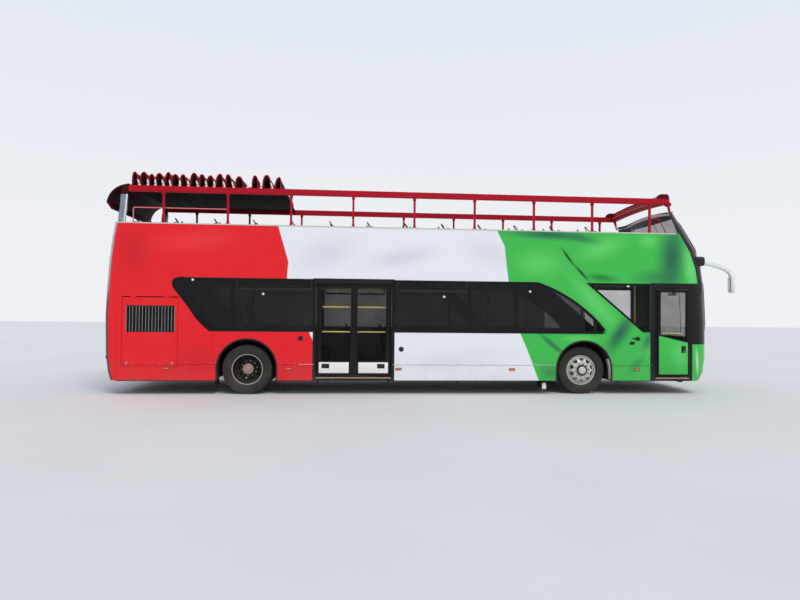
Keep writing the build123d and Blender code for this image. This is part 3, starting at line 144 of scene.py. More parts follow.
class NodeSheet:
    """A node tree with short ways to add nodes and join them."""

    def __init__(self, tree: bpy.types.NodeTree) -> None:
        """Wrap a tree.

        Args:
            tree: the shader or geometry tree to work on.
        """
        self.tree = tree

    def add(
        self,
        kind: str,
        sockets: Optional[dict] = None,
        **settings: object,
    ) -> bpy.types.Node:
        """Add one node.

        Args:
            kind: the node's type name.
            sockets: input name or number to a value, or to an output that feeds it.
            **settings: properties of the node itself.

        Returns:
            The new node.
        """
        node = self.tree.nodes.new(kind)
        for key, value in settings.items():
            setattr(node, key, value)
        for key, value in (sockets or {}).items():
            if isinstance(value, bpy.types.NodeSocket):
                self.tree.links.new(value, node.inputs[key])
            else:
                node.inputs[key].default_value = value
        return node

    def math(
        self, operation: str, first: object, second: object = 0.0, clamp: bool = False
    ) -> Socket:
        """Result of a Math node.

        Args:
            operation: the node's operation.
            first: value or output.
            second: value or output.
            clamp: keep the result between 0 and 1.

        Returns:
            The node's output.
        """
        node = self.add("ShaderNodeMath", {0: first, 1: second}, operation=operation)
        node.use_clamp = clamp
        return node.outputs[0]

    def spread(self, value: object, low: float, high: float, start: float = 0.0, end: float = 1.0,
               soft: bool = True) -> Socket:
        """Map a value from one range to another, held at the ends.

        Args:
            value: value or output.
            low: value that gives start.
            high: value that gives end.
            start: result at low.
            end: result at high.
            soft: ease in and out.

        Returns:
            The mapped output.
        """
        kind = "SMOOTHSTEP" if soft else "LINEAR"
        node = self.add(
            "ShaderNodeMapRange", {0: value, 1: low, 2: high, 3: start, 4: end},
            interpolation_type=kind
        )
        return node.outputs[0]

    def blend(self, share: object, first: object, second: object, way: str = "MIX") -> Socket:
        """Mix of two colours.

        Args:
            share: how much of the second shows.
            first: colour or output.
            second: colour or output.
            way: the blend type.

        Returns:
            The mixed colour.
        """
        node = self.add("ShaderNodeMix", data_type="RGBA", blend_type=way)
        for number, value in ((0, share), (6, first), (7, second)):
            if isinstance(value, bpy.types.NodeSocket):
                self.tree.links.new(value, node.inputs[number])
            else:
                node.inputs[number].default_value = value
        return node.outputs[2]

    def place(self) -> tuple[Socket, Socket, Socket, Socket]:
        """Object coordinates, whole and as X, Y and Z.

        Returns:
            The coordinates whole, then X, Y and Z.
        """
        coords = self.add("ShaderNodeTexCoord")
        split = self.add("ShaderNodeSeparateXYZ", {0: coords.outputs["Object"]})
        return coords.outputs["Object"], split.outputs[0], split.outputs[1], split.outputs[2]

    def noise(
        self, vector: Socket, scale: float, detail: float = 3.0, rough: float = 0.5
    ) -> Socket:
        """Value of a Noise texture.

        Args:
            vector: coordinates.
            scale: features per metre.
            detail: octaves.
            rough: strength of the finer octaves.

        Returns:
            The value output.
        """
        node = self.add(
            "ShaderNodeTexNoise",
            {"Vector": vector, "Scale": scale, "Detail": detail, "Roughness": rough}
        )
        return node.outputs[0]

    def course(self, height: Socket, table: Sequence[tuple[float, float]]) -> Socket:
        """Straight runs between the points of a short table.

        Args:
            height: the value that runs through the table's first column.
            table: rising first column, and the value wanted there.

        Returns:
            The value at that height.
        """
        total: object = table[0][1]
        for (low, before), (high, after) in zip(table, table[1:]):
            step = self.spread(height, low, high, 0.0, after - before, soft=False)
            total = self.math("ADD", step, total)
        return total

    def glow(
        self, vector: Socket, centre: tuple[float, float], reach: tuple[float, float], turn: float
    ) -> Socket:
        """Soft oval patch on the side of the bus, seen along Y.

        Args:
            vector: object coordinates.
            centre: X and Z of the middle.
            reach: half length and half height before the turn.
            turn: degrees from level.

        Returns:
            1 in the middle, falling to 0 at the rim.
        """
        moved = self.add(
            "ShaderNodeVectorMath", {0: vector, 1: (centre[0], 0, centre[1])}, operation="SUBTRACT"
        )
        turned = self.add(
            "ShaderNodeVectorRotate",
            {"Vector": moved.outputs[0], "Angle": math.radians(turn)},
            rotation_type="Y_AXIS",
        )
        shrunk = self.add(
            "ShaderNodeVectorMath", {0: turned.outputs[0], 1: (1 / reach[0], 0, 1 / reach[1])},
            operation="MULTIPLY"
        )
        length = self.add("ShaderNodeVectorMath", {0: shrunk.outputs[0]}, operation="LENGTH")
        return self.spread(length.outputs["Value"], 1.0, 0.0)


def shader_group(name: str, inputs: Sequence[tuple[str, str, object]],
                 outputs: Sequence[tuple[str, str]],
                 fill: Callable[[NodeSheet, bpy.types.Node], dict[str, Socket]]
                 ) -> bpy.types.NodeTree:
    """Build one shared shader group.

    Args:
        name: the group's name.
        inputs: name, socket kind and value of each input.
        outputs: name and socket kind of each output.
        fill: adds the nodes and returns what feeds each output.

    Returns:
        The node group.
    """
    tree = bpy.data.node_groups.new(name, "ShaderNodeTree")
    for label, kind, value in inputs:
        socket = tree.interface.new_socket(label, in_out="INPUT", socket_type=kind)
        socket.default_value = value
    for label, kind in outputs:
        tree.interface.new_socket(label, in_out="OUTPUT", socket_type=kind)
    sheet = NodeSheet(tree)
    source = sheet.add("NodeGroupInput")
    target = sheet.add("NodeGroupOutput")
    for label, socket in fill(sheet, source).items():
        tree.links.new(socket, target.inputs[label])
    return tree


class Effects:
    """The shader effects that several finishes share, each built once."""

    def __init__(self) -> None:
        """Build every group."""
        colour, number = "NodeSocketColor", "NodeSocketFloat"
        self.grime = shader_group(
            "road_grime",
            [("Colour", colour, (0.5, 0.5, 0.5, 1)), ("Film", colour, rgb(120, 112, 100)),
             ("Reach", number, 0.7), ("Amount", number, 0.3), ("Gloss", number, 0.2)],
            [("Colour", colour), ("Roughness", number)],
            self._fill_grime,
        )
        self.grain = shader_group(
            "moulded_grain",
            [("Scale", number, 300.0), ("Depth", number, 0.5)],
            [("Height", number), ("Fleck", number)],
            self._fill_grain,
        )
        self.weave = shader_group(
            "cloth_weave",
            [
                ("Thread", number, 900.0), ("Colour", colour, (0.5, 0.1, 0.1, 1)),
                ("Shadow", colour, (0.1, 0, 0, 1))
            ],
            [("Colour", colour), ("Height", number)],
            self._fill_weave,
        )
        self.skin = shader_group(
            "wall_face",
            [("Recess", number, 1.0)],
            [("Outer", number), ("Inner", number)],
            self._fill_skin,
        )
        self.livery = shader_group(
            "flag_livery",
            [("Red", colour, rgb(236, 22, 34)), ("White", colour, rgb(238, 239, 243)),
             ("Green", colour, rgb(62, 190, 78))],
            [("Colour", colour)],
            self._fill_livery,
        )

    @staticmethod
    def _fill_grime(sheet: NodeSheet, source: bpy.types.Node) -> dict[str, Socket]:
        """Film of road dust that thins with height.

        Args:
            sheet: the group's nodes.
            source: the node that carries the group's inputs.

        Returns:
            The group's outputs by name.
        """
        vector, _, _, height = sheet.place()
        cloud = sheet.noise(vector, 1.7, 5.0, 0.6)
        fine = sheet.noise(vector, 26.0, 3.0, 0.6)
        fade = sheet.math("DIVIDE", height, source.outputs["Reach"])
        fade = sheet.math("SUBTRACT", 1.0, fade, clamp=True)
        patch = sheet.spread(
            sheet.math(
                "ADD", sheet.math("MULTIPLY", cloud, 0.7), sheet.math("MULTIPLY", fine, 0.3)
            ),
            0.3, 0.75
        )
        share = sheet.math(
            "MULTIPLY", sheet.math("MULTIPLY", patch, fade), source.outputs["Amount"], clamp=True
        )
        colour = sheet.blend(share, source.outputs["Colour"], source.outputs["Film"])
        rough = sheet.math(
            "ADD", source.outputs["Gloss"], sheet.math("MULTIPLY", share, 0.7), clamp=True
        )
        rough = sheet.math("ADD", rough, sheet.math("MULTIPLY", fine, 0.05), clamp=True)
        return {"Colour": colour, "Roughness": rough}

    @staticmethod
    def _fill_grain(sheet: NodeSheet, source: bpy.types.Node) -> dict[str, Socket]:
        """Pebbled grain of moulded plastic, rubber or cast iron.

        Args:
            sheet: the group's nodes.
            source: the node that carries the group's inputs.

        Returns:
            The group's outputs by name.
        """
        vector, _, _, _ = sheet.place()
        # Dark joints between the panels, a pale line over the low one as a painted highlight on its
        # lip, and the skirt's edge.
        cells = sheet.add(
            "ShaderNodeTexVoronoi", {"Vector": vector, "Scale": source.outputs["Scale"]}
        )
        cloud = sheet.noise(vector, 9.0, 4.0, 0.6)
        height = sheet.math("MULTIPLY", cells.outputs["Distance"], source.outputs["Depth"])
        return {"Height": height, "Fleck": cloud}

    @staticmethod
    def _fill_weave(sheet: NodeSheet, source: bpy.types.Node) -> dict[str, Socket]:
        # Painted highlight: a pale line just above the low joint on the white panels stands for the
        # light caught by its edge.
        """Plain weave on the piece's own UV map, darker between the threads and in worn clouds.

        Args:
            sheet: the group's nodes.
            source: the node that carries the group's inputs.

        Returns:
            The group's outputs by name.
        """
        coords = sheet.add("ShaderNodeTexCoord")
        split = sheet.add("ShaderNodeSeparateXYZ", {0: coords.outputs["UV"]})
        waves = []
        for axis in (0, 1):
            run = sheet.math("MULTIPLY", split.outputs[axis], source.outputs["Thread"])
            waves.append(sheet.math("ABSOLUTE", sheet.math("SINE", run)))
        height = sheet.math("MULTIPLY", waves[0], waves[1])
        cloud = sheet.noise(coords.outputs["Object"], 3.0, 4.0, 0.6)
        share = sheet.math(
            "ADD", sheet.math("MULTIPLY", height, 0.35), sheet.spread(cloud, 0.3, 0.7, 0.2, 0.65)
        )
        colour = sheet.blend(share, source.outputs["Shadow"], source.outputs["Colour"])
        return {"Colour": colour, "Height": height}

    @staticmethod
    def _fill_skin(sheet: NodeSheet, source: bpy.types.Node) -> dict[str, Socket]:
        """Masks of a body wall: its painted outer face, and its lined inner face.

        Args:
            sheet: the group's nodes.
            source: the node that carries the group's inputs.

        Returns:
            The group's outputs by name.
        """
        straight_from, straight_to = -5.95, 4.75
        band_low, band_high = 1.2, 2.255
        lean_limit = 0.12
        _, along, across, height = sheet.place()
        held = sheet.math("MINIMUM", sheet.math("MAXIMUM", along, straight_from), straight_to)
        off = sheet.math("SUBTRACT", along, held)
        centre = sheet.add("ShaderNodeCombineXYZ", {0: off, 1: across, 2: 0.0})
        unit = sheet.add("ShaderNodeVectorMath", {0: centre.outputs[0]}, operation="NORMALIZE")
        face = sheet.add("ShaderNodeNewGeometry")
        lean = sheet.add(
            "ShaderNodeVectorMath", {0: face.outputs["True Normal"], 1: unit.outputs[0]},
            operation="DOT_PRODUCT"
        )
        facing = lean.outputs["Value"]
        outer = sheet.math("GREATER_THAN", facing, lean_limit)
        inner = sheet.math("LESS_THAN", facing, -lean_limit)
        sunk = sheet.math("LESS_THAN", sheet.math("ABSOLUTE", across), HALF_W - 0.003)
        band = sheet.math(
            "MULTIPLY", sheet.math("GREATER_THAN", height, band_low),
            sheet.math("LESS_THAN", height, band_high)
        )
        black = sheet.math("MULTIPLY", sheet.math("MULTIPLY", sunk, band), source.outputs["Recess"])
        outer = sheet.math("MULTIPLY", outer, sheet.math("SUBTRACT", 1.0, black))
        return {"Outer": outer, "Inner": inner}

    @staticmethod
    def _fill_livery(sheet: NodeSheet, source: bpy.types.Node) -> dict[str, Socket]:
        """Red, white and green as on a waving flag, with the flag's fold marks as soft ovals, and a
        painted highlight down the nose corner.

        Args:
            sheet: the group's nodes.
            source: the node that carries the group's inputs.

        Returns:
            The group's outputs by name.
        """
        vector, along, _, height = sheet.place()
        to_white = sheet.course(
            height,
            [
                (0.27, -2.12), (0.94, -2.29), (1.21, -2.41), (2.26, -2.85), (2.57, -2.83),
                (3.28, -3.03)
            ]
        )
        to_green = sheet.course(
            height,
            [(0.28, 2.16), (0.65, 2.01), (1.21, 1.78), (2.28, 1.52), (2.95, 1.44), (3.27, 1.28)]
        )
        wave = sheet.noise(vector, 1.1, 1.0)
        wave = sheet.math("MULTIPLY", sheet.math("SUBTRACT", wave, 0.5), 0.05)
        white_share = sheet.spread(
            sheet.math("ADD", sheet.math("SUBTRACT", along, to_white), wave), -0.012, 0.012
        )
        green_share = sheet.spread(
            sheet.math("ADD", sheet.math("SUBTRACT", along, to_green), wave), -0.012, 0.012
        )

        def soft_ovals(base: Socket, shade: object, table: Sequence[Oval]) -> Socket:
            """Shade a colour by soft ovals: centre, reach, turn and strength.

            Args:
                base: the colour that is shaded.
                shade: the colour of the ovals.
                table: centre, reach, turn and strength of each oval.

            Returns:
                The shaded colour.
            """
            colour = base
            for centre, reach, turn, strength in table:
                share = sheet.math("MULTIPLY", sheet.glow(vector, centre, reach, turn), strength)
                colour = sheet.blend(share, colour, shade)
            return colour

        teal = rgb(34, 104, 78)
        green = soft_ovals(source.outputs["Green"], rgb(116, 226, 122), [
            ((2.15, 2.62), (0.75, 0.42), 0, 0.45),
            ((3.45, 2.95), (0.75, 0.30), 18, 0.55),
            ((4.42, 3.12), (0.30, 0.22), 0, 0.55),
            ((5.30, 2.60), (0.22, 0.75), 14, 0.75),
            ((3.30, 1.85), (1.10, 0.26), -46, 0.5),
            ((4.45, 1.05), (0.20, 0.62), -28, 0.5),
            ((5.10, 0.80), (0.28, 0.42), 0, 0.4),
            ((3.00, 1.12), (0.50, 0.10), 0, 0.5),
        ])
        green = soft_ovals(green, teal, [
            ((2.35, 3.20), (1.25, 0.15), -2, 0.95),
            ((3.00, 3.14), (0.60, 0.13), -12, 0.6),
            ((4.92, 2.78), (0.42, 1.10), -4, 1.0),
            ((4.62, 2.36), (0.75, 0.26), 0, 0.6),
            ((2.45, 0.98), (0.62, 0.085), -40, 0.9),
            ((2.40, 0.44), (0.34, 0.24), 0, 0.6),
            ((3.84, 1.24), (0.70, 0.24), 56, 1.0),
            ((4.42, 1.08), (0.40, 0.17), 66, 0.8),
            ((4.20, 0.62), (0.40, 0.14), 50, 0.5),
        ])
        green = soft_ovals(green, rgb(14, 112, 34), [((3.45, 2.35), (0.48, 0.12), -6, 0.8)])
        green = soft_ovals(green, rgb(8, 34, 16), [
            ((2.74, 2.76), (0.34, 0.045), -53, 1.0),
            ((3.03, 2.44), (0.38, 0.045), -47, 1.0),
        ])
        # Painted highlight: a pale green streak down the nose corner stands for the light caught
        # there.
        green = soft_ovals(green, rgb(206, 244, 206), [((5.47, 0.66), (0.055, 0.42), 4, 0.75)])
        white = soft_ovals(source.outputs["White"], rgb(196, 198, 210), [
            ((-2.1, 2.75), (0.9, 0.5), 20, 0.35),
            ((-0.6, 2.7), (1.0, 0.28), 10, 0.45),
            ((1.15, 2.8), (0.8, 0.4), -15, 0.3),
            ((0.5, 0.7), (1.6, 0.35), 8, 0.25),
        ])
        red = soft_ovals(source.outputs["Red"], rgb(190, 22, 34), [
            ((-5.75, 2.75), (0.5, 0.75), 6, 0.5),
            ((-4.35, 1.9), (1.2, 0.22), -35, 0.25),
            ((-4.6, 0.65), (0.7, 0.4), 10, 0.35),
            ((-3.2, 0.45), (1.6, 0.25), 0, 0.2),
        ])
        red = soft_ovals(red, rgb(250, 70, 76), [
            ((-4.6, 2.95), (1.3, 0.35), 5, 0.35),
            ((-5.3, 1.4), (0.5, 0.6), 0, 0.2),
        ])
        colour = sheet.blend(white_share, red, white)
        return {"Colour": sheet.blend(green_share, colour, green)}


# Finishes


@dataclass(frozen=True)
class Finish:
    """A surface finish: colour, gloss and how much road dust it has caught."""

    name: str
    colour: Colour
    gloss: float = 0.4
    metal: float = 0.0
    grain: float = 0.0
    grain_scale: float = 260.0
    dust: float = 0.15
    dust_reach: float = 1.2
    coat: float = 0.0
    spotting: float = 0.25
    shine: float = 0.35

    def build(self, effects: Effects) -> bpy.types.Material:
        """Make the material.

        Args:
            effects: the shared shader groups.

        Returns:
            The finished material.
        """
        material, sheet, shader = blank_material(self.name)
        grain = sheet.add("ShaderNodeGroup", node_tree=effects.grain)
        grain.inputs["Scale"].default_value = self.grain_scale
        tint = sheet.spread(grain.outputs["Fleck"], 0.3, 0.7, 1.0 - self.spotting, 1.0)
        shade = tuple(channel * (1.0 - self.spotting) for channel in self.colour[:3]) + (1.0,)
        base = sheet.blend(tint, shade, self.colour)
        grime = sheet.add("ShaderNodeGroup", {"Colour": base}, node_tree=effects.grime)
        grime.inputs["Reach"].default_value = self.dust_reach
        grime.inputs["Amount"].default_value = self.dust
        grime.inputs["Gloss"].default_value = self.gloss
        sheet.tree.links.new(grime.outputs["Colour"], shader.inputs["Base Color"])
        sheet.tree.links.new(grime.outputs["Roughness"], shader.inputs["Roughness"])
        shader.inputs["Metallic"].default_value = self.metal
        shader.inputs["Specular IOR Level"].default_value = self.shine
        shader.inputs["Coat Weight"].default_value = self.coat
        shader.inputs["Coat Roughness"].default_value = 0.05
        if self.grain:
            bump = sheet.add(
                "ShaderNodeBump",
                {"Height": grain.outputs["Height"], "Strength": self.grain, "Distance": 0.002}
            )
            sheet.tree.links.new(bump.outputs[0], shader.inputs["Normal"])
        return material


def blank_material(name: str) -> tuple[bpy.types.Material, NodeSheet, bpy.types.Node]:
    """New material that holds only a Principled shader.

    Args:
        name: the material's name.

    Returns:
        The material, its sheet and the shader node.
    """
    material = bpy.data.materials.new(name)
    material.use_nodes = True
    material.node_tree.nodes.clear()
    sheet = NodeSheet(material.node_tree)
    shader = sheet.add("ShaderNodeBsdfPrincipled")
    sheet.add("ShaderNodeOutputMaterial", {"Surface": shader.outputs[0]})
    return material, sheet, shader


@dataclass(frozen=True)
class CoachPaint:
    """Painted body wall: livery outside, lining inside and black cut edges."""

    name: str
    recess: float = 1.0
    black_from: Sequence[tuple[float, float]] = ()
    black_spans: Sequence[tuple[float, float]] = ()
    span_z: tuple[float, float] = (0.0, 2.262)
    wrapped_tail: bool = False
    lining: Colour = rgb(92, 94, 98)

    def build(self, effects: Effects) -> bpy.types.Material:
        """Make the material.

        Args:
            effects: the shared shader groups.

        Returns:
            The finished material.
        """
        material, sheet, shader = blank_material(self.name)
        livery = sheet.add("ShaderNodeGroup", node_tree=effects.livery).outputs["Colour"]
        if self.black_from:
            _, along, _, height = sheet.place()
            edge = sheet.course(height, self.black_from)
            share = sheet.spread(sheet.math("SUBTRACT", along, edge), -0.006, 0.006)
            livery = sheet.blend(share, livery, PANEL_BLACK_AND_SHADE)
        # Black spans: black panels round the doorways, and painted shade over the intake flap's
        # openings.
        for low, high in self.black_spans:
            _, along, _, height = sheet.place()
            inside = sheet.math(
                "MULTIPLY", sheet.math("GREATER_THAN", along, low),
                sheet.math("LESS_THAN", along, high)
            )
            inside = sheet.math("MULTIPLY", inside, sheet.math("LESS_THAN", height, self.span_z[1]))
            inside = sheet.math(
                "MULTIPLY", inside, sheet.math("GREATER_THAN", height, self.span_z[0])
            )
            livery = sheet.blend(inside, livery, PANEL_BLACK_AND_SHADE)
        if self.wrapped_tail:
            livery = self._wrap_tail(sheet, livery)
        face = sheet.add("ShaderNodeGroup", node_tree=effects.skin)
        face.inputs["Recess"].default_value = self.recess
        inside = sheet.blend(face.outputs["Inner"], rgb(18, 18, 20), self.lining)
        colour = sheet.blend(face.outputs["Outer"], inside, livery)
        grime = sheet.add("ShaderNodeGroup", {"Colour": colour}, node_tree=effects.grime)
        grime.inputs["Reach"].default_value = 0.95
        grime.inputs["Amount"].default_value = 0.34
        grime.inputs["Gloss"].default_value = 0.22
        sheet.tree.links.new(grime.outputs["Colour"], shader.inputs["Base Color"])
        sheet.tree.links.new(grime.outputs["Roughness"], shader.inputs["Roughness"])
        sheet.tree.links.new(
            sheet.math("MULTIPLY", face.outputs["Outer"], 0.16), shader.inputs["Coat Weight"]
        )
        shader.inputs["Coat Roughness"].default_value = 0.06
        shader.inputs["Specular IOR Level"].default_value = 0.22
        vector, _, _, _ = sheet.place()
        swell = sheet.noise(vector, 2.2, 2.0)
        bump = sheet.add("ShaderNodeBump", {"Height": swell, "Strength": 0.12, "Distance": 0.01})
        sheet.tree.links.new(bump.outputs[0], shader.inputs["Normal"])
        return material

    @staticmethod
    def _wrap_tail(sheet: NodeSheet, livery: Socket) -> Socket:
        """Cover the face of the tail, silvery above and dark blue below.

        Args:
            sheet: the material's nodes.
            livery: the colour of the other faces.

        Returns:
            The livery with the covered tail.
        """
        face = sheet.add("ShaderNodeNewGeometry")
        split = sheet.add("ShaderNodeSeparateXYZ", {0: face.outputs["True Normal"]})
        back = sheet.spread(split.outputs[0], -0.50, -0.62)
        vector, _, _, height = sheet.place()
        ripple = sheet.spread(sheet.noise(vector, 6.0, 4.0, 0.6), 0.25, 0.75)
        silver = sheet.blend(ripple, rgb(138, 138, 152), rgb(204, 206, 214))
        wrap = sheet.blend(sheet.spread(height, 1.75, 2.15), rgb(30, 28, 52), silver)
        return sheet.blend(back, livery, wrap)


@dataclass(frozen=True)
class Glazing:
    """Window glass with a light film of dust."""

    name: str
    tint: Colour
    clear: float
    clear_from: float = 20.0

    def build(self, effects: Effects) -> bpy.types.Material:
        """Make the material.

        Args:
            effects: the shared shader groups.

        Returns:
            The finished material.
        """
        material, sheet, shader = blank_material(self.name)
        vector, _, _, _ = sheet.place()
        grime = sheet.add("ShaderNodeGroup", {"Colour": self.tint}, node_tree=effects.grime)
        grime.inputs["Reach"].default_value = 2.4
        grime.inputs["Amount"].default_value = 0.12
        grime.inputs["Gloss"].default_value = 0.03
        sheet.tree.links.new(grime.outputs["Colour"], shader.inputs["Base Color"])
        sheet.tree.links.new(grime.outputs["Roughness"], shader.inputs["Roughness"])
        film = sheet.spread(
            sheet.noise(vector, 3.0, 4.0), 0.3, 0.8, 1.0 - self.clear, 1.0 - self.clear + 0.06
        )
        _, along, _, _ = sheet.place()
        film = sheet.math(
            "SUBTRACT", film,
            sheet.math("MULTIPLY", sheet.math("GREATER_THAN", along, self.clear_from), 0.55)
        )
        sheet.tree.links.new(film, shader.inputs["Alpha"])
        shader.inputs["Specular IOR Level"].default_value = 0.22
        return material


@dataclass(frozen=True)
class Cloth:
    """Woven cloth on a piece's own UV map."""

    name: str
    colour: Colour
    shadow: Colour
    thread: float = 900.0
    sheen: float = 0.2

    def build(self, effects: Effects) -> bpy.types.Material:
        """Make the material.

        Args:
            effects: the shared shader groups.

        Returns:
            The finished material.
        """
        material, sheet, shader = blank_material(self.name)
        weave = sheet.add("ShaderNodeGroup", node_tree=effects.weave)
        weave.inputs["Thread"].default_value = self.thread
        weave.inputs["Colour"].default_value = self.colour
        weave.inputs["Shadow"].default_value = self.shadow
        sheet.tree.links.new(weave.outputs["Colour"], shader.inputs["Base Color"])
        shader.inputs["Roughness"].default_value = 0.85
        shader.inputs["Sheen Weight"].default_value = self.sheen
        shader.inputs["Specular IOR Level"].default_value = 0.2
        bump = sheet.add(
            "ShaderNodeBump",
            {"Height": weave.outputs["Height"], "Strength": 0.35, "Distance": 0.001}
        )
        sheet.tree.links.new(bump.outputs[0], shader.inputs["Normal"])
        return material


@dataclass(frozen=True)
class Lens:
    """Coloured lamp lens with fine ribs."""

    name: str
    colour: Colour

    def build(self, effects: Effects) -> bpy.types.Material:
        """Make the material.

        Args:
            effects: the shared shader groups; not used.

        Returns:
            The finished material.
        """
        material, sheet, shader = blank_material(self.name)
        vector, _, across, height = sheet.place()
        ribs = sheet.math("SINE", sheet.math("MULTIPLY", sheet.math("ADD", across, height), 700.0))
        dark = tuple(channel * 0.55 for channel in self.colour[:3]) + (1.0,)
        colour = sheet.blend(sheet.spread(ribs, -1.0, 1.0), dark, self.colour)
        sheet.tree.links.new(colour, shader.inputs["Base Color"])
        rough = sheet.spread(sheet.noise(vector, 40.0), 0.3, 0.7, 0.05, 0.14)
        sheet.tree.links.new(rough, shader.inputs["Roughness"])
        bump = sheet.add("ShaderNodeBump", {"Height": ribs, "Strength": 0.3, "Distance": 0.001})
        sheet.tree.links.new(bump.outputs[0], shader.inputs["Normal"])
        shader.inputs["Coat Weight"].default_value = 0.8
        return material


NOSE_BLACK = (
    (0.985, 9.0), (1.02, 5.2), (2.24, 5.2), (2.27, 5.48), (2.56, 5.43), (2.90, 5.31), (3.30, 5.07),
    (3.90, 4.70)
)


DOOR_SPANS = ((-2.338, -0.742), (4.468, 5.40))


class Paintbox:
    """Every finish of the bus, built when it is first asked for."""

    def __init__(self) -> None:
        """List the finishes by name."""
        self.effects = Effects()
        finishes = [
            CoachPaint("coach_paint"),
            CoachPaint("kerb_paint", black_spans=DOOR_SPANS),
            CoachPaint("tail_paint", recess=0.0, wrapped_tail=True),
            # Painted shade: the black span on the intake flap stands for the dark openings behind
            # its fins.
            CoachPaint(
                "flap_paint", recess=0.0, black_spans=((-5.85, -4.95),), span_z=(1.19, 1.70)
            ),
            CoachPaint("end_paint", recess=0.0),
            CoachPaint("door_paint", recess=0.0),
            CoachPaint("nose_paint", recess=0.0, black_from=NOSE_BLACK),
            Finish("frame_black", rgb(15, 16, 18), 0.38, coat=0.0, dust=0.12, shine=0.18),
            Finish("trim_pale", rgb(214, 210, 200), 0.35, metal=0.3, dust=0.1),
            Finish(
                "rail_crimson", rgb(178, 12, 34), 0.45, coat=0.0, dust=0.0, spotting=0.22,
                shine=0.15
            ),
            Finish("chassis_black", rgb(30, 29, 28), 0.6, grain=0.4, dust=0.7, dust_reach=1.6),
            Finish(
                "deck_floor", rgb(92, 94, 98), 0.75, grain=0.8, grain_scale=120, dust=0.2,
                spotting=0.35
            ),
            # Painted reflection: near-white stands for the sky reflected along the brow over the
            # upper screen.
            Finish("brow_silver", rgb(226, 226, 230), 0.4, metal=0.1, dust=0.0, spotting=0.15),
            # Painted highlight: pale pink stands for the light caught by thin crimson rails and
            # edges.
            Finish("trim_pink", rgb(226, 120, 128), 0.4, dust=0.0),
            Finish("roof_skirt", rgb(96, 6, 20), 0.7, grain=0.3, dust=0.0, spotting=0.4, shine=0.1),
            # Painted shade: the hood's own crimson is darkened to stand for the shade inside and
            # under it.
            Finish(
                "hood_maroon", rgb(62, 8, 16), 0.6, grain=0.3, dust=0.0, spotting=0.45, shine=0.12
            ),
            Finish(
                "seat_pad", rgb(30, 44, 92), 0.75, grain=0.6, grain_scale=500, dust=0.1,
                spotting=0.35
            ),
            Finish("seat_shell", rgb(38, 58, 118), 0.42, grain=0.3, dust=0.1),
            Finish("saloon_shell", rgb(58, 66, 92), 0.5, grain=0.3, dust=0.05),
            Finish("handrail_yellow", rgb(255, 228, 110), 0.35, coat=0.2, dust=0.0, spotting=0.1),
            Finish("gloss_white", rgb(238, 238, 238), 0.2, coat=0.5, dust=0.05, spotting=0.06),
            Finish("black_plastic", rgb(26, 26, 28), 0.5, grain=0.5, dust=0.2),
            Finish("rubber", rgb(22, 22, 22), 0.7, grain=0.3, dust=0.3),
            Finish(
                "tyre_rubber", rgb(38, 37, 36), 0.82, grain=0.35, grain_scale=180, dust=0.45,
                dust_reach=1.5
            ),
            Finish(
                "cast_iron", rgb(60, 58, 56), 0.65, metal=0.5, grain=0.7, grain_scale=420,
                dust=0.55, dust_reach=1.5
            ),
            Finish("bright_steel", rgb(180, 182, 186), 0.28, metal=0.9, dust=0.1),
            Finish(
                "rim_silver", rgb(176, 174, 168), 0.36, metal=0.65, dust=0.45, dust_reach=1.2,
                spotting=0.4
            ),
            Finish(
                "disc_silver", rgb(216, 211, 202), 0.4, metal=0.3, dust=0.28, dust_reach=1.2,
                spotting=0.35
            ),
            Finish(
                "rim_dark", rgb(44, 41, 39), 0.5, metal=0.3, dust=0.4, dust_reach=1.2, spotting=0.45
            ),
            Finish("hub_grease", rgb(186, 160, 148), 0.42, metal=0.35, dust=0.3, spotting=0.55),
            Finish("aluminium", rgb(188, 190, 192), 0.35, metal=0.85, dust=0.2),
            Finish("threshold", rgb(206, 172, 140), 0.4, metal=0.5, dust=0.3),
            Finish("reflector", rgb(228, 230, 234), 0.08, metal=1.0, dust=0.0, spotting=0.05),
            Finish("plate_white", rgb(232, 232, 228), 0.3, dust=0.2, spotting=0.05),
            Finish("mirror_face", rgb(200, 206, 212), 0.22, metal=0.9, dust=0.0, spotting=0.05),
            Finish("display_black", rgb(12, 12, 14), 0.08, dust=0.05, spotting=0.1, shine=0.4),
            Finish(
                "wrinkled_foil", rgb(150, 156, 168), 0.3, metal=0.6, grain=2.2, grain_scale=22,
                dust=0.0, spotting=0.5
            ),
            Glazing("tinted_glass", rgb(12, 17, 20), 0.30, clear_from=3.1),
            Glazing("clear_glass", rgb(24, 30, 32), 0.72),
            Glazing("screen_glass", rgb(12, 16, 18), 0.6),
            Glazing("door_glass", rgb(14, 18, 18), 0.9),
            Lens("lens_clear", rgb(224, 230, 236)),
            Lens("lens_amber", rgb(240, 120, 20)),
            Lens("lens_red", rgb(200, 14, 18)),
            Cloth("roof_cloth", rgb(122, 10, 26), rgb(30, 3, 8), 1400.0),
            # Painted shade: the lining is near-black for the shade under the folded roof.
            Cloth("roof_lining", rgb(12, 7, 9), rgb(5, 3, 4), 1400.0, sheen=0.0),
            Cloth("seat_cloth", rgb(44, 58, 104), rgb(14, 18, 38), 2200.0),
            Finish(
                "seat_cloth_deep", rgb(52, 66, 118), 0.9, grain=0.8, grain_scale=700, dust=0.05,
                spotting=0.4
            ),
        ]
        self.finishes = {finish.name: finish for finish in finishes}
        self.made: dict[str, bpy.types.Material] = {}

    def get(self, name: str) -> bpy.types.Material:
        """Material of a finish.

        Args:
            name: the finish.

        Returns:
            The material, built once.
        """
        if name not in self.made:
            self.made[name] = self.finishes[name].build(self.effects)
        return self.made[name]


# Meshes


def dress(obj: bpy.types.Object, body: str) -> bpy.types.Object:
    """Ride a finished piece on its body and log it.

    Args:
        obj: the piece, in place.
        body: the CAD body that carries it.

    Returns:
        The same object.
    """
    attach(obj, body)
    log.info("%s rides on %s", obj.name, body)
    return obj


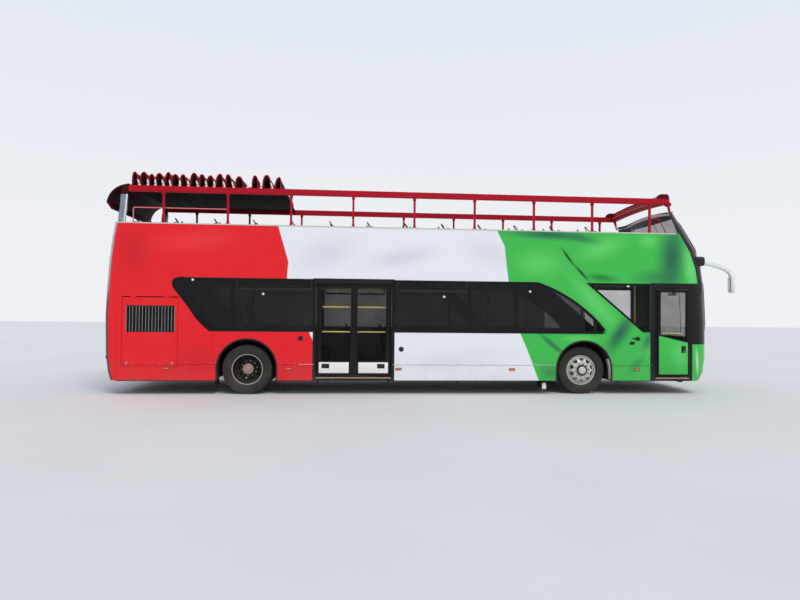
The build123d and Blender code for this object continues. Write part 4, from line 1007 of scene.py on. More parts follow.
class Workpiece:
    """A mesh under the tools, in row-frame metres."""

    def __init__(self, name: str, finish: str) -> None:
        """Start an empty piece.

        Args:
            name: name of the object that it will be.
            finish: finish of the whole piece.
        """
        self.name = name
        self.finish = finish
        self.built = bmesh.new()

    def block(
        self, low: Point, high: Point, round_edge: float = 0.004, segments: int = 2
    ) -> "Workpiece":
        """Add a block with rounded edges.

        Args:
            low: lowest corner.
            high: highest corner.
            round_edge: radius of its edges.
            segments: faces across each rounded edge.

        Returns:
            The piece.
        """
        centre = [(a + b) / 2 for a, b in zip(low, high)]
        size = [abs(b - a) for a, b in zip(low, high)]
        place = Matrix.Translation(centre) @ Matrix.Diagonal((*size, 1.0))
        made = bmesh.ops.create_cube(self.built, size=1.0, matrix=place)
        self._soften(made["verts"], round_edge, segments)
        return self

    def _soften(self, verts: Sequence[bmesh.types.BMVert], radius: float, segments: int) -> None:
        """Round the edges between some points.

        Args:
            verts: the points.
            radius: reach of the rounding.
            segments: steps of the rounding.
        """
        if radius <= 0:
            return
        chosen = set(verts)
        edges = [
            edge for edge in self.built.edges if edge.verts[0] in chosen and edge.verts[1] in chosen
        ]
        bmesh.ops.bevel(
            self.built, geom=edges, offset=radius, segments=segments, affect="EDGES", profile=0.5
        )

    def loft(
        self, rings: Sequence[Sequence[Point]], closed: bool = False, capped: bool = True
    ) -> "Workpiece":
        """Skin a run of rings that have the same number of points.

        Args:
            rings: the rings, in order.
            closed: join the last ring to the first.
            capped: close both ends.

        Returns:
            The piece.
        """
        rows = [[self.built.verts.new(point) for point in ring] for ring in rings]
        count = len(rows[0])
        pairs = list(zip(rows, rows[1:])) + ([(rows[-1], rows[0])] if closed else [])
        faces = []
        for first, second in pairs:
            for k in range(count):
                n = (k + 1) % count
                faces.append(self.built.faces.new((first[k], first[n], second[n], second[k])))
        if capped and not closed:
            faces.append(self.built.faces.new(rows[0][::-1]))
            faces.append(self.built.faces.new(rows[-1]))
        bmesh.ops.recalc_face_normals(self.built, faces=faces)
        return self

    def tube(
        self, path: Sequence[Point], radius: float, sides: int = 12, closed: bool = False
    ) -> "Workpiece":
        """Sweep a round bar along a path.

        Args:
            path: points of the path.
            radius: radius of the bar.
            sides: faces round it.
            closed: join the end to the start.

        Returns:
            The piece.
        """
        points = [Vector(point) for point in path]
        last = len(points) - 1
        normal: Optional[Vector] = None
        rings = []
        for k, here in enumerate(points):
            before = points[k - 1] if k or closed else here
            after = points[(k + 1) % len(points)] if k < last or closed else here
            along = (after - before).normalized()
            if normal is None:
                guide = Vector((0, 0, 1)) if abs(along.z) < 0.9 else Vector((1, 0, 0))
                normal = along.cross(guide).normalized()
            normal = (normal - along * normal.dot(along)).normalized()
            other = along.cross(normal)
            ring = [
                here + radius * (math.cos(t) * normal + math.sin(t) * other)
                for t in (2 * math.pi * n / sides for n in range(sides))
            ]
            rings.append([tuple(point) for point in ring])
        return self.loft(rings, closed=closed)

    def lathe(self, profile: Sequence[tuple[float, float]], centre: Point, axis: str = "Y",
              sides: int = 48,
              closed: bool = True) -> "Workpiece":
        """Turn a profile about an axis.

        Args:
            profile: place along the axis and radius of each point.
            centre: the point that the profile is measured from.
            axis: the axis it turns about, X, Y or Z.
            sides: faces round it.
            closed: the outline is closed; otherwise its ends lie on the axis and are capped.

        Returns:
            The piece.
        """
        order = {"X": (0, 1, 2), "Y": (1, 2, 0), "Z": (2, 0, 1)}[axis]
        rings = []
        for n in range(sides):
            turn = 2 * math.pi * n / sides
            ring = []
            for along, radius in profile:
                point = [0.0, 0.0, 0.0]
                point[order[0]] = centre[order[0]] + along
                point[order[1]] = centre[order[1]] + radius * math.cos(turn)
                point[order[2]] = centre[order[2]] + radius * math.sin(turn)
                ring.append(tuple(point))
            rings.append(ring)
        rows = [[self.built.verts.new(point) for point in ring] for ring in rings]
        faces = []
        span = len(profile) if closed else len(profile) - 1
        for first, second in zip(rows, rows[1:] + rows[:1]):
            for k in range(span):
                n = (k + 1) % len(profile)
                faces.append(self.built.faces.new((first[k], first[n], second[n], second[k])))
        if not closed:
            faces.append(self.built.faces.new([row[0] for row in rows]))
            faces.append(self.built.faces.new([row[-1] for row in rows]))
        bmesh.ops.recalc_face_normals(self.built, faces=faces)
        return self

    def plate(
        self, outline: Sequence[Point], thickness: Point, round_edge: float = 0.0
    ) -> "Workpiece":
        """Thicken a flat outline.

        Args:
            outline: its corners, in order.
            thickness: the offset from this face to the other.
            round_edge: radius of its edges.

        Returns:
            The piece.
        """
        moved = Vector(thickness)
        near = [self.built.verts.new(point) for point in outline]
        far = [self.built.verts.new(Vector(point) + moved) for point in outline]
        faces = [self.built.faces.new(near), self.built.faces.new(far[::-1])]
        for k in range(len(near)):
            n = (k + 1) % len(near)
            faces.append(self.built.faces.new((near[k], near[n], far[n], far[k])))
        bmesh.ops.recalc_face_normals(self.built, faces=faces)
        self._soften(near + far, round_edge, 2)
        return self

    def make(self, box: Paintbox, smooth: float = 35.0) -> bpy.types.Object:
        """Turn the piece into an object with its finish.

        Args:
            box: the paintbox.
            smooth: edges sharper than this many degrees stay sharp.

        Returns:
            The object, at the origin.
        """
        mesh = bpy.data.meshes.new(self.name)
        self.built.to_mesh(mesh)
        self.built.free()
        mesh.materials.append(box.get(self.finish))
        mesh.shade_smooth()
        mesh.set_sharp_from_angle(angle=math.radians(smooth))
        obj = bpy.data.objects.new(self.name, mesh)
        bpy.context.scene.collection.objects.link(obj)
        return obj


# Geometry node trees


class PatternTree:
    """A Geometry Nodes tree that repeats or sweeps something, with named inputs."""

    def __init__(self, name: str, inputs: Sequence[tuple[str, str]],
                 fill: Callable[[NodeSheet, bpy.types.Node], Socket]) -> None:
        """Build the tree.

        Args:
            name: name of the tree.
            inputs: name and socket kind of each input after the geometry.
            fill: adds the nodes and returns the geometry to be finished.
        """
        self.tree = bpy.data.node_groups.new(name, "GeometryNodeTree")
        face = self.tree.interface
        face.new_socket("Geometry", in_out="INPUT", socket_type="NodeSocketGeometry")
        self.keys = {}
        for label, kind in inputs:
            self.keys[label] = face.new_socket(label, in_out="INPUT", socket_type=kind).identifier
        self.keys["Finish"] = face.new_socket(
            "Finish", in_out="INPUT", socket_type="NodeSocketMaterial"
        ).identifier
        face.new_socket("Geometry", in_out="OUTPUT", socket_type="NodeSocketGeometry")
        sheet = NodeSheet(self.tree)
        source = sheet.add("NodeGroupInput")
        real = sheet.add("GeometryNodeRealizeInstances", {0: fill(sheet, source)})
        coat = sheet.add(
            "GeometryNodeSetMaterial",
            {"Geometry": real.outputs[0], "Material": source.outputs["Finish"]}
        )
        sheet.add("NodeGroupOutput", {0: coat.outputs[0]})

    def apply(
        self, name: str, guide: bpy.types.Mesh, values: dict[str, object], smooth: float = 35.0
    ) -> bpy.types.Object:
        """Run the tree on a guide mesh and keep the plain result.

        Args:
            name: name of the finished object.
            guide: points or lines that the tree works along.
            values: input name to value.
            smooth: edges sharper than this many degrees stay sharp.

        Returns:
            The finished object, at the origin.
        """
        holder = bpy.data.objects.new(name + "_guide", guide)
        bpy.context.scene.collection.objects.link(holder)
        modifier = holder.modifiers.new("pattern", "NODES")
        modifier.node_group = self.tree
        for label, value in values.items():
            modifier[self.keys[label]] = value
        graph = bpy.context.evaluated_depsgraph_get()
        mesh = bpy.data.meshes.new_from_object(holder.evaluated_get(graph), depsgraph=graph)
        holder.modifiers.clear()
        bpy.data.objects.remove(holder)
        bpy.data.meshes.remove(guide)
        mesh.name = name
        mesh.shade_smooth()
        mesh.set_sharp_from_angle(angle=math.radians(smooth))
        obj = bpy.data.objects.new(name, mesh)
        bpy.context.scene.collection.objects.link(obj)
        return obj


def points_mesh(
    name: str, places: Sequence[Point], turns: Optional[Sequence[Point]] = None
) -> bpy.types.Mesh:
    """Guide mesh of loose points, each with the turn of the item that stands on it.

    Args:
        name: name of the mesh.
        places: the points.
        turns: Euler angles in radians for each point.

    Returns:
        The mesh.
    """
    mesh = bpy.data.meshes.new(name)
    mesh.from_pydata([tuple(place) for place in places], [], [])
    angles = mesh.attributes.new("turn", "FLOAT_VECTOR", "POINT")
    for k, _ in enumerate(places):
        angles.data[k].vector = turns[k] if turns else (0.0, 0.0, 0.0)
    return mesh


def lines_mesh(name: str, lines: Sequence[Sequence[Point]], closed: bool = False) -> bpy.types.Mesh:
    """Guide mesh of open or closed lines.

    Args:
        name: name of the mesh.
        lines: the points of each line.
        closed: join each line's end to its start.

    Returns:
        The mesh.
    """
    points: list[Point] = []
    edges: list[tuple[int, int]] = []
    for line in lines:
        start = len(points)
        points.extend(tuple(point) for point in line)
        edges.extend((start + k, start + k + 1) for k in range(len(line) - 1))
        if closed:
            edges.append((len(points) - 1, start))
    mesh = bpy.data.meshes.new(name)
    mesh.from_pydata(points, edges, [])
    return mesh


class Patterns:
    """The Geometry Nodes trees that the sub-assemblies share."""

    def __init__(self) -> None:
        """Build every tree."""
        self.repeat = PatternTree(
            "repeat_on_points",
            [("Item", "NodeSocketObject"), ("Scale", "NodeSocketFloat")],
            self._fill_repeat,
        )
        self.bead = PatternTree(
            "bead_along_lines",
            [
                ("Width", "NodeSocketFloat"), ("Depth", "NodeSocketFloat"),
                ("Smoothing", "NodeSocketFloat")
            ],
            self._fill_bead,
        )
        self.pipe = PatternTree(
            "pipe_along_lines",
            [("Radius", "NodeSocketFloat"), ("Bend", "NodeSocketFloat")],
            self._fill_pipe,
        )

    @staticmethod
    def _fill_repeat(sheet: NodeSheet, source: bpy.types.Node) -> Socket:
        """Stand the item on every point, turned as the point says.

        Args:
            sheet: the group's nodes.
            source: the node that carries the group's inputs.

        Returns:
            The geometry that the group puts out.
        """
        item = sheet.add(
            "GeometryNodeObjectInfo", {"Object": source.outputs["Item"]}, transform_space="ORIGINAL"
        )
        turn = sheet.add(
            "GeometryNodeInputNamedAttribute", {"Name": "turn"}, data_type="FLOAT_VECTOR"
        )
        spin = sheet.add("FunctionNodeEulerToRotation", {0: turn.outputs[0]})
        placed = sheet.add(
            "GeometryNodeInstanceOnPoints",
            {"Points": source.outputs["Geometry"], "Instance": item.outputs["Geometry"],
             "Rotation": spin.outputs[0], "Scale": source.outputs["Scale"]},
        )
        return placed.outputs[0]

    @staticmethod
    def _fill_bead(sheet: NodeSheet, source: bpy.types.Node) -> Socket:
        """Sweep a rectangular strip along the lines, flat against the wall they run on.

        Args:
            sheet: the group's nodes.
            source: the node that carries the group's inputs.

        Returns:
            The geometry that the group puts out.
        """
        curve = sheet.add("GeometryNodeMeshToCurve", {0: source.outputs["Geometry"]})
        upright = sheet.add("GeometryNodeSetCurveNormal", {0: curve.outputs[0]}, mode="Z_UP")
        strip = sheet.add(
            "GeometryNodeCurvePrimitiveQuadrilateral",
            {"Width": source.outputs["Width"], "Height": source.outputs["Depth"]},
        )
        round_off = sheet.add(
            "GeometryNodeFilletCurve",
            {"Curve": strip.outputs[0], "Radius": source.outputs["Smoothing"], "Count": 2},
            mode="POLY",
        )
        swept = sheet.add(
            "GeometryNodeCurveToMesh",
            {"Curve": upright.outputs[0], "Profile Curve": round_off.outputs[0], "Fill Caps": True},
        )
        return swept.outputs[0]

    @staticmethod
    def _fill_pipe(sheet: NodeSheet, source: bpy.types.Node) -> Socket:
        """Sweep a round pipe along the lines, with rounded bends.

        Args:
            sheet: the group's nodes.
            source: the node that carries the group's inputs.

        Returns:
            The geometry that the group puts out.
        """
        curve = sheet.add("GeometryNodeMeshToCurve", {0: source.outputs["Geometry"]})
        bent = sheet.add(
            "GeometryNodeFilletCurve",
            {
                "Curve": curve.outputs[0], "Radius": source.outputs["Bend"], "Count": 5,
                "Limit Radius": True
            },
            mode="POLY",
        )
        ring = sheet.add(
            "GeometryNodeCurvePrimitiveCircle",
            {"Resolution": 10, "Radius": source.outputs["Radius"]}
        )
        swept = sheet.add(
            "GeometryNodeCurveToMesh",
            {"Curve": bent.outputs[0], "Profile Curve": ring.outputs[0], "Fill Caps": True},
        )
        return swept.outputs[0]


@dataclass
class Workshop:
    """What every sub-assembly works with."""

    box: Paintbox
    patterns: Patterns

    def repeat(self, name: str, item: Workpiece, places: Sequence[Point], body: str, slot: str,
               turns: Optional[Sequence[Point]] = None, scale: float = 1.0) -> bpy.types.Object:
        """Stand one small item on many points.

        Args:
            name: name of the finished piece.
            item: the small item, built about the origin.
            places: where it stands.
            body: body that carries it.
            slot: not used.
            turns: Euler angles for each place.
            scale: size of the item.

        Returns:
            The finished piece.
        """
        finish = self.box.get(item.finish)
        model = item.make(self.box)
        obj = self.patterns.repeat.apply(
            name, points_mesh(name, places, turns),
            {"Item": model, "Scale": scale, "Finish": finish}
        )
        mesh = model.data
        bpy.data.objects.remove(model)
        bpy.data.meshes.remove(mesh)
        return dress(obj, body)

    def bead(self, name: str, lines: Sequence[Sequence[Point]], width: float, depth: float,
             finish: str,
             body: str, slot: str, closed: bool = False,
             smoothing: float = 0.001) -> bpy.types.Object:
        """Run a strip of trim along lines.

        Args:
            name: name of the finished piece.
            lines: the points of each line.
            width: thickness of the strip, square to the wall.
            depth: height of the strip on the wall.
            finish: its finish.
            body: body that carries it.
            slot: not used.
            closed: the lines are closed.
            smoothing: radius of the strip's corners.

        Returns:
            The finished piece.
        """
        values = {
            "Width": width, "Depth": depth, "Smoothing": smoothing, "Finish": self.box.get(finish)
        }
        obj = self.patterns.bead.apply(name, lines_mesh(name, lines, closed), values)
        return dress(obj, body)

    def pipe(self, name: str, lines: Sequence[Sequence[Point]], radius: float, finish: str,
             body: str,
             slot: str, bend: float = 0.03, closed: bool = False) -> bpy.types.Object:
        """Bend pipes along lines.

        Args:
            name: name of the finished piece.
            lines: the corner points of each pipe.
            radius: radius of the pipe.
            finish: its finish.
            body: body that carries it.
            slot: not used.
            bend: radius of its bends.
            closed: the lines are closed.

        Returns:
            The finished piece.
        """
        values = {"Radius": radius, "Bend": bend, "Finish": self.box.get(finish)}
        obj = self.patterns.pipe.apply(name, lines_mesh(name, lines, closed), values)
        return dress(obj, body)


# The carried-over CAD nodes


NODE_FINISH = {
    "underframe": "chassis_black",
    "lower_floor": "deck_floor",
    "rear_platform": "deck_floor",
    "wheel_housings": "chassis_black",
    "right_side": "kerb_paint",
    "left_side": "coach_paint",
    "upper_sides": "end_paint",
    "front_mask": "nose_paint",
    "rear_panel": "tail_paint",
    "windscreens": "screen_glass",
    "side_glass": "tinted_glass",
    "upper_floor": "deck_floor",
    "stairs": "deck_floor",
    "stairwell_guard": "rail_crimson",
    "cab_partition": "black_plastic",
    "top_rails": "rail_crimson",
    "rear_hood": "hood_maroon",
    "folded_canvas": "roof_cloth",
    "upper_seats": "seat_shell",
    "lower_seats": "saloon_shell",
    "driver_seat": "seat_cloth",
    "dashboard": "black_plastic",
    "handrails": "handrail_yellow",
    "mirrors": "gloss_white",
    "headlamps": "lens_clear",
    "tail_lamps": "lens_red",
    "engine": "cast_iron",
    "front_axle": "chassis_black",
    "rear_axle": "cast_iron",
    "steering_wheel": "black_plastic",
    "front_left_knuckle": "cast_iron",
    "front_right_knuckle": "cast_iron",
    "track_rod": "chassis_black",
    "front_door": "frame_black",
    "front_door_glass": "door_glass",
    "front_door_arm": "frame_black",
    "mid_door_rear": "frame_black",
    "mid_door_rear_glass": "door_glass",
    "mid_door_rear_arm": "frame_black",
    "mid_door_front": "frame_black",
    "mid_door_front_glass": "door_glass",
    "mid_door_front_arm": "frame_black",
    "engine_lid": "tail_paint",
    "engine_flap": "flap_paint",
}


def finish_of(node: str) -> str:
    """Finish of a CAD node.

    Args:
        node: the node's name.

    Returns:
        The finish's name.
    """
    if "tyre" in node:
        return "tyre_rubber"
    if "rim" in node:
        return "rim_dark" if "rear" in node else "rim_silver"
    return NODE_FINISH[node]


def paint_nodes(nodes: dict[str, bpy.types.Object], box: Paintbox) -> None:
    """Give every CAD node its procedural finish.

    Args:
        nodes: node name to object.
        box: the paintbox.
    """
    for name, obj in sorted(nodes.items()):
        material = box.get(finish_of(name))
        if not obj.material_slots:
            obj.data.materials.append(material)
        for place in obj.material_slots:
            place.material = material
        log.info("%s is finished in %s", name, material.name)


# Studio


@dataclass
class Studio:
    """Camera at the photograph's place, pale floor and soft light."""

    eye: Point = (-1.594, -13.067, 1.641)
    right: Point = (0.99670131, -0.08051588, 0.0101832)
    forward: Point = (0.08032258, 0.99660371, 0.01814733)
    lens: float = 27.08
    sun_strength: float = 1.42
    sun_spread: float = 0.55
    sky: float = 0.8
    floor_half: float = 60.0

    def build(self) -> None:
        """Place the camera, the floor, the sun and the world."""
        self._camera()
        self._floor()
        self._sun()
        self._world()
        bpy.context.scene.view_settings.view_transform = "Standard"

    def _camera(self) -> None:
        """Camera that looks as the photograph's does."""
        across, ahead = Vector(self.right), Vector(self.forward)
        up = across.cross(ahead)
        turn = Matrix((across, up, -ahead)).transposed().to_4x4()
        data = bpy.data.cameras.new("camera")
        data.lens = self.lens
        data.sensor_width = 36.0
        data.clip_end = CAMERA_REACH
        camera = bpy.data.objects.new("camera", data)
        camera.matrix_world = Matrix.Translation(self.eye) @ turn
        bpy.context.scene.collection.objects.link(camera)
        bpy.context.scene.camera = camera

    def _floor(self) -> None:
        """Pale floor with a faint grain, fading into the backdrop."""
        material, sheet, shader = blank_material("studio_floor")
        vector, _, _, _ = sheet.place()
        cloud = sheet.noise(vector, 0.35, 4.0)
        fine = sheet.noise(vector, 60.0, 2.0)
        tone = sheet.math(
            "ADD", sheet.math("MULTIPLY", cloud, 0.7), sheet.math("MULTIPLY", fine, 0.3)
        )
        colour = sheet.blend(tone, rgb(206, 206, 208), rgb(226, 226, 226))
        sheet.tree.links.new(colour, shader.inputs["Base Color"])
        shader.inputs["Roughness"].default_value = 0.9
        mesh = bpy.data.meshes.new("floor")
        half = self.floor_half
        mesh.from_pydata(
            [(-half, -half, 0), (half, -half, 0), (half, half, 0), (-half, half, 0)], [],
            [(0, 1, 2, 3)]
        )
        mesh.materials.append(material)
        floor = bpy.data.objects.new("floor", mesh)
        bpy.context.scene.collection.objects.link(floor)

    def _sun(self) -> None:
        """High broad sun behind the camera, a little to its right."""
        data = bpy.data.lights.new("sun", "SUN")
        data.energy = self.sun_strength
        data.angle = self.sun_spread
        light = bpy.data.objects.new("sun", data)
        light.rotation_euler = Vector((-0.28, 0.62, -0.92)).to_track_quat("-Z", "Y").to_euler()
        bpy.context.scene.collection.objects.link(light)

    def _world(self) -> None:
        """Even soft light, with a paler backdrop for the camera and in reflections."""
        world = bpy.data.worlds.new("studio")
        world.use_nodes = True
        world.node_tree.nodes.clear()
        sheet = NodeSheet(world.node_tree)
        path = sheet.add("ShaderNodeLightPath")
        seen = sheet.math(
            "MAXIMUM", path.outputs["Is Camera Ray"], path.outputs["Is Transmission Ray"]
        )
        seen = sheet.math("MAXIMUM", seen, path.outputs["Is Glossy Ray"])
        strength = sheet.spread(seen, 0.0, 1.0, self.sky, 1.0, soft=False)
        coords = sheet.add("ShaderNodeTexCoord")
        split = sheet.add("ShaderNodeSeparateXYZ", {0: coords.outputs["Generated"]})
        rise = sheet.spread(split.outputs[2], 0.0, 0.5)
        colour = sheet.blend(rise, rgb(240, 241, 244), rgb(226, 232, 242))
        back = sheet.add("ShaderNodeBackground", {"Color": colour, "Strength": strength})
        sheet.add("ShaderNodeOutputWorld", {"Surface": back.outputs[0]})
        bpy.context.scene.world = world


# Sub-assemblies


def ring_at(rings: Sequence[tuple[float, float, float]], height: float) -> tuple[float, float]:
    """Setbacks of the tail and the nose at a height.

    Args:
        rings: height, tail setback and nose setback, rising.
        height: where they are wanted.

    Returns:
        Tail setback and nose setback.
    """
    for low, high in zip(rings, rings[1:]):
        if height <= high[0]:
            part = (height - low[0]) / (high[0] - low[0])
            return low[1] + part * (high[1] - low[1]), low[2] + part * (high[2] - low[2])
    return rings[-1][1], rings[-1][2]


BODY_RINGS = (
    (0.27, 0.11, 0.13), (0.44, 0.06, 0.04), (0.74, 0.02, 0.0), (1.5, 0.0, 0.0), (2.26, 0.03, 0.04),
    (2.637, 0.06, 0.09), (2.984, 0.10, 0.22), (3.28, 0.15, 0.41), (3.82, 0.19, 0.755),
)


def corner(
    centre: tuple[float, float], radius: float, start: float, end: float, steps: int
) -> list[tuple[float, float]]:
    """Points along an arc in plan.

    Args:
        centre: X and Y of its centre.
        radius: its radius.
        start: first angle in degrees.
        end: last angle in degrees.
        steps: spaces between the points.

    Returns:
        The points.
    """
    angles = [math.radians(start + (end - start) * k / steps) for k in range(steps + 1)]
    return [(centre[0] + radius * math.cos(a), centre[1] + radius * math.sin(a)) for a in angles]


def body_outline(height: float, proud: float = 0.0, steps: int = 8) -> list[Point]:
    """Plan outline of the body's skin at a height, anticlockwise from the rear right corner.

    Args:
        height: height above the ground.
        proud: how far outside the skin it runs.
        steps: spaces along each corner.

    Returns:
        Points of the closed outline.
    """
    tail_in, nose_in = ring_at(BODY_RINGS, height)
    side = HALF_W + proud
    back = TAIL_X + tail_in - proud
    front = NOSE_X - nose_in + proud
    tail_r, nose_r, bow = 0.2 + proud, 0.4 + proud, 0.07
    # Circle of the bowed front through both ends and the middle
    big = (side * side + bow * bow) / (2 * bow)
    centre_x = front - big
    inner = big - nose_r
    corner_y = side - nose_r
    corner_x = centre_x + math.sqrt(inner * inner - corner_y * corner_y)
    lean = math.degrees(math.atan2(corner_y, corner_x - centre_x))
    points = corner((back + tail_r, -side + tail_r), tail_r, 180, 270, steps)
    points += corner((corner_x, -corner_y), nose_r, 270, 360 - lean, steps)
    points += corner((centre_x, 0.0), big, -lean, lean, 2 * steps)[1:-1]
    points += corner((corner_x, corner_y), nose_r, lean, 90, steps)
    points += corner((back + tail_r, side - tail_r), tail_r, 90, 180, steps)
    return [(x, y, height) for x, y in points]


@dataclass
class CanvasRoof:
    """Canvas roof folded back in pleats over the last seats."""

    low_z: float = 4.0
    high_z: float = 4.255
    half_w: float = 1.222
    thickness: float = 0.003
    loop_w: float = 0.126
    stations: Sequence[float] = (
        -5.740, -5.585, -5.436, -5.290, -5.155, -4.998, -4.842, -4.652,
        -4.487, -4.350, -4.176, -3.985, -3.792, -3.488, -3.264, -3.055,
    )
    across: int = 36

    def build(self, shop: Workshop) -> None:
        """Make the cloth, its hems, its lining, the bows that carry it and its straps; the lining
        and the cloth's lower side are near-black, a painted shade under the folded roof.

        Args:
            shop: finishes and patterns.
        """
        # The cloth's lower side takes the near-black lining finish, a painted shade.
        cloth, flat = self._cloth(
            shop.box, "canvas_roof", self._section, self.half_w, ("roof_cloth", "roof_lining")
        )
        dress(cloth, "bus_body")
        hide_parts("folded_canvas")
        hems = self._hems(shop)
        # The lining is a near-black sheet under the pleats: painted shade.
        lining, flat = self._cloth(
            shop.box, "canvas_lining", self._lining_line, 1.205, ("roof_lining", "roof_lining")
        )
        dress(lining, "bus_body")
        self._bows(shop)
        self._straps(shop)

    @property
    def middles(self) -> list[float]:
        """X of the bows, one between every two loops."""
        return [(a + b) / 2 for a, b in zip(self.stations, self.stations[1:])]

    def _lining_line(self, share: float) -> list[tuple[float, float]]:
        """X and Z of the lining's line at one place across the bus.

        Args:
            share: place across, from -1 on the right to 1 on the left.

        Returns:
            The line's points from tail to nose.
        """
        marks = [-5.80, *self.middles, -2.93]
        line = []
        for k, (low, high) in enumerate(zip(marks, marks[1:])):
            sag = 0.020 * (1 + 0.4 * math.sin(3.1 * k + share)) * (1 - 0.55 * share * share)
            line += [
                (low + (high - low) * n / 5, 3.967 - sag * math.sin(math.pi * n / 5))
                for n in range(5)
            ]
        return line + [(marks[-1], 3.967)]

    def _section(self, share: float) -> list[tuple[float, float]]:
        """X and Z of the cloth's line at one place across the bus.

        Args:
            share: place across, from -1 on the right to 1 on the left.

        Returns:
            The line's points from tail to nose.
        """
        slack = 1.0 - share * share
        line = [(self.stations[0] - 0.075, self.low_z + 0.002)]
        for k, centre in enumerate(self.stations):
            lean = 0.016 * math.sin(2.3 * k + 1.7 * share) + 0.012 * math.sin(5.1 * k)
            rise = (self.high_z - self.low_z) * (
                0.90 + 0.09 * math.sin(1.9 * k + 0.6) - 0.10 * slack
            )
            wide = self.loop_w * (1.0 + 0.16 * math.sin(2.9 * k + share) + 0.18 * slack)
            for n in range(13):
                angle = math.pi * n / 12
                bulge = 1.06 - 0.20 * math.sin(angle) ** 2
                reach = math.copysign(abs(math.cos(angle)) ** 0.82, math.cos(angle))
                x = centre - 0.5 * wide * reach * bulge + lean * math.sin(angle)
                z = self.low_z + 0.004 + rise * math.sin(angle) ** 0.7
                line.append((x, z))
            if k + 1 < len(self.stations):
                middle = (centre + self.stations[k + 1]) / 2
                line.append((middle, self.low_z + 0.002 - 0.05 * slack * 0.3))
        line.append((self.stations[-1] + 0.10, self.low_z + 0.002))
        return line

    def _cloth(
        self, box: Paintbox, name: str, section: Callable[[float], list[tuple[float, float]]],
        half_w: float, faces: tuple[str, str],
    ) -> tuple[bpy.types.Object, tuple[float, float]]:
        """Make a sheet with a UV map in metres of cloth.

        Args:
            box: finishes.
            name: name of the piece.
            section: the sheet's line at a place across, from -1 to 1.
            half_w: half its width.
            faces: finish of its upper and its lower side.

        Returns:
            The cloth and its flat width and length.
        """
        built = bmesh.new()
        lay = built.loops.layers.uv.new("cloth")
        rows = []
        length = 0.0
        for step in range(self.across + 1):
            share = -1 + 2 * step / self.across
            line = section(share)
            run, marks = 0.0, [0.0]
            for (x0, z0), (x1, z1) in zip(line, line[1:]):
                run += math.hypot(x1 - x0, z1 - z0)
                marks.append(run)
            length += run
            y = share * half_w
            rows.append(
                [(built.verts.new((x, y, z)), y, mark) for (x, z), mark in zip(line, marks)]
            )
        for first, second in zip(rows, rows[1:]):
            for k in range(len(first) - 1):
                corners = (first[k], first[k + 1], second[k + 1], second[k])
                face = built.faces.new([item[0] for item in corners])
                for loop, item in zip(face.loops, corners):
                    loop[lay].uv = (item[1], item[2])
        bmesh.ops.reverse_faces(built, faces=built.faces)
        mesh = bpy.data.meshes.new(name)
        built.to_mesh(mesh)
        built.free()
        for finish in faces:
            mesh.materials.append(box.get(finish))
        mesh.shade_smooth()
        cloth = bpy.data.objects.new(name, mesh)
        bpy.context.scene.collection.objects.link(cloth)
        wall = cloth.modifiers.new("wall", "SOLIDIFY")
        wall.thickness = self.thickness
        wall.offset = 0.0
        wall.material_offset = 1
        flat = (2 * half_w, length / (self.across + 1))
        log.info("%s is %.2f by %.2f m flat", name, *flat)
        return cloth, flat

    def _hems(self, shop: Workshop) -> bpy.types.Object:
        """Crimson welt along both side edges of the cloth.

        Args:
            shop: finishes and patterns.

        Returns:
            The welt.
        """
        lines = []
        for share in (-1.0, 1.0):
            y = share * (self.half_w - 0.004)
            lines.append([(x, y, z + 0.002) for x, z in self._section(share)])
        return shop.pipe(
            "canvas_welts", lines, 0.0115, "rail_crimson", "bus_body", "canvas", bend=0.004
        )

    def _bows(self, shop: Workshop) -> None:
        """Crimson bows between the loops, and the slides that run on the rails.

        Args:
            shop: finishes and patterns.
        """
        bows = []
        for x in self.middles:
            bows.append(
                [(x, -1.215, 4.005), (x, -1.15, 3.985), (x, 1.15, 3.985), (x, 1.215, 4.005)]
            )
        shop.pipe("roof_bows", bows, 0.011, "rail_crimson", "bus_body", "rail_red", bend=0.05)
        slide = Workpiece("slide", "rail_crimson")
        slide.block((-0.028, -0.02, -0.012), (0.028, 0.02, 0.03), 0.006)
        slide.lathe(
            [(-0.024, 0.0), (-0.024, 0.013), (0.024, 0.013), (0.024, 0.0)], (0, 0, 0.028), "Y", 12,
            closed=False
        )
        places = [(x, side * 1.236, 4.0) for x in self.middles for side in (-1, 1)]
        shop.repeat("roof_slides", slide, places, "bus_body", "rail_red")

    def _straps(self, shop: Workshop) -> None:
        """Short pale straps that tie the cloth down in the valleys at both edges.

        Args:
            shop: finishes and patterns.
        """
        strap = Workpiece("strap", "plate_white")
        strap.plate(
            [
                (-0.019, 0, 0.0), (0.019, 0, 0.0), (0.020, 0, 0.060), (0.012, 0, 0.118),
                (-0.006, 0, 0.122), (-0.013, 0, 0.060)
            ],
            (0, 0.003, 0)
        )
        places, turns = [], []
        for k, x in enumerate(self.middles):
            for side in (-1, 1):
                places.append((x + 0.012 + 0.008 * math.sin(2.7 * k), side * 1.258, 3.990))
                turns.append((0.0, -0.20 + 0.16 * math.sin(1.7 * k + side), 0.0))
        shop.repeat("roof_straps", strap, places, "bus_body", "canvas", turns)


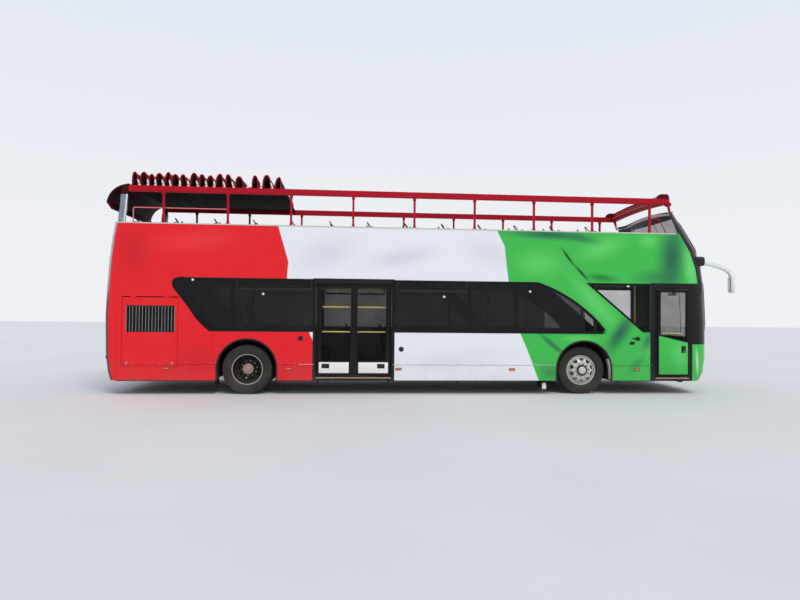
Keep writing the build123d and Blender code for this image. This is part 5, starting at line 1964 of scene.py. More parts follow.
@dataclass
class TopRailing:
    """Fittings of the crimson rails round the open deck, and the header across the front."""

    post_xs: Sequence[float] = tuple(-5.2 + 1.2075 * k for k in range(9))
    line_y: float = 1.24

    def build(self, shop: Workshop) -> None:
        """Add feet, bolts, collars, tracks, the header and the low guard rails.

        Args:
            shop: finishes and patterns.
        """
        places = [(x, side * self.line_y, PARAPET_Z) for x in self.post_xs for side in (-1, 1)]
        foot = Workpiece("foot", "rail_crimson")
        foot.block((-0.055, -0.033, 0.0), (0.055, 0.033, 0.008), 0.003)
        foot.block((-0.026, -0.026, 0.008), (0.026, 0.026, 0.05), 0.003)
        shop.repeat("post_feet", foot, places, "bus_body", "rail_red")
        bolt = Workpiece("bolt", "bright_steel")
        bolt.lathe(
            [(0.0, 0.0), (0.0, 0.0085), (0.006, 0.0085), (0.0075, 0.006), (0.0075, 0.0)], (0, 0, 0),
            "Z", 6, closed=False
        )
        bolts = [(x + dx, y, z + 0.008) for x, y, z in places for dx in (-0.043, 0.043)]
        shop.repeat("post_bolts", bolt, bolts, "bus_body", "steel")
        collar = Workpiece("collar", "rail_crimson")
        collar.block((-0.03, -0.03, -0.05), (0.03, 0.03, 0.0), 0.004)
        tops = [(x, y, RAIL_Z - 0.0575) for x, y, _ in places]
        shop.repeat("post_collars", collar, tops, "bus_body", "rail_red")
        self._tracks(shop)
        self._header(shop)
        self._guards(shop)

    def _tracks(self, shop: Workshop) -> None:
        """Steel track on both rails ahead of the folded roof, and a lip on their outer faces.

        Args:
            shop: finishes and patterns.
        """
        lines = [
            [(-2.9, side * self.line_y, 3.9915), (4.74, side * self.line_y, 3.9915)]
            for side in (-1, 1)
        ]
        shop.bead(
            "rail_tracks", lines, 0.024, 0.008, "bright_steel", "bus_body", "steel", smoothing=0.002
        )
        lips = [
            [(-5.84, side * 1.271, RAIL_MID_Z), (4.8, side * 1.271, RAIL_MID_Z)] for side in (-1, 1)
        ]
        shop.bead(
            "rail_lips", lips, 0.005, 0.02, "rail_crimson", "bus_body", "rail_red", smoothing=0.002
        )

    def _header(self, shop: Workshop) -> None:
        """Arched header with its pink lip, a painted highlight along its lower edge, the strapped
        roll on it, caps, corners and a black box.

        Args:
            shop: finishes and patterns.
        """
        header = Workpiece("front_header", "rail_crimson")
        rings = []
        for share in [k / 16 * 2 - 1 for k in range(17)]:
            crown = 0.045 * (1 - share * share)
            y = share * 1.215
            rings.append([
                (4.754, y, 4.032 + crown), (4.79, y, 4.046 + crown), (4.855, y, 4.036 + crown),
                (4.873, y, 4.00 + crown),
                (4.873, y, 3.90 + crown), (4.83, y, 3.874 + crown), (4.765, y, 3.874 + crown),
                (4.753, y, 3.90 + crown),
            ])
        header.loft(rings)
        dress(header.make(shop.box, 50), "bus_body")
        lip = [[(4.751, y / 8 * 1.2, 3.945 + 0.045 * (1 - (y / 8) ** 2)) for y in range(-8, 9)]]
        # Painted highlight: the pink lip stands for the light along the header's lower edge.
        shop.pipe("header_lip", lip, 0.008, "trim_pink", "bus_body", "rail_red", bend=0.0)
        roll = Workpiece("header_roll", "roof_skirt")
        roll.tube(
            [(4.81, y / 8 * 1.19, 4.052 + 0.045 * (1 - (y / 8) ** 2)) for y in range(-8, 9)], 0.030,
            14
        )
        dress(roll.make(shop.box), "bus_body")
        straps = Workpiece("header_straps", "black_plastic")
        for y in (-1.0, -0.5, 0.0, 0.5, 1.0):
            z = 4.052 + 0.045 * (1 - (y / 1.19) ** 2)
            straps.lathe(
                [(-0.014, 0.0308), (-0.014, 0.0335), (0.014, 0.0335), (0.014, 0.0308)],
                (4.81, y, z), "Y", 20
            )
        dress(straps.make(shop.box), "bus_body")
        caps = Workpiece("header_caps", "roof_skirt")
        for side in Side:
            y0, y1 = side.value * 1.205, side.value * JAMB_Y
            caps.loft(
                [
                    [
                        (4.60, y, 3.989), (4.635, y, 4.052), (4.69, y, 4.085), (4.83, y, 4.088),
                        (4.862, y, 4.05), (4.870, y, 3.989)
                    ]
                    for y in (y0, y1)
                ]
            )
        dress(caps.make(shop.box), "bus_body")
        corners = Workpiece("rail_corners", "rail_crimson")
        for side in Side:
            y = side.value * 1.222
            corners.plate(
                [
                    (4.80, y, RAIL_MID_Z), (4.872, y, RAIL_MID_Z), (4.900, y, 3.72),
                    (4.905, y, 3.685), (4.885, y, 3.680), (4.864, y, 3.75), (4.84, y, 3.82)
                ],
                (0, side.value * 0.04, 0), 0.004
            )
        dress(corners.make(shop.box), "bus_body")
        case = Workpiece("header_box", "black_plastic")
        case.block((4.855, -1.19, 3.86), (4.955, -1.09, 3.93), 0.012, 3)
        case.block((4.87, -1.16, 3.925), (4.94, -1.12, 3.955), 0.006)
        dress(case.make(shop.box), "bus_body")

    def _guards(self, shop: Workshop) -> None:
        """Thin guard rails beside the last seats, pink as a painted highlight on crimson, and the
        feet of the guard round the stairwell.

        Args:
            shop: finishes and patterns.
        """
        lines = [
            [
                (-5.765, side.value * 1.235, 3.285), (-5.765, side.value * 1.235, 3.57),
                (self.post_xs[1], side.value * 1.235, 3.57)
            ]
            for side in Side
        ]
        # Painted highlight: the guard rails are pink for the light on crimson tubes.
        shop.pipe("rear_guards", lines, 0.0115, "trim_pink", "bus_body", "rail_red", bend=0.03)
        foot = Workpiece("guard_foot", "rail_crimson")
        foot.lathe(
            [(0.0, 0.0), (0.0, 0.045), (0.006, 0.045), (0.012, 0.022), (0.012, 0.0)], (0, 0, 0),
            "Z", 16, closed=False
        )
        feet = ((0.40, 0.495), (1.31, 0.495), (2.30, 0.495), (2.30, 1.15))
        shop.repeat("guard_feet", foot, [(x, y, DECK_Z) for x, y in feet], "bus_body", "rail_red")


@dataclass
class RoadWheel:
    """One wheel set: tread and sidewalls, the disc's hand holes, nuts, hub and valve."""

    body: str
    tyre_node: str
    rim_node: str
    centre_x: float
    middles: Sequence[float]
    side: Side
    front: bool
    tyre_r: float = 0.479
    grooves: Sequence[float] = (-0.062, -0.021, 0.021, 0.062)

    def build(self, shop: Workshop) -> None:
        """Make the tyre, its tread and lettering-free sidewall ribs, then the disc's fittings.

        Args:
            shop: finishes and patterns.
        """
        tyre = self._tyre(shop)
        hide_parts(self.tyre_node)
        self._sipes(shop)
        if self.front:
            disc = self._front_disc(shop)
            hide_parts(self.rim_node)
        else:
            self._rear_trim(shop)
        self._nuts(shop)

    def _place(self, outward: float, middle: float) -> float:
        """Y of a point that lies outward of a tyre's middle."""
        return middle + self.side.value * outward

    def _tyre(self, shop: Workshop) -> bpy.types.Object:
        """Tyre with four tread grooves, shoulders, bulged sidewalls and bead.

        Args:
            shop: finishes and patterns.

        Returns:
            The tyre.
        """
        crown = self.tyre_r - 0.001
        outline = [(-0.1285, crown - 0.022), (-0.121, crown - 0.008), (-0.108, crown - 0.002)]
        for groove in self.grooves:
            outline += [
                (groove - 0.0055, crown), (groove - 0.0035, crown - 0.012),
                (groove + 0.0035, crown - 0.012), (groove + 0.0055, crown)
            ]
        outline += [(0.108, crown - 0.002), (0.121, crown - 0.008), (0.1285, crown - 0.022)]
        wall = [(0.1275, crown - 0.040), (0.1305, crown - 0.052), (0.1365, 0.395), (0.1372, 0.376),
                (0.1355, 0.352),
                (0.1325, 0.3435), (0.1325, 0.3405), (0.1290, 0.330), (0.1195, 0.314),
                (0.1120, 0.3055), (0.1105, 0.300),
                (0.0975, 0.2995), (0.0955, 0.2868)]
        outline += wall
        outline += [(-a, r) for a, r in reversed(wall)]
        piece = Workpiece(self.body + "_tyre", "tyre_rubber")
        for middle in self.middles:
            piece.lathe(outline, (self.centre_x, middle, WHEEL_Z), "Y", 96)
        return dress(piece.make(shop.box, 28), self.body)

    def _sipes(self, shop: Workshop) -> None:
        """Shoulder lugs round the tread and fine ribs on the sidewall.

        Args:
            shop: finishes and patterns.
        """
        lug = Workpiece("lug", "tyre_rubber")
        lug.block((-0.0085, -0.011, -0.004), (0.0085, 0.011, 0.004), 0.002, 1)
        places, turns = [], []
        for middle in self.middles:
            for end in (-1, 1):
                for n in range(60):
                    angle = 2 * math.pi * n / 60
                    radius = self.tyre_r - 0.0185
                    y = middle + end * 0.1245
                    places.append(
                        (
                            self.centre_x + radius * math.cos(angle), y,
                            WHEEL_Z + radius * math.sin(angle)
                        )
                    )
                    turns.append((0.0, math.pi / 2 - angle, 0.0))
        shop.repeat(self.body + "_lugs", lug, places, self.body, "tyre", turns)
        rib = Workpiece("rib", "tyre_rubber")
        rib.block((-0.0012, -0.0012, -0.009), (0.0012, 0.0012, 0.009), 0.0, 1)
        places, turns = [], []
        middle = self.middles[0]
        for n in range(120):
            angle = 2 * math.pi * n / 120
            y = self._place(0.1345, middle)
            places.append(
                (self.centre_x + 0.4135 * math.cos(angle), y, WHEEL_Z + 0.4135 * math.sin(angle))
            )
            turns.append((0.0, math.pi / 2 - angle, 0.0))
        shop.repeat(self.body + "_ribs", rib, places, self.body, "tyre", turns)

    def _front_disc(self, shop: Workshop) -> bpy.types.Object:
        """Rim and dished disc with ten hand holes, and the hub in its middle.

        Args:
            shop: finishes and patterns.

        Returns:
            The rim with its disc.
        """
        middle = self.middles[0]
        piece = Workpiece(self.body + "_rim", "disc_silver")
        barrel = [(-0.105, 0.277), (-0.105, 0.298), (-0.101, 0.2985), (-0.097, 0.296),
                  (-0.096, 0.2865), (0.096, 0.2865),
                  (0.097, 0.296), (0.101, 0.2985), (0.105, 0.298), (0.106, 0.285), (0.098, 0.277),
                  (0.074, 0.2745),
                  (0.066, 0.262), (-0.06, 0.262), (-0.068, 0.276)]
        piece.lathe(
            [(self.side.value * a, r) for a, r in barrel], (self.centre_x, middle, WHEEL_Z), "Y", 96
        )
        obj = piece.make(shop.box, 40)
        self._pierced_disc(obj, middle)
        collar = Workpiece(self.body + "_collar", "rim_dark")
        skirt = [
            (0.150, 0.060), (0.150, 0.112), (0.166, 0.113), (0.174, 0.108), (0.178, 0.090),
            (0.176, 0.060)
        ]
        collar.lathe(
            [(self.side.value * a, r) for a, r in skirt], (self.centre_x, middle, WHEEL_Z), "Y", 48
        )
        dress(collar.make(shop.box), self.body)
        hub = Workpiece(self.body + "_hub", "disc_silver")
        cap = [
            (0.160, 0.0), (0.160, 0.076), (0.184, 0.076), (0.196, 0.073), (0.2015, 0.066),
            (0.2035, 0.058), (0.2045, 0.040), (0.2045, 0.0)
        ]
        hub.lathe(
            [(self.side.value * a, r) for a, r in cap], (self.centre_x, middle, WHEEL_Z), "Y", 48,
            closed=False
        )
        for n in range(8):
            angle = 2 * math.pi * (n + 0.5) / 8
            spot = (
                self.centre_x + 0.054 * math.cos(angle), self._place(0.2045, middle),
                WHEEL_Z + 0.054 * math.sin(angle)
            )
            hub.lathe(
                [
                    (0.0, 0.0), (0.0, 0.006), (self.side.value * 0.004, 0.006),
                    (self.side.value * 0.004, 0.0)
                ],
                spot, "Y", 6, closed=False
            )
        dress(hub.make(shop.box), self.body)
        return dress(obj, self.body)

    def _pierced_disc(self, obj: bpy.types.Object, middle: float) -> None:
        """Add the dished disc to the barrel, leaving out the hand holes.

        Args:
            obj: the barrel, which grows the disc.
            middle: the wheel's middle across the bus.
        """
        rows = [(0.104, 0.159), (0.150, 0.160), (0.178, 0.158), (0.190, 0.152), (0.202, 0.146),
                (0.214, 0.138),
                (0.226, 0.128), (0.240, 0.110), (0.256, 0.084), (0.268, 0.070)]
        around = 120
        disc = bmesh.new()
        grid = [[disc.verts.new((
            self.centre_x + r * math.cos(2 * math.pi * n / around),
            self._place(a, middle),
            WHEEL_Z + r * math.sin(2 * math.pi * n / around),
        )) for n in range(around)] for r, a in rows]
        for k in range(len(rows) - 1):
            for n in range(around):
                turn = (n + 0.5) % 12 - 6
                mid_r = (rows[k][0] + rows[k + 1][0]) / 2
                reach = ((mid_r - 0.211) / 0.033) ** 2 + (turn / 3.7) ** 2
                if reach < 1:
                    continue
                m = (n + 1) % around
                disc.faces.new((grid[k][n], grid[k][m], grid[k + 1][m], grid[k + 1][n]))
        bmesh.ops.recalc_face_normals(disc, faces=disc.faces)
        bmesh.ops.smooth_vert(
            disc,
            verts=[
                v for v in disc.verts
                if v.is_boundary and 0.18 < (
                    Vector((v.co.x - self.centre_x, v.co.z - WHEEL_Z))
                ).length < 0.245
            ],
            factor=0.6, use_axis_x=True, use_axis_y=False, use_axis_z=True,
        )
        bmesh.ops.delete(disc, geom=[v for v in disc.verts if not v.link_faces], context="VERTS")
        shell = bpy.data.meshes.new("disc")
        disc.to_mesh(shell)
        disc.free()
        helper = bpy.data.objects.new("disc", shell)
        bpy.context.scene.collection.objects.link(helper)
        wall = helper.modifiers.new("wall", "SOLIDIFY")
        wall.thickness = 0.011
        wall.offset = 0.0
        graph = bpy.context.evaluated_depsgraph_get()
        plate = bpy.data.meshes.new_from_object(helper.evaluated_get(graph), depsgraph=graph)
        whole = bmesh.new()
        whole.from_mesh(obj.data)
        whole.from_mesh(plate)
        whole.to_mesh(obj.data)
        whole.free()
        bpy.data.objects.remove(helper)
        bpy.data.meshes.remove(shell)
        bpy.data.meshes.remove(plate)
        obj.data.shade_smooth()
        obj.data.set_sharp_from_angle(angle=math.radians(40))

    def _rear_trim(self, shop: Workshop) -> None:
        """Bright worn edge on the outer rim and the greasy hub flange.

        Args:
            shop: finishes and patterns.
        """
        outer = self.middles[0]
        piece = Workpiece(self.body + "_rim_edge", "rim_silver")
        edge = [
            (0.0955, 0.2985), (0.103, 0.3005), (0.1065, 0.299), (0.1065, 0.284), (0.104, 0.279),
            (0.1055, 0.2975)
        ]
        piece.lathe(
            [(self.side.value * a, r) for a, r in edge], (self.centre_x, outer, WHEEL_Z), "Y", 96
        )
        dress(piece.make(shop.box), self.body)
        hub = Workpiece(self.body + "_hub", "hub_grease")
        flange = [
            (-0.012, 0.0), (-0.012, 0.098), (0.004, 0.104), (0.010, 0.098), (0.013, 0.062),
            (0.030, 0.056), (0.034, 0.044), (0.034, 0.0)
        ]
        hub.lathe(
            [(self.side.value * a, r) for a, r in flange], (self.centre_x, outer, WHEEL_Z),
            "Y", 48, closed=False
        )
        dress(hub.make(shop.box), self.body)

    def _nuts(self, shop: Workshop) -> None:
        """Ten wheel nuts on their studs, and the valve.

        Args:
            shop: finishes and patterns.
        """
        sign = self.side.value
        nut = Workpiece("nut", "bright_steel" if self.front else "hub_grease")
        nut.lathe(
            [
                (0.0, 0.0), (0.0, 0.0215), (sign * 0.005, 0.0215), (sign * 0.006, 0.0175),
                (sign * 0.022, 0.0175), (sign * 0.026, 0.0135), (sign * 0.026, 0.0)
            ],
            (0, 0, 0), "Y", 6, closed=False
        )
        nut.lathe(
            [
                (sign * 0.026, 0.0), (sign * 0.026, 0.009), (sign * 0.040, 0.009),
                (sign * 0.041, 0.0)
            ],
            (0, 0, 0), "Y", 10, closed=False
        )
        face = self._place(0.1655 if self.front else -0.1425, self.middles[0])
        ring = 0.1375 if self.front else 0.1425
        places = [
            (
                self.centre_x + ring * math.cos(2 * math.pi * (n + 0.25) / 10), face,
                WHEEL_Z + ring * math.sin(2 * math.pi * (n + 0.25) / 10)
            )
            for n in range(10)
        ]
        shop.repeat(self.body + "_nuts", nut, places, self.body, "steel")
        valve = Workpiece(self.body + "_valve", "bright_steel")
        y = self._place(0.085 if self.front else 0.055, self.middles[0])
        valve.tube([(self.centre_x + 0.262, y, WHEEL_Z + 0.03),
                    (self.centre_x + 0.255, y + sign * 0.03, WHEEL_Z + 0.03),
                    (self.centre_x + 0.235, y + sign * 0.045, WHEEL_Z + 0.03)], 0.0045, 8)
        dress(valve.make(shop.box), self.body)


def all_wheels() -> list[RoadWheel]:
    """The four wheel sets.

    Returns:
        The wheel sets.
    """
    wheels = []
    for side in Side:
        name = side.name.lower()
        sign = side.value
        wheels.append(
            RoadWheel(
                f"front_{name}_wheel", f"front_{name}_tyre", f"front_{name}_rim", FRONT_X,
                (sign * 1.0595,), side, True
            )
        )
        wheels.append(
            RoadWheel(
                f"rear_{name}_wheels", f"rear_{name}_tyres", f"rear_{name}_rims", REAR_X,
                (sign * 1.0855, sign * 0.7755), side, False
            )
        )
    return wheels


@dataclass
class Coachwork:
    """Trim on the painted walls: strips, seams, arch lips, lamps, caps and mudflaps."""

    arch_z: float = 0.5
    arch_xs: Sequence[float] = (REAR_X, FRONT_X + 0.03)
    seam_z: float = 0.581
    skirt_z: float = 0.27

    def build(self, shop: Workshop) -> None:
        """Make every strip and fitting of the walls.

        Args:
            shop: finishes and patterns.
        """
        self._parapet(shop)
        self._seams(shop)
        self._arch_lips(shop)
        self._markers(shop)
        self._caps(shop)
        self._mudflaps(shop)
        self._skirt_screws(shop)

    def _parapet(self, shop: Workshop) -> None:
        """Pale strip and cap along the top edge of both sides and round the tail.

        Args:
            shop: finishes and patterns.
        """
        ring = [point for point in body_outline(3.272, 0.0015) if point[0] < -5.0]
        half = len(ring) // 2
        line = [(5.0, HALF_W + 0.0015, 3.272)] + ring[half:] + ring[:half] + [
            (5.0, -HALF_W - 0.0015, 3.272)
        ]
        shop.bead(
            "parapet_strip", [line], 0.007, 0.022, "trim_pale", "bus_body", "aluminium",
            smoothing=0.002
        )
        top = [(x, y * 0.985, 3.2815) for x, y, _ in line]
        shop.bead(
            "parapet_cap", [top], 0.05, 0.005, "trim_pale", "bus_body", "aluminium", smoothing=0.002
        )

    def _seams(self, shop: Workshop) -> None:
        """Dark joints between the panels, a pale line over the low one, and the skirt's edge.

        Args:
            shop: finishes and patterns.
        """
        y = HALF_W + 0.0004
        runs = {Side.RIGHT: [(-6.02, -4.16), (-3.02, -2.30), (-0.78, 2.51), (3.66, 4.56)],
                Side.LEFT: [(-6.02, -4.16), (-3.02, 2.51), (3.66, 5.32)]}
        lines = []
        for side, spans in runs.items():
            for low, high in spans:
                lines.append(
                    [(low, side.value * y, self.seam_z), (high, side.value * y, self.seam_z)]
                )
        pale = [
            [
                (max(low, -2.60), side.value * y, self.seam_z + 0.006),
                (min(high, 2.51), side.value * y, self.seam_z + 0.006)
            ]
            for side, spans in runs.items() for low, high in spans if high > -2.5 and low < 2.5
        ]
        shop.bead(
            "pale_joints", pale, 0.002, 0.006, "plate_white", "bus_body", "aluminium",
            smoothing=0.0004
        )
        shop.bead(
            "panel_joints", lines, 0.002, 0.005, "frame_black", "bus_body", "frame_dark",
            smoothing=0.0004
        )
        uprights = []
        for side in Side:
            for x in (-4.24, -2.92, 3.70, 4.53):
                uprights.append([(x, side.value * y, 0.285), (x, side.value * y, 1.195)])
            for x in (-6.02, 5.345):
                uprights.append([(x, side.value * y, 0.30), (x, side.value * y, 2.255)])
        shop.bead(
            "panel_uprights", uprights, 0.0016, 0.0025, "frame_black", "bus_body", "frame_dark",
            smoothing=0.0003
        )
        foot = [
            [
                (low, side.value * (HALF_W - 0.002), self.skirt_z),
                (high, side.value * (HALF_W - 0.002), self.skirt_z)
            ]
            for side, spans in runs.items() for low, high in spans
        ]
        shop.bead(
            "skirt_edges", foot, 0.012, 0.016, "rubber", "bus_body", "black_plastic",
            smoothing=0.003
        )

    def _arch_lips(self, shop: Workshop) -> None:
        """Black rubber lip round every wheel arch, and a pale liner inside the front ones.

        Args:
            shop: finishes and patterns.
        """
        lips = Workpiece("arch_lips", "rubber")
        for side in Side:
            for x in self.arch_xs:
                rings = []
                stations = [(0.0, self.skirt_z)] + [
                    (angle, None) for angle in range(0, 181, 6)
                ] + [(180.0, self.skirt_z)]
                for angle, low in stations:
                    turn = math.radians(angle)
                    ring = []
                    for radius, proud in (
                        (0.552, -0.03), (0.552, 0.004), (0.558, 0.010), (0.578, 0.010),
                        (0.586, 0.003), (0.586, -0.002), (0.562, -0.002), (0.562, -0.03)
                    ):
                        across, up = radius * math.cos(turn), radius * math.sin(turn)
                        z = low if low is not None else self.arch_z + up
                        ring.append((x + across, side.value * (HALF_W + proud), z))
                    rings.append(ring)
                lips.loft(rings)
        dress(lips.make(shop.box), "bus_body")
        liner = Workpiece("arch_liners", "trim_pale")
        for side in Side:
            sign = side.value
            liner.plate(
                [
                    (3.632, sign * JAMB_Y, 0.30), (3.655, sign * JAMB_Y, 0.30),
                    (3.66, sign * JAMB_Y, 0.55), (3.60, sign * JAMB_Y, 0.72),
                    (3.58, sign * JAMB_Y, 0.70), (3.625, sign * JAMB_Y, 0.54)
                ],
                (0, -sign * 0.09, 0)
            )
        dress(liner.make(shop.box), "bus_body")

    def _markers(self, shop: Workshop) -> None:
        """Amber side markers low on both sides.

        Args:
            shop: finishes and patterns.
        """
        base = Workpiece("base", "black_plastic")
        base.block((-0.062, -0.004, -0.024), (0.062, 0.004, 0.024), 0.004)
        lens = Workpiece("lens", "lens_amber")
        lens.block((-0.054, -0.006, -0.017), (0.054, 0.006, 0.017), 0.005, 3)
        xs = (-5.1, -2.79, -0.66, 1.61, 4.19)
        flat = [(x, side.value * (HALF_W + 0.002), 0.50) for x in xs for side in Side]
        shop.repeat("marker_bases", base, flat, "bus_body", "black_plastic")
        shop.repeat(
            "marker_lenses", lens, [(x, y + math.copysign(0.005, y), z) for x, y, z in flat],
            "bus_body", "lamp_red"
        )

    def _caps(self, shop: Workshop) -> None:
        """Filler caps, small oval covers and the pale round marks on the window band.

        Args:
            shop: finishes and patterns.
        """
        cap = Workpiece("cap", "black_plastic")
        cap.lathe(
            [
                (-0.003, 0.0), (-0.003, 0.050), (0.003, 0.050), (0.006, 0.044), (0.002, 0.040),
                (0.004, 0.018), (0.006, 0.0)
            ],
            (0, 0, 0), "Y", 32, closed=False
        )
        cap.block((-0.014, -0.008, -0.003), (0.014, 0.008, 0.003), 0.0015)
        places = [
            (-2.57, -HALF_W - 0.001, 1.09), (-0.61, -HALF_W - 0.001, 0.89),
            (-5.35, HALF_W + 0.001, 1.0)
        ]
        shop.repeat("filler_caps", cap, places, "bus_body", "black_plastic")
        ovals = Workpiece("oval_covers", "black_plastic")
        for x, z, across, up in (
            (4.200, 1.125, 0.058, 0.042), (4.085, 1.035, 0.058, 0.036), (4.113, 1.130, 0.020, 0.018)
        ):
            rings = []
            for out, share in (
                (0.002, 1.0), (-0.005, 1.0), (-0.009, 0.88), (-0.006, 0.80), (-0.008, 0.30)
            ):
                turns = [2 * math.pi * k / 24 for k in range(24)]
                rings.append(
                    [
                        (
                            x + share * across * math.cos(t), -HALF_W - 0.001 + out,
                            z + share * up * math.sin(t)
                        )
                        for t in turns
                    ]
                )
            ovals.loft(rings)
        dress(ovals.make(shop.box), "bus_body")
        dot = Workpiece("dot", "plate_white")
        dot.lathe(
            [(0.002, 0.0), (0.002, 0.023), (-0.002, 0.023), (-0.0035, 0.019), (-0.004, 0.0)],
            (0, 0, 0), "Y", 20, closed=False
        )
        dots = [(-4.627, 2.198), (-3.295, 1.942), (0.232, 1.929), (1.967, 2.055), (3.995, 2.188)]
        shop.repeat(
            "round_marks", dot, [(x, -HALF_W - 0.003, z) for x, z in dots], "bus_body",
            "white_plastic"
        )

    def _mudflaps(self, shop: Workshop) -> None:
        """Hanging flaps behind each wheel, with a pale patch beside the front ones.

        Args:
            shop: finishes and patterns.
        """
        flaps = Workpiece("mudflaps", "rubber")
        for side in Side:
            for x, low in ((REAR_X - 0.60, 0.16), (FRONT_X - 0.79, 0.10)):
                sign = side.value
                flaps.plate(
                    [
                        (x, sign * 0.84, low + 0.02), (x + 0.01, sign * 0.86, low),
                        (x + 0.01, sign * 1.20, low), (x, sign * 1.22, low + 0.02),
                        (x - 0.03, sign * 1.22, 0.48), (x - 0.03, sign * 0.84, 0.48)
                    ],
                    (-0.008, 0, 0)
                )
        dress(flaps.make(shop.box), "bus_body")
        patch = Workpiece("mudflap_patches", "plate_white")
        for side in Side:
            sign = side.value
            patch.plate(
                [
                    (2.235, sign * BRACKET_Y, 0.105), (2.325, sign * BRACKET_Y, 0.105),
                    (2.315, sign * BRACKET_Y, 0.225), (2.240, sign * BRACKET_Y, 0.225)
                ],
                (0, sign * 0.004, 0), 0.001
            )
        dress(patch.make(shop.box), "bus_body")

    def _skirt_screws(self, shop: Workshop) -> None:
        """Small screws above the skirt seam.

        Args:
            shop: finishes and patterns.
        """
        screw = Workpiece("screw", "bright_steel")
        screw.lathe(
            [(-0.001, 0.0), (-0.001, 0.0065), (0.0012, 0.006), (0.0022, 0.0035), (0.0024, 0.0)],
            (0, 0, 0), "Y", 10, closed=False
        )
        spans = [(-5.95, -4.25), (-2.95, -2.38), (-0.70, 2.42), (3.75, 4.50)]
        places = []
        for side in Side:
            for low, high in spans:
                count = max(2, round((high - low) / 0.24))
                for n in range(count + 1):
                    places.append(
                        (
                            low + (high - low) * n / count, side.value * (HALF_W + 0.001),
                            self.seam_z + 0.016
                        )
                    )
        shop.repeat("skirt_screws", screw, places, "bus_body", "steel")


def swoop(steps: int = 14) -> list[tuple[float, float]]:
    """Arc of the window band's front end, from the top of the glass down to its tip.

    Args:
        steps: steps along the arc.

    Returns:
        X and Z of the points.
    """
    top_x, top_z = 2.13, GLASS_TOP_Z
    mid_x, mid_z = 2.95, GLASS_TOP_Z - 0.41
    tip_x, tip_z = 3.59, SILL_Z
    # Circle through the top, the middle and the tip
    top_square = top_x * top_x + top_z * top_z
    mid_square = mid_x * mid_x + mid_z * mid_z
    tip_square = tip_x * tip_x + tip_z * tip_z
    scale = 2 * (top_x * (mid_z - tip_z) + mid_x * (tip_z - top_z) + tip_x * (top_z - mid_z))
    centre_x = (
        top_square * (mid_z - tip_z) + mid_square * (tip_z - top_z) + tip_square * (top_z - mid_z)
    ) / scale
    centre_z = (
        top_square * (tip_x - mid_x) + mid_square * (top_x - tip_x) + tip_square * (mid_x - top_x)
    ) / scale
    radius = math.hypot(top_x - centre_x, top_z - centre_z)
    start = math.atan2(top_z - centre_z, top_x - centre_x)
    end = math.atan2(tip_z - centre_z, tip_x - centre_x)
    return [
        (
            centre_x + radius * math.cos(start + (end - start) * k / steps),
            centre_z + radius * math.sin(start + (end - start) * k / steps)
        )
        for k in range(steps + 1)
    ]


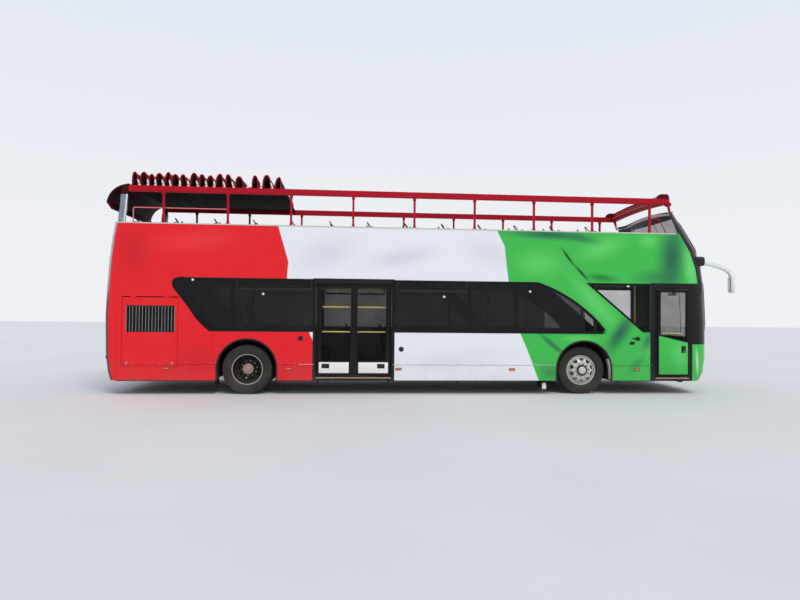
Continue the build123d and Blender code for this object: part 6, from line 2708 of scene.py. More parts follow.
@dataclass
class WindowBand:
    """Gaskets, black rear ends, tipping vents and sealant of the lower deck's side windows."""

    proud: float = 0.0015
    vent_z: float = 2.035

    def build(self, shop: Workshop) -> None:
        """Make the gaskets, the rear ends, the vents and the joints between the panes.

        Args:
            shop: finishes and patterns.
        """
        tail = [(-4.88, GLASS_TOP_Z), (-4.93, 2.225), (-4.91, 2.13), (-4.31, SILL_Z)]
        tip = swoop()[:-1] + [(3.548, 1.278), (3.535, 1.246), (3.50, SILL_Z)]
        cab = [(3.13, GLASS_TOP_Z), (4.31, 1.26)]
        outlines = {
            Side.RIGHT: [
                tail + [(-2.30, SILL_Z), (-2.30, GLASS_TOP_Z)],
                [(-0.78, SILL_Z), (-0.78, GLASS_TOP_Z)] + tip,
                cab + [(4.46, 1.26), (4.46, GLASS_TOP_Z)],
            ],
            Side.LEFT: [tail + tip[::-1], cab + [(5.30, 1.26), (5.30, GLASS_TOP_Z)]],
        }
        lines = []
        for side, shapes in outlines.items():
            for shape in shapes:
                lines.append([(x, side.value * (HALF_W + self.proud), z) for x, z in shape])
        for k, line in enumerate(lines):
            shop.bead(
                f"glass_gasket_{k}", [line], 0.004, 0.014, "rubber", "bus_body", "frame_dark",
                closed=True, smoothing=0.001
            )
        self._rear_ends(shop)
        self._vents(shop)
        self._joints(shop)

    def _rear_ends(self, shop: Workshop) -> None:
        """Black curved plate that ends the band at the tail.

        Args:
            shop: finishes and patterns.
        """
        edge = [(-4.78, 2.2575), (-4.866, 2.252), (-4.935, 2.238), (-4.977, 2.216), (-5.008, 2.178),
                (-5.018, 2.130), (-5.006, 2.075), (-4.974, 2.016),
                (-4.874, 1.892), (-4.774, 1.761), (-4.672, 1.622), (-4.574, 1.476), (-4.455, 1.345),
                (-4.365, 1.262), (-4.318, 1.234), (-4.25, 1.232)]
        inner = [(-4.22, 1.30), (-4.86, 2.20), (-4.78, 2.21)]
        plate = Workpiece("band_ends", "frame_black")
        for side in Side:
            y = side.value * (HALF_W + 0.0005)
            plate.plate([(x, y, z) for x, z in edge + inner], (0, side.value * 0.004, 0), 0.0012)
        dress(plate.make(shop.box), "bus_body")

    def _vents(self, shop: Workshop) -> None:
        """Tipping vents in the upper part of some panes.

        Args:
            shop: finishes and patterns.
        """
        spans = {
            Side.RIGHT: [(-0.70, 0.70), (-3.80, -2.36)],
            Side.LEFT: [(-3.80, -2.30), (-2.20, -0.80), (-0.66, 0.70)]
        }
        frame = Workpiece("vent_bars", "black_plastic")
        catches = []
        for side, pairs in spans.items():
            y = side.value * (HALF_W + 0.0005)
            for low, high in pairs:
                frame.block(
                    (low, y - 0.004, self.vent_z - 0.016), (high, y + 0.004, self.vent_z + 0.016),
                    0.002
                )
                frame.block(
                    (low, y - 0.003, self.vent_z), (low + 0.018, y + 0.003, CEILING_Z), 0.0015
                )
                frame.block(
                    (high - 0.018, y - 0.003, self.vent_z), (high, y + 0.003, CEILING_Z), 0.0015
                )
                catches += [
                    (low + 0.25 * (high - low), side.value * 1.222, self.vent_z + 0.02),
                    (low + 0.75 * (high - low), side.value * 1.222, self.vent_z + 0.02)
                ]
        dress(frame.make(shop.box), "bus_body")
        catch = Workpiece("catch", "black_plastic")
        catch.block((-0.03, -0.012, -0.01), (0.03, 0.012, 0.012), 0.004)
        catch.block((-0.01, -0.03, -0.006), (0.01, 0.0, 0.006), 0.003)
        shop.repeat("vent_catches", catch, catches, "bus_body", "black_plastic")

    def _joints(self, shop: Workshop) -> None:
        """Sealant between neighbouring panes.

        Args:
            shop: finishes and patterns.
        """
        lines = []
        stations = {Side.RIGHT: (-3.88, 0.74, 1.69), Side.LEFT: (-3.88, -2.26, -0.74, 0.74, 1.69)}
        for side, xs in stations.items():
            for x in xs:
                top = GLASS_TOP_Z - 0.01 if x < 2 else 2.0
                lines.append(
                    [
                        (x, side.value * (HALF_W - 0.001), SILL_Z + 0.01),
                        (x, side.value * (HALF_W - 0.001), top)
                    ]
                )
        shop.pipe("pane_joints", lines, 0.0035, "rubber", "bus_body", "frame_dark", bend=0.0)


@dataclass
class Doorway:
    """What hangs on one door leaf: plates, seals, bars and handle."""

    leaf: str
    low_x: float
    high_x: float
    foot_low: float
    foot_high: float
    painted: bool = False
    handle_x: Optional[float] = None
    slot_x: Optional[float] = None
    plate: tuple[float, float] = (0.0, 0.0)
    bar_zs: Sequence[float] = (1.22, 1.705)
    outer_y: float = -1.275
    low_z: float = 0.382
    high_z: float = 2.133

    def build(self, shop: Workshop) -> None:
        """Dress the leaf.

        Args:
            shop: finishes and patterns.
        """
        self._panel(shop)
        self._seals(shop)
        self._bars(shop)
        self._glass_seal(shop)
        if self.handle_x is not None:
            self._handle(shop)

    def _panel(self, shop: Workshop) -> None:
        """Plate over the leaf's lower part, and the vent in it.

        Args:
            shop: finishes and patterns.
        """
        y = self.outer_y - 0.0035
        low, high = self.low_x + 0.022, self.high_x - 0.022
        if self.painted:
            plate = Workpiece(self.leaf + "_panel", "door_paint")
            top_low, top_high = self.foot_low - 0.022, self.foot_high - 0.022
            corners = [(low, y, 0.405), (high, y, 0.405), (high, y, top_high), (low, y, top_low)]
        else:
            plate = Workpiece(self.leaf + "_kick_plate", "gloss_white")
            low, high = self.plate
            corners = [(low, y, 0.420), (high, y, 0.420), (high, y, 0.630), (low, y, 0.630)]
        plate.plate(corners, (0, 0.004, 0), 0.0012)
        dress(plate.make(shop.box), self.leaf)
        if self.slot_x is not None:
            slot = Workpiece(self.leaf + "_vent", "black_plastic")
            slot.block(
                (self.slot_x - 0.074, y - 0.003, 0.512), (self.slot_x + 0.074, y + 0.002, 0.600),
                0.004
            )
            for k in range(5):
                z = 0.528 + 0.016 * k
                slot.block(
                    (self.slot_x - 0.066, y - 0.0075, z),
                    (self.slot_x + 0.066, y - 0.002, z + 0.007), 0.002
                )
            dress(slot.make(shop.box), self.leaf)

    def _seals(self, shop: Workshop) -> None:
        """Rubber fingers on both upright edges, and seals along the foot and the top.

        Args:
            shop: finishes and patterns.
        """
        seal = Workpiece(self.leaf + "_seals", "rubber")
        y = self.outer_y + 0.02
        for x, way in ((self.low_x, -1), (self.high_x, 1)):
            seal.tube(
                [(x + way * 0.001, y, self.low_z + 0.02), (x + way * 0.001, y, self.high_z - 0.02)],
                0.0045, 10
            )
        seal.block(
            (self.low_x + 0.03, y - 0.006, self.low_z - 0.008),
            (self.high_x - 0.03, y + 0.006, self.low_z + 0.002), 0.002
        )
        seal.block(
            (self.low_x + 0.01, y - 0.006, self.high_z - 0.002),
            (self.high_x - 0.01, y + 0.006, self.high_z + 0.006), 0.002
        )
        dress(seal.make(shop.box), self.leaf)

    def _bars(self, shop: Workshop) -> None:
        """Yellow grab bars across the inside of the glass, on their brackets.

        Args:
            shop: finishes and patterns.
        """
        y = self.outer_y + 0.075
        low, high = self.low_x + 0.075, self.high_x - 0.075
        lines = [
            [
                (low, self.outer_y + 0.04, z), (low, y, z), (high, y, z),
                (high, self.outer_y + 0.04, z)
            ]
            for z in self.bar_zs
        ]
        shop.pipe(
            self.leaf + "_bars", lines, 0.0125, "handrail_yellow", self.leaf, "yellow", bend=0.03
        )

    def _glass_seal(self, shop: Workshop) -> None:
        """Gasket round the glass.

        Args:
            shop: finishes and patterns.
        """
        y = self.outer_y - 0.0005
        low, high = self.low_x + 0.055, self.high_x - 0.055
        top = self.high_z - 0.055
        line = [(low, y, self.foot_low), (high, y, self.foot_high), (high, y, top), (low, y, top)]
        shop.bead(
            self.leaf + "_gasket", [line], 0.004, 0.012, "rubber", self.leaf, "frame_dark",
            closed=True, smoothing=0.001
        )

    def _handle(self, shop: Workshop) -> None:
        """Recessed pull handle with its lock.

        Args:
            shop: finishes and patterns.
        """
        y = self.outer_y - 0.004
        handle = Workpiece(self.leaf + "_handle", "black_plastic")
        x = float(self.handle_x or 0.0)
        handle.block((x - 0.045, y - 0.004, 0.845), (x + 0.045, y + 0.002, 0.985), 0.006)
        handle.block((x - 0.034, y - 0.018, 0.90), (x + 0.034, y - 0.006, 0.925), 0.005)
        for end in (-0.026, 0.026):
            handle.block(
                (x + end - 0.006, y - 0.016, 0.903), (x + end + 0.006, y - 0.002, 0.922), 0.002
            )
        dress(handle.make(shop.box), self.leaf)
        lock = Workpiece(self.leaf + "_lock", "bright_steel")
        lock.lathe(
            [(0.002, 0.0), (0.002, 0.012), (-0.005, 0.012), (-0.006, 0.009), (-0.006, 0.0)],
            (x + 0.012, y - 0.003, 0.868), "Y", 20, closed=False
        )
        dress(lock.make(shop.box), self.leaf)


def all_doors() -> list[Doorway]:
    """The three door leaves.

    Returns:
        The leaves.
    """
    return [
        Doorway(
            "front_door", 4.630, 5.284, 1.21, 1.07, painted=True, handle_x=5.17, bar_zs=(1.235,)
        ),
        Doorway(
            "mid_door_rear", -2.225, -1.546, 0.655, 0.655, slot_x=-2.085, plate=(-2.213, -1.634)
        ),
        Doorway(
            "mid_door_front", -1.534, -0.855, 0.655, 0.655, slot_x=-1.007, plate=(-1.447, -0.867)
        ),
    ]


@dataclass
class Thresholds:
    """Worn strips along the foot of both doorways, and the header bars over them."""

    spans: Sequence[tuple[float, float]] = ((-2.272, -0.808), (4.583, 5.282))

    def build(self, shop: Workshop) -> None:
        """Make the strips, their ribs and the header bars.

        Args:
            shop: finishes and patterns.
        """
        strip = Workpiece("threshold_strips", "threshold")
        for low, high in self.spans:
            strip.block((low, -1.2775, 0.318), (high, -1.2735, 0.336), 0.0015)
            strip.block((low + 0.05, -1.222, 0.3405), (high - 0.05, -1.165, 0.3435), 0.001)
        dress(strip.make(shop.box), "bus_body")
        rib = Workpiece("rib", "threshold")
        rib.block((-0.004, -0.024, 0.0), (0.004, 0.024, 0.0018), 0.0008, 1)
        places = []
        for low, high in self.spans:
            count = int((high - low - 0.14) / 0.02)
            places += [(low + 0.07 + 0.02 * n, -1.1935, 0.3435) for n in range(count)]
        shop.repeat("threshold_ribs", rib, places, "bus_body", "aluminium")
        header = Workpiece("door_headers", "frame_black")
        for low, high in self.spans:
            header.block((low, -JAMB_Y, HEAD_Z), (high, -1.238, 2.250), 0.004)
        dress(header.make(shop.box), "bus_body")


def nose_front(y: float, z: float, proud: float = 0.0) -> Point:
    """Point on the bowed front of the nose.

    Args:
        y: place across.
        z: height.
        proud: how far outside the skin it lies.

    Returns:
        The point.
    """
    _, nose_in = ring_at(BODY_RINGS, z)
    bow = 0.07
    big = (HALF_W * HALF_W + bow * bow) / (2 * bow)
    front = NOSE_X - nose_in
    return (front - big + math.sqrt(big * big - y * y) + proud, y, z)


@dataclass
class NoseFront:
    """Lamps, wipers, grille, blank sign, plate and brow on the nose, and the mirrors."""

    def build(self, shop: Workshop) -> None:
        """Make every fitting of the nose.

        Args:
            shop: finishes and patterns.
        """
        self._lamps(shop)
        self._wipers(shop)
        self._grille(shop)
        self._sign(shop)
        self._screens(shop)
        self._mirrors(shop)
        self._brow(shop)

    def _brow(self, shop: Workshop) -> None:
        """Rim along the arched top edge of the upper screen's frame, and its lining, both
        near-white as a painted reflection of the sky.

        Args:
            shop: finishes and patterns.
        """
        front = [point for point in body_outline(3.80, -0.016)[9:-9] if abs(point[1]) < 1.245]
        rim = []
        for x, y, _ in front:
            z = 3.82 - 0.09 * (y / HALF_W) ** 2
            rim.append((x - 1.3 * (z - 3.80), y, z))
        shop.bead(
            "brow_rim", [rim], 0.044, 0.018, "brow_silver", "bus_body", "aluminium", smoothing=0.005
        )
        inner = []
        for x, y, _ in [point for point in body_outline(3.76, -0.054)[9:-9] if abs(point[1]) < 1.2]:
            z = 3.782 - 0.09 * (y / HALF_W) ** 2
            inner.append((x - 1.3 * (z - 3.76), y, z))
        shop.bead(
            "brow_lining", [inner], 0.014, 0.060, "brow_silver", "bus_body", "aluminium",
            smoothing=0.004
        )

    def _lamps(self, shop: Workshop) -> None:
        """Reflectors and bulbs behind the clear lenses, and the rims round them.

        Args:
            shop: finishes and patterns.
        """
        bowls = Workpiece("lamp_reflectors", "reflector")
        bulbs = Workpiece("lamp_bulbs", "lens_clear")
        for side in Side:
            sign = side.value
            for y, z, radius in ((0.70, 0.65, 0.062), (0.885, 0.65, 0.062), (0.86, 0.43, 0.036)):
                x = nose_front(y, z)[0] - 0.062
                bowl = [
                    (0.008, radius), (0.006, radius + 0.004), (-0.055, radius * 0.45),
                    (-0.060, 0.0), (-0.054, 0.0), (-0.050, radius * 0.38), (0.0, radius - 0.006)
                ]
                bowls.lathe(bowl, (x, sign * y, z), "X", 32, closed=True)
                bulbs.lathe(
                    [
                        (-0.052, 0.0), (-0.052, 0.010), (-0.025, 0.012), (-0.016, 0.008),
                        (-0.013, 0.0)
                    ],
                    (x, sign * y, z), "X", 16, closed=False
                )
        dress(bowls.make(shop.box), "bus_body")
        dress(bulbs.make(shop.box), "bus_body")
        rims = []
        for side in Side:
            for cy, cz, wide, high in ((0.80, 0.65, 0.36, 0.17), (0.86, 0.43, 0.13, 0.09)):
                outline = []
                for k in range(28):
                    turn = 2 * math.pi * k / 28
                    y = cy + (wide / 2 + 0.006) * math.copysign(
                        abs(math.cos(turn)) ** 0.55, math.cos(turn)
                    )
                    z = cz + (high / 2 + 0.006) * math.copysign(
                        abs(math.sin(turn)) ** 0.7, math.sin(turn)
                    )
                    outline.append(nose_front(side.value * y, z, 0.002))
                rims.append(outline)
        shop.pipe(
            "lamp_rims", rims, 0.006, "black_plastic", "bus_body", "black_plastic", bend=0.0,
            closed=True
        )

    def _wipers(self, shop: Workshop) -> None:
        """Two wipers parked across the foot of the lower screen.

        Args:
            shop: finishes and patterns.
        """
        arms = Workpiece("wiper_arms", "black_plastic")
        blades = Workpiece("wiper_blades", "rubber")
        for pivot, tip in ((-0.78, -0.12), (0.10, 0.76)):
            foot = nose_front(pivot, 1.05, 0.03)
            arms.lathe(
                [(-0.04, 0.0), (-0.04, 0.024), (0.0, 0.024), (0.012, 0.016), (0.012, 0.0)], foot,
                "X", 20, closed=False
            )
            knee = nose_front(pivot + 0.25 * (tip - pivot), 1.085, 0.045)
            end = nose_front(0.5 * (pivot + tip) + 0.12, 1.155, 0.032)
            arms.tube([foot, knee, end], 0.009, 8)
            line = [
                nose_front(pivot + 0.05 + (tip - pivot + 0.12) * k / 10, 1.15 + 0.004 * k, 0.014)
                for k in range(11)
            ]
            blades.tube(line, 0.006, 6)
            arms.tube([(x + 0.010, y, z) for x, y, z in line[1:-1]], 0.0045, 6)
        dress(arms.make(shop.box), "bus_body")
        dress(blades.make(shop.box), "bus_body")

    def _grille(self, shop: Workshop) -> None:
        """Slats low in the nose, the bumper's joints, the blank plate and the towing cover.

        Args:
            shop: finishes and patterns.
        """
        slat = Workpiece("slat", "black_plastic")
        slat.block((-0.008, -0.40, -0.006), (0.010, 0.40, 0.006), 0.003)
        places, turns = [], []
        for k in range(5):
            z = 0.50 + 0.03 * k
            places.append((nose_front(0.0, z)[0] + 0.001, 0.0, z))
            turns.append((0.0, 0.35, 0.0))
        shop.repeat("nose_slats", slat, places, "bus_body", "black_plastic", turns)
        joints = [
            [nose_front(y / 10, 0.755, 0.001) for y in range(-10, 11)],
            [nose_front(y / 10, 0.345, 0.001) for y in range(-9, 10)]
        ]
        shop.pipe("bumper_joints", joints, 0.003, "rubber", "bus_body", "frame_dark", bend=0.0)
        plate = Workpiece("front_plate", "plate_white")
        x = nose_front(0.26, 0.40)[0]
        plate.block((x - 0.004, -0.26, 0.345), (x + 0.008, 0.26, 0.455), 0.004)
        dress(plate.make(shop.box), "bus_body")
        cover = Workpiece("tow_cover", "black_plastic")
        x, _, _ = nose_front(0.46, 0.40)
        cover.block((x - 0.006, 0.42, 0.36), (x + 0.006, 0.51, 0.44), 0.008)
        dress(cover.make(shop.box), "bus_body")

    def _sign(self, shop: Workshop) -> None:
        """Blank destination sign with its frame, between the two screens.

        Args:
            shop: finishes and patterns.
        """
        sign = Workpiece("blank_sign", "display_black")
        rows = []
        for z in (2.555, 2.735):
            rows.append([nose_front(-0.74 + 1.48 * k / 12, z, 0.003) for k in range(13)])
        outline = rows[0] + rows[1][::-1]
        sign.loft([outline, [(x - 0.008, y, z) for x, y, z in outline]])
        dress(sign.make(shop.box), "bus_body")
        frame_line = [[(x + 0.001, y, z) for x, y, z in outline]]
        shop.pipe(
            "sign_frame", frame_line, 0.006, "rubber", "bus_body", "frame_dark", bend=0.0,
            closed=True
        )

    def _screens(self, shop: Workshop) -> None:
        """Rubber round both windscreens and the joint down the middle of each.

        Args:
            shop: finishes and patterns.
        """
        lines = []
        for low, high, half in ((1.11, 2.50, 1.01), (2.79, SCREEN_TOP_Z, 1.03)):
            outline = []
            for k in range(44):
                turn = 2 * math.pi * k / 44
                y = (half + 0.002) * math.copysign(abs(math.cos(turn)) ** 0.28, math.cos(turn))
                z = (low + high) / 2 + (high - low) / 2 * math.copysign(
                    abs(math.sin(turn)) ** 0.34, math.sin(turn)
                )
                outline.append(nose_front(y, z, 0.001))
            lines.append(outline)
        shop.pipe(
            "screen_rubbers", lines, 0.009, "rubber", "bus_body", "frame_dark", bend=0.0,
            closed=True
        )
        middle = [
            [nose_front(0.0, 1.12 + 1.37 * k / 10, 0.0005) for k in range(11)],
            [nose_front(0.0, 2.80 + (SCREEN_TOP_Z - 2.81) * k / 10, 0.0005) for k in range(11)]
        ]
        shop.pipe("screen_joints", middle, 0.005, "rubber", "bus_body", "frame_dark", bend=0.0)

    def _mirrors(self, shop: Workshop) -> None:
        """Slim white arms that droop ahead of the corners, with their heads and black mounts.

        Args:
            shop: finishes and patterns.
        """
        arms = Workpiece("mirror_arms", "gloss_white")
        glass = Workpiece("mirror_glass", "mirror_face")
        mount = Workpiece("mirror_mounts", "black_plastic")
        rims = []
        for side in Side:
            y = side.value * 1.15
            self._arm(arms, y)
            rims.append(self._head(arms, glass, side))
            mount.block((5.44, y - 0.085, 2.63), (5.675, y + 0.085, 2.825), 0.055, 4)
        arm_piece = dress(arms.make(shop.box, 40), "bus_body")
        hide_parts("mirrors")
        dress(glass.make(shop.box), "bus_body")
        dress(mount.make(shop.box), "bus_body")
        shop.pipe(
            "mirror_rims", rims, 0.005, "rubber", "bus_body", "black_plastic", bend=0.012,
            closed=True
        )

    @staticmethod
    def _arm(arms: Workpiece, y: float) -> None:
        """Drooping arm of one mirror.

        Args:
            arms: the piece that it is added to.
            y: its middle.
        """
        line = (
            (5.63, 2.725), (5.77, 2.706), (5.91, 2.674), (6.03, 2.640), (6.14, 2.600),
            (6.225, 2.552), (6.278, 2.49), (6.305, 2.42), (6.312, 2.34)
        )
        rings = []
        for k, (x, z) in enumerate(line):
            before, after = line[max(k - 1, 0)], line[min(k + 1, len(line) - 1)]
            along = math.atan2(after[1] - before[1], after[0] - before[0])
            ring = []
            for n in range(20):
                turn = 2 * math.pi * n / 20
                across = 0.042 * math.copysign(abs(math.cos(turn)) ** 0.6, math.cos(turn))
                up = 0.064 * math.copysign(abs(math.sin(turn)) ** 0.6, math.sin(turn))
                ring.append((x - up * math.sin(along), y + across, z + up * math.cos(along)))
            rings.append(ring)
        arms.loft(rings)

    @staticmethod
    def _head(arms: Workpiece, glass: Workpiece, side: Side) -> list[Point]:
        """Head of one mirror, turned inward to the driver.

        Args:
            arms: the piece that the head is added to.
            glass: the piece that its reflecting face is added to.
            side: which mirror it is.

        Returns:
            The outline of the face's rim.
        """
        turn = math.radians(22.5)
        facing = Vector((-math.cos(turn), -side.value * math.sin(turn), 0))
        across = Vector((-facing.y, facing.x, 0))
        centre = Vector((6.290, side.value * 1.15, 0))
        rings = []
        for z, share in (
            (2.080, 0.72), (2.088, 0.90), (2.110, 1.0), (2.400, 1.0), (2.435, 0.90), (2.452, 0.66)
        ):
            ring = []
            for n in range(24):
                angle = 2 * math.pi * n / 24
                u = 0.122 * share * math.copysign(abs(math.cos(angle)) ** 0.45, math.cos(angle))
                v = 0.052 * share * math.copysign(abs(math.sin(angle)) ** 0.55, math.sin(angle))
                ring.append(tuple(centre + across * u + facing * v + Vector((0, 0, z))))
            rings.append(ring)
        arms.loft(rings)
        face = centre + facing * 0.0525
        corners = ((-0.098, 2.125), (0.098, 2.125), (0.098, 2.395), (-0.098, 2.395))
        outline = [tuple(face + across * u + Vector((0, 0, z))) for u, z in corners]
        glass.plate(outline, tuple(facing * 0.003), 0.001)
        return outline


@dataclass
class TailEnd:
    """Lamps, handle, louvres and blank plate on the tail, and the slats of the intake flap."""

    def build(self, shop: Workshop) -> None:
        """Make every fitting of the tail.

        Args:
            shop: finishes and patterns.
        """
        self._lamps(shop)
        self._lid(shop)
        self._flap(shop)
        self._bumper(shop)
        self._pillars(shop)

    def _lamps(self, shop: Workshop) -> None:
        """Bezels round the tail lamps, the high marker lenses and the low reflex discs.

        Args:
            shop: finishes and patterns.
        """
        bezel = Workpiece("bezel", "black_plastic")
        bezel.lathe(
            [(-0.006, 0.050), (-0.006, 0.060), (0.002, 0.060), (0.002, 0.050)], (0, 0, 0), "X", 36
        )
        places = []
        for side in Side:
            for z in (0.98, 1.10, 1.22):
                places.append((TAIL_X + ring_at(BODY_RINGS, z)[0] - 0.001, side.value * 1.025, z))
        shop.repeat("lamp_bezels", bezel, places, "bus_body", "black_plastic")
        lens = Workpiece("small_lens", "lens_red")
        lens.block((-0.012, -0.045, -0.016), (0.004, 0.045, 0.016), 0.005, 3)
        high = [
            (TAIL_X + ring_at(BODY_RINGS, 3.12)[0] + 0.002, y, 3.12) for y in (-0.95, 0.0, 0.95)
        ]
        shop.repeat("high_lenses", lens, high, "bus_body", "lamp_red")
        reflex = Workpiece("reflex", "lens_red")
        reflex.lathe(
            [(0.004, 0.0), (0.004, 0.038), (-0.006, 0.038), (-0.009, 0.030), (-0.009, 0.0)],
            (0, 0, 0), "X", 28, closed=False
        )
        low = [(TAIL_X + ring_at(BODY_RINGS, 0.60)[0], y, 0.60) for y in (-1.02, 1.02)]
        shop.repeat("reflex_discs", reflex, low, "bus_body", "lamp_red")

    def _lid(self, shop: Workshop) -> None:
        """Louvres pressed in the engine lid, and its latch.

        Args:
            shop: finishes and patterns.
        """
        louvre = Workpiece("louvre", "frame_black")
        section = [
            (0.002, 0.016), (-0.006, 0.011), (-0.015, -0.007), (-0.012, -0.010), (0.002, 0.005)
        ]
        louvre.loft(
            [
                [(x * shut, y, z * shut) for x, z in section]
                for y, shut in ((-0.25, 0.4), (-0.235, 1.0), (0.235, 1.0), (0.25, 0.4))
            ]
        )
        places = []
        for y in (-0.45, 0.45):
            for k in range(9):
                z = 1.16 + 0.055 * k
                places.append((TAIL_X + ring_at(BODY_RINGS, z)[0] - 0.001, y, z))
        shop.repeat("lid_louvres", louvre, places, "engine_lid", "frame_dark")
        latch = Workpiece("lid_latch", "black_plastic")
        x = TAIL_X + ring_at(BODY_RINGS, 0.90)[0]
        latch.block((x - 0.010, -0.09, 0.865), (x + 0.002, 0.09, 0.935), 0.005)
        latch.block((x - 0.026, -0.06, 0.885), (x - 0.014, 0.06, 0.905), 0.005)
        for y in (-0.05, 0.05):
            latch.block((x - 0.022, y - 0.008, 0.887), (x - 0.006, y + 0.008, 0.903), 0.002)
        dress(latch.make(shop.box), "engine_lid")

    def _flap(self, shop: Workshop) -> None:
        """Slats behind the openings of the intake flap, the pale fins before them and its catches.

        Args:
            shop: finishes and patterns.
        """
        low_x, high_x = -5.93, -4.89
        fin = Workpiece("fin", "rim_silver")
        fin.block((-0.004, -0.009, 0.0), (0.004, 0.001, 0.485), 0.0015, 1)
        fins = [(-5.845 + 0.0596 * k, -HALF_W, 1.2025) for k in range(16)]
        shop.repeat("flap_fins", fin, fins, "engine_flap", "steel")
        bars = Workpiece("flap_fin_bars", "black_plastic")
        for z in (1.196, 1.440, 1.684):
            bars.block((-5.855, -HALF_W - 0.004, z), (-4.945, -HALF_W + 0.001, z + 0.010), 0.001, 1)
        dress(bars.make(shop.box), "engine_flap")
        count, margin = 9, 0.09
        pitch = (high_x - low_x - 2 * margin) / count
        slat = Workpiece("slat", "black_plastic")
        slat.block(
            (-0.5 * 0.52 * pitch, -0.002, -0.004), (0.5 * 0.52 * pitch, 0.002, 0.004), 0.001, 1
        )
        places, turns = [], []
        centre = (low_x + high_x) / 2
        for k in range(count):
            x = centre + (k - (count - 1) / 2) * pitch
            for n in range(22):
                places.append((x, -1.246, 1.225 + 0.02 * n))
                turns.append((0.6, 0.0, 0.0))
        shop.repeat("flap_slats", slat, places, "engine_flap", "black_plastic", turns)
        mesh_back = Workpiece("flap_screen", "chassis_black")
        mesh_back.block((low_x + 0.07, -1.2285, 1.19), (high_x - 0.07, -1.2265, 1.68), 0.0005, 1)
        dress(mesh_back.make(shop.box), "engine_flap")
        catch = Workpiece("catch", "bright_steel")
        catch.lathe(
            [(0.002, 0.0), (0.002, 0.020), (-0.003, 0.020), (-0.005, 0.015), (-0.005, 0.0)],
            (0, 0, 0), "Y", 24, closed=False
        )
        catch.block((-0.012, -0.008, -0.002), (0.012, -0.004, 0.002), 0.001)
        shop.repeat(
            "flap_catches", catch, [(low_x + 0.1, -1.275, 0.60), (high_x - 0.1, -1.275, 0.60)],
            "engine_flap", "steel"
        )

    def _bumper(self, shop: Workshop) -> None:
        """Rubber band, blank plate and its lamps low on the tail.

        Args:
            shop: finishes and patterns.
        """
        rear = [p for p in body_outline(0.70, 0.004) if p[0] < -6.0 and abs(p[1]) < 1.16]
        half = len(rear) // 2
        band = rear[half:] + rear[:half]
        shop.bead(
            "tail_band", [band], 0.012, 0.05, "rubber", "bus_body", "black_plastic", smoothing=0.003
        )
        plate = Workpiece("rear_plate", "plate_white")
        x = TAIL_X + ring_at(BODY_RINGS, 0.52)[0]
        plate.block((x - 0.010, -0.26, 0.465), (x + 0.002, 0.26, 0.575), 0.004)
        dress(plate.make(shop.box), "bus_body")
        lamp = Workpiece("plate_lamps", "black_plastic")
        for y in (-0.12, 0.12):
            lamp.block((x - 0.03, y - 0.03, 0.582), (x + 0.002, y + 0.03, 0.604), 0.005)
        dress(lamp.make(shop.box), "bus_body")

    def _pillars(self, shop: Workshop) -> None:
        """Bright foil sleeves and pale edges on the rear corner pillars.

        Args:
            shop: finishes and patterns.
        """
        sleeve = Workpiece("pillar_sleeves", "wrinkled_foil")
        for side in Side:
            y0, y1 = side.value * 1.24 - 0.034, side.value * 1.24 + 0.034
            rings = []
            for k in range(9):
                part = k / 8 * 0.8
                z = PARAPET_Z + 0.004 + part * 0.66
                shift = 0.004 * math.sin(5.3 * k)
                back = -6.025 + part * 0.06 - 0.006 + shift
                front = -5.915 + part * 0.055 + 0.006 + shift
                rings.append([(back, y0, z), (front, y0, z), (front, y1, z), (back, y1, z)])
            sleeve.loft(rings)
        dress(sleeve.make(shop.box, 60), "bus_body")
        edge = Workpiece("pillar_edges", "plate_white")
        for side in Side:
            y0, y1 = side.value * 1.278 - 0.003, side.value * 1.278 + 0.003
            rings = []
            for k in range(5):
                part = k / 4 * 0.8
                z = PARAPET_Z + 0.004 + part * 0.66
                front = -5.905 + part * 0.055
                rings.append(
                    [
                        (front - 0.022, y0, z), (front + 0.004, y0, z), (front + 0.004, y1, z),
                        (front - 0.022, y1, z)
                    ]
                )
            edge.loft(rings)
        dress(edge.make(shop.box, 60), "bus_body")


SEAT_PITCH = 0.76
SEAT_Y = 0.7575
DECK_SEAT_X = -5.69


def deck_seat_rows() -> list[tuple[float, float]]:
    """X and Y of every seat on the upper deck.

    Returns:
        X and Y of the seats.
    """
    rows = []
    for row in range(13):
        x = DECK_SEAT_X + row * SEAT_PITCH
        beside_well = x + 0.43 > 0.28 and x - 0.1 < 2.34
        for side in Side:
            if side is Side.LEFT and beside_well:
                continue
            rows += [(x, side.value * SEAT_Y + dy) for dy in (-SEAT_HALF, SEAT_HALF)]
    return rows


def saloon_seat_rows() -> list[tuple[float, float, float]]:
    """X, Y and cushion height of every seat in the lower saloon.

    Returns:
        X, Y and height of the cushions.
    """
    right = [(-4.74, 1.17), (-3.84, 1.21), (-0.54, 0.77), (0.24, 0.77), (1.02, 0.77)]
    left = [(-4.74, 1.17), (-3.84, 1.21), (-2.39, 0.77), (-1.63, 0.77), (-0.87, 0.77)]
    rows = []
    for sign, table in ((-1, right), (1, left)):
        for x, top in table:
            rows += [(x, sign * SEAT_Y + dy, top) for dy in (-SEAT_HALF, SEAT_HALF)]
    return rows


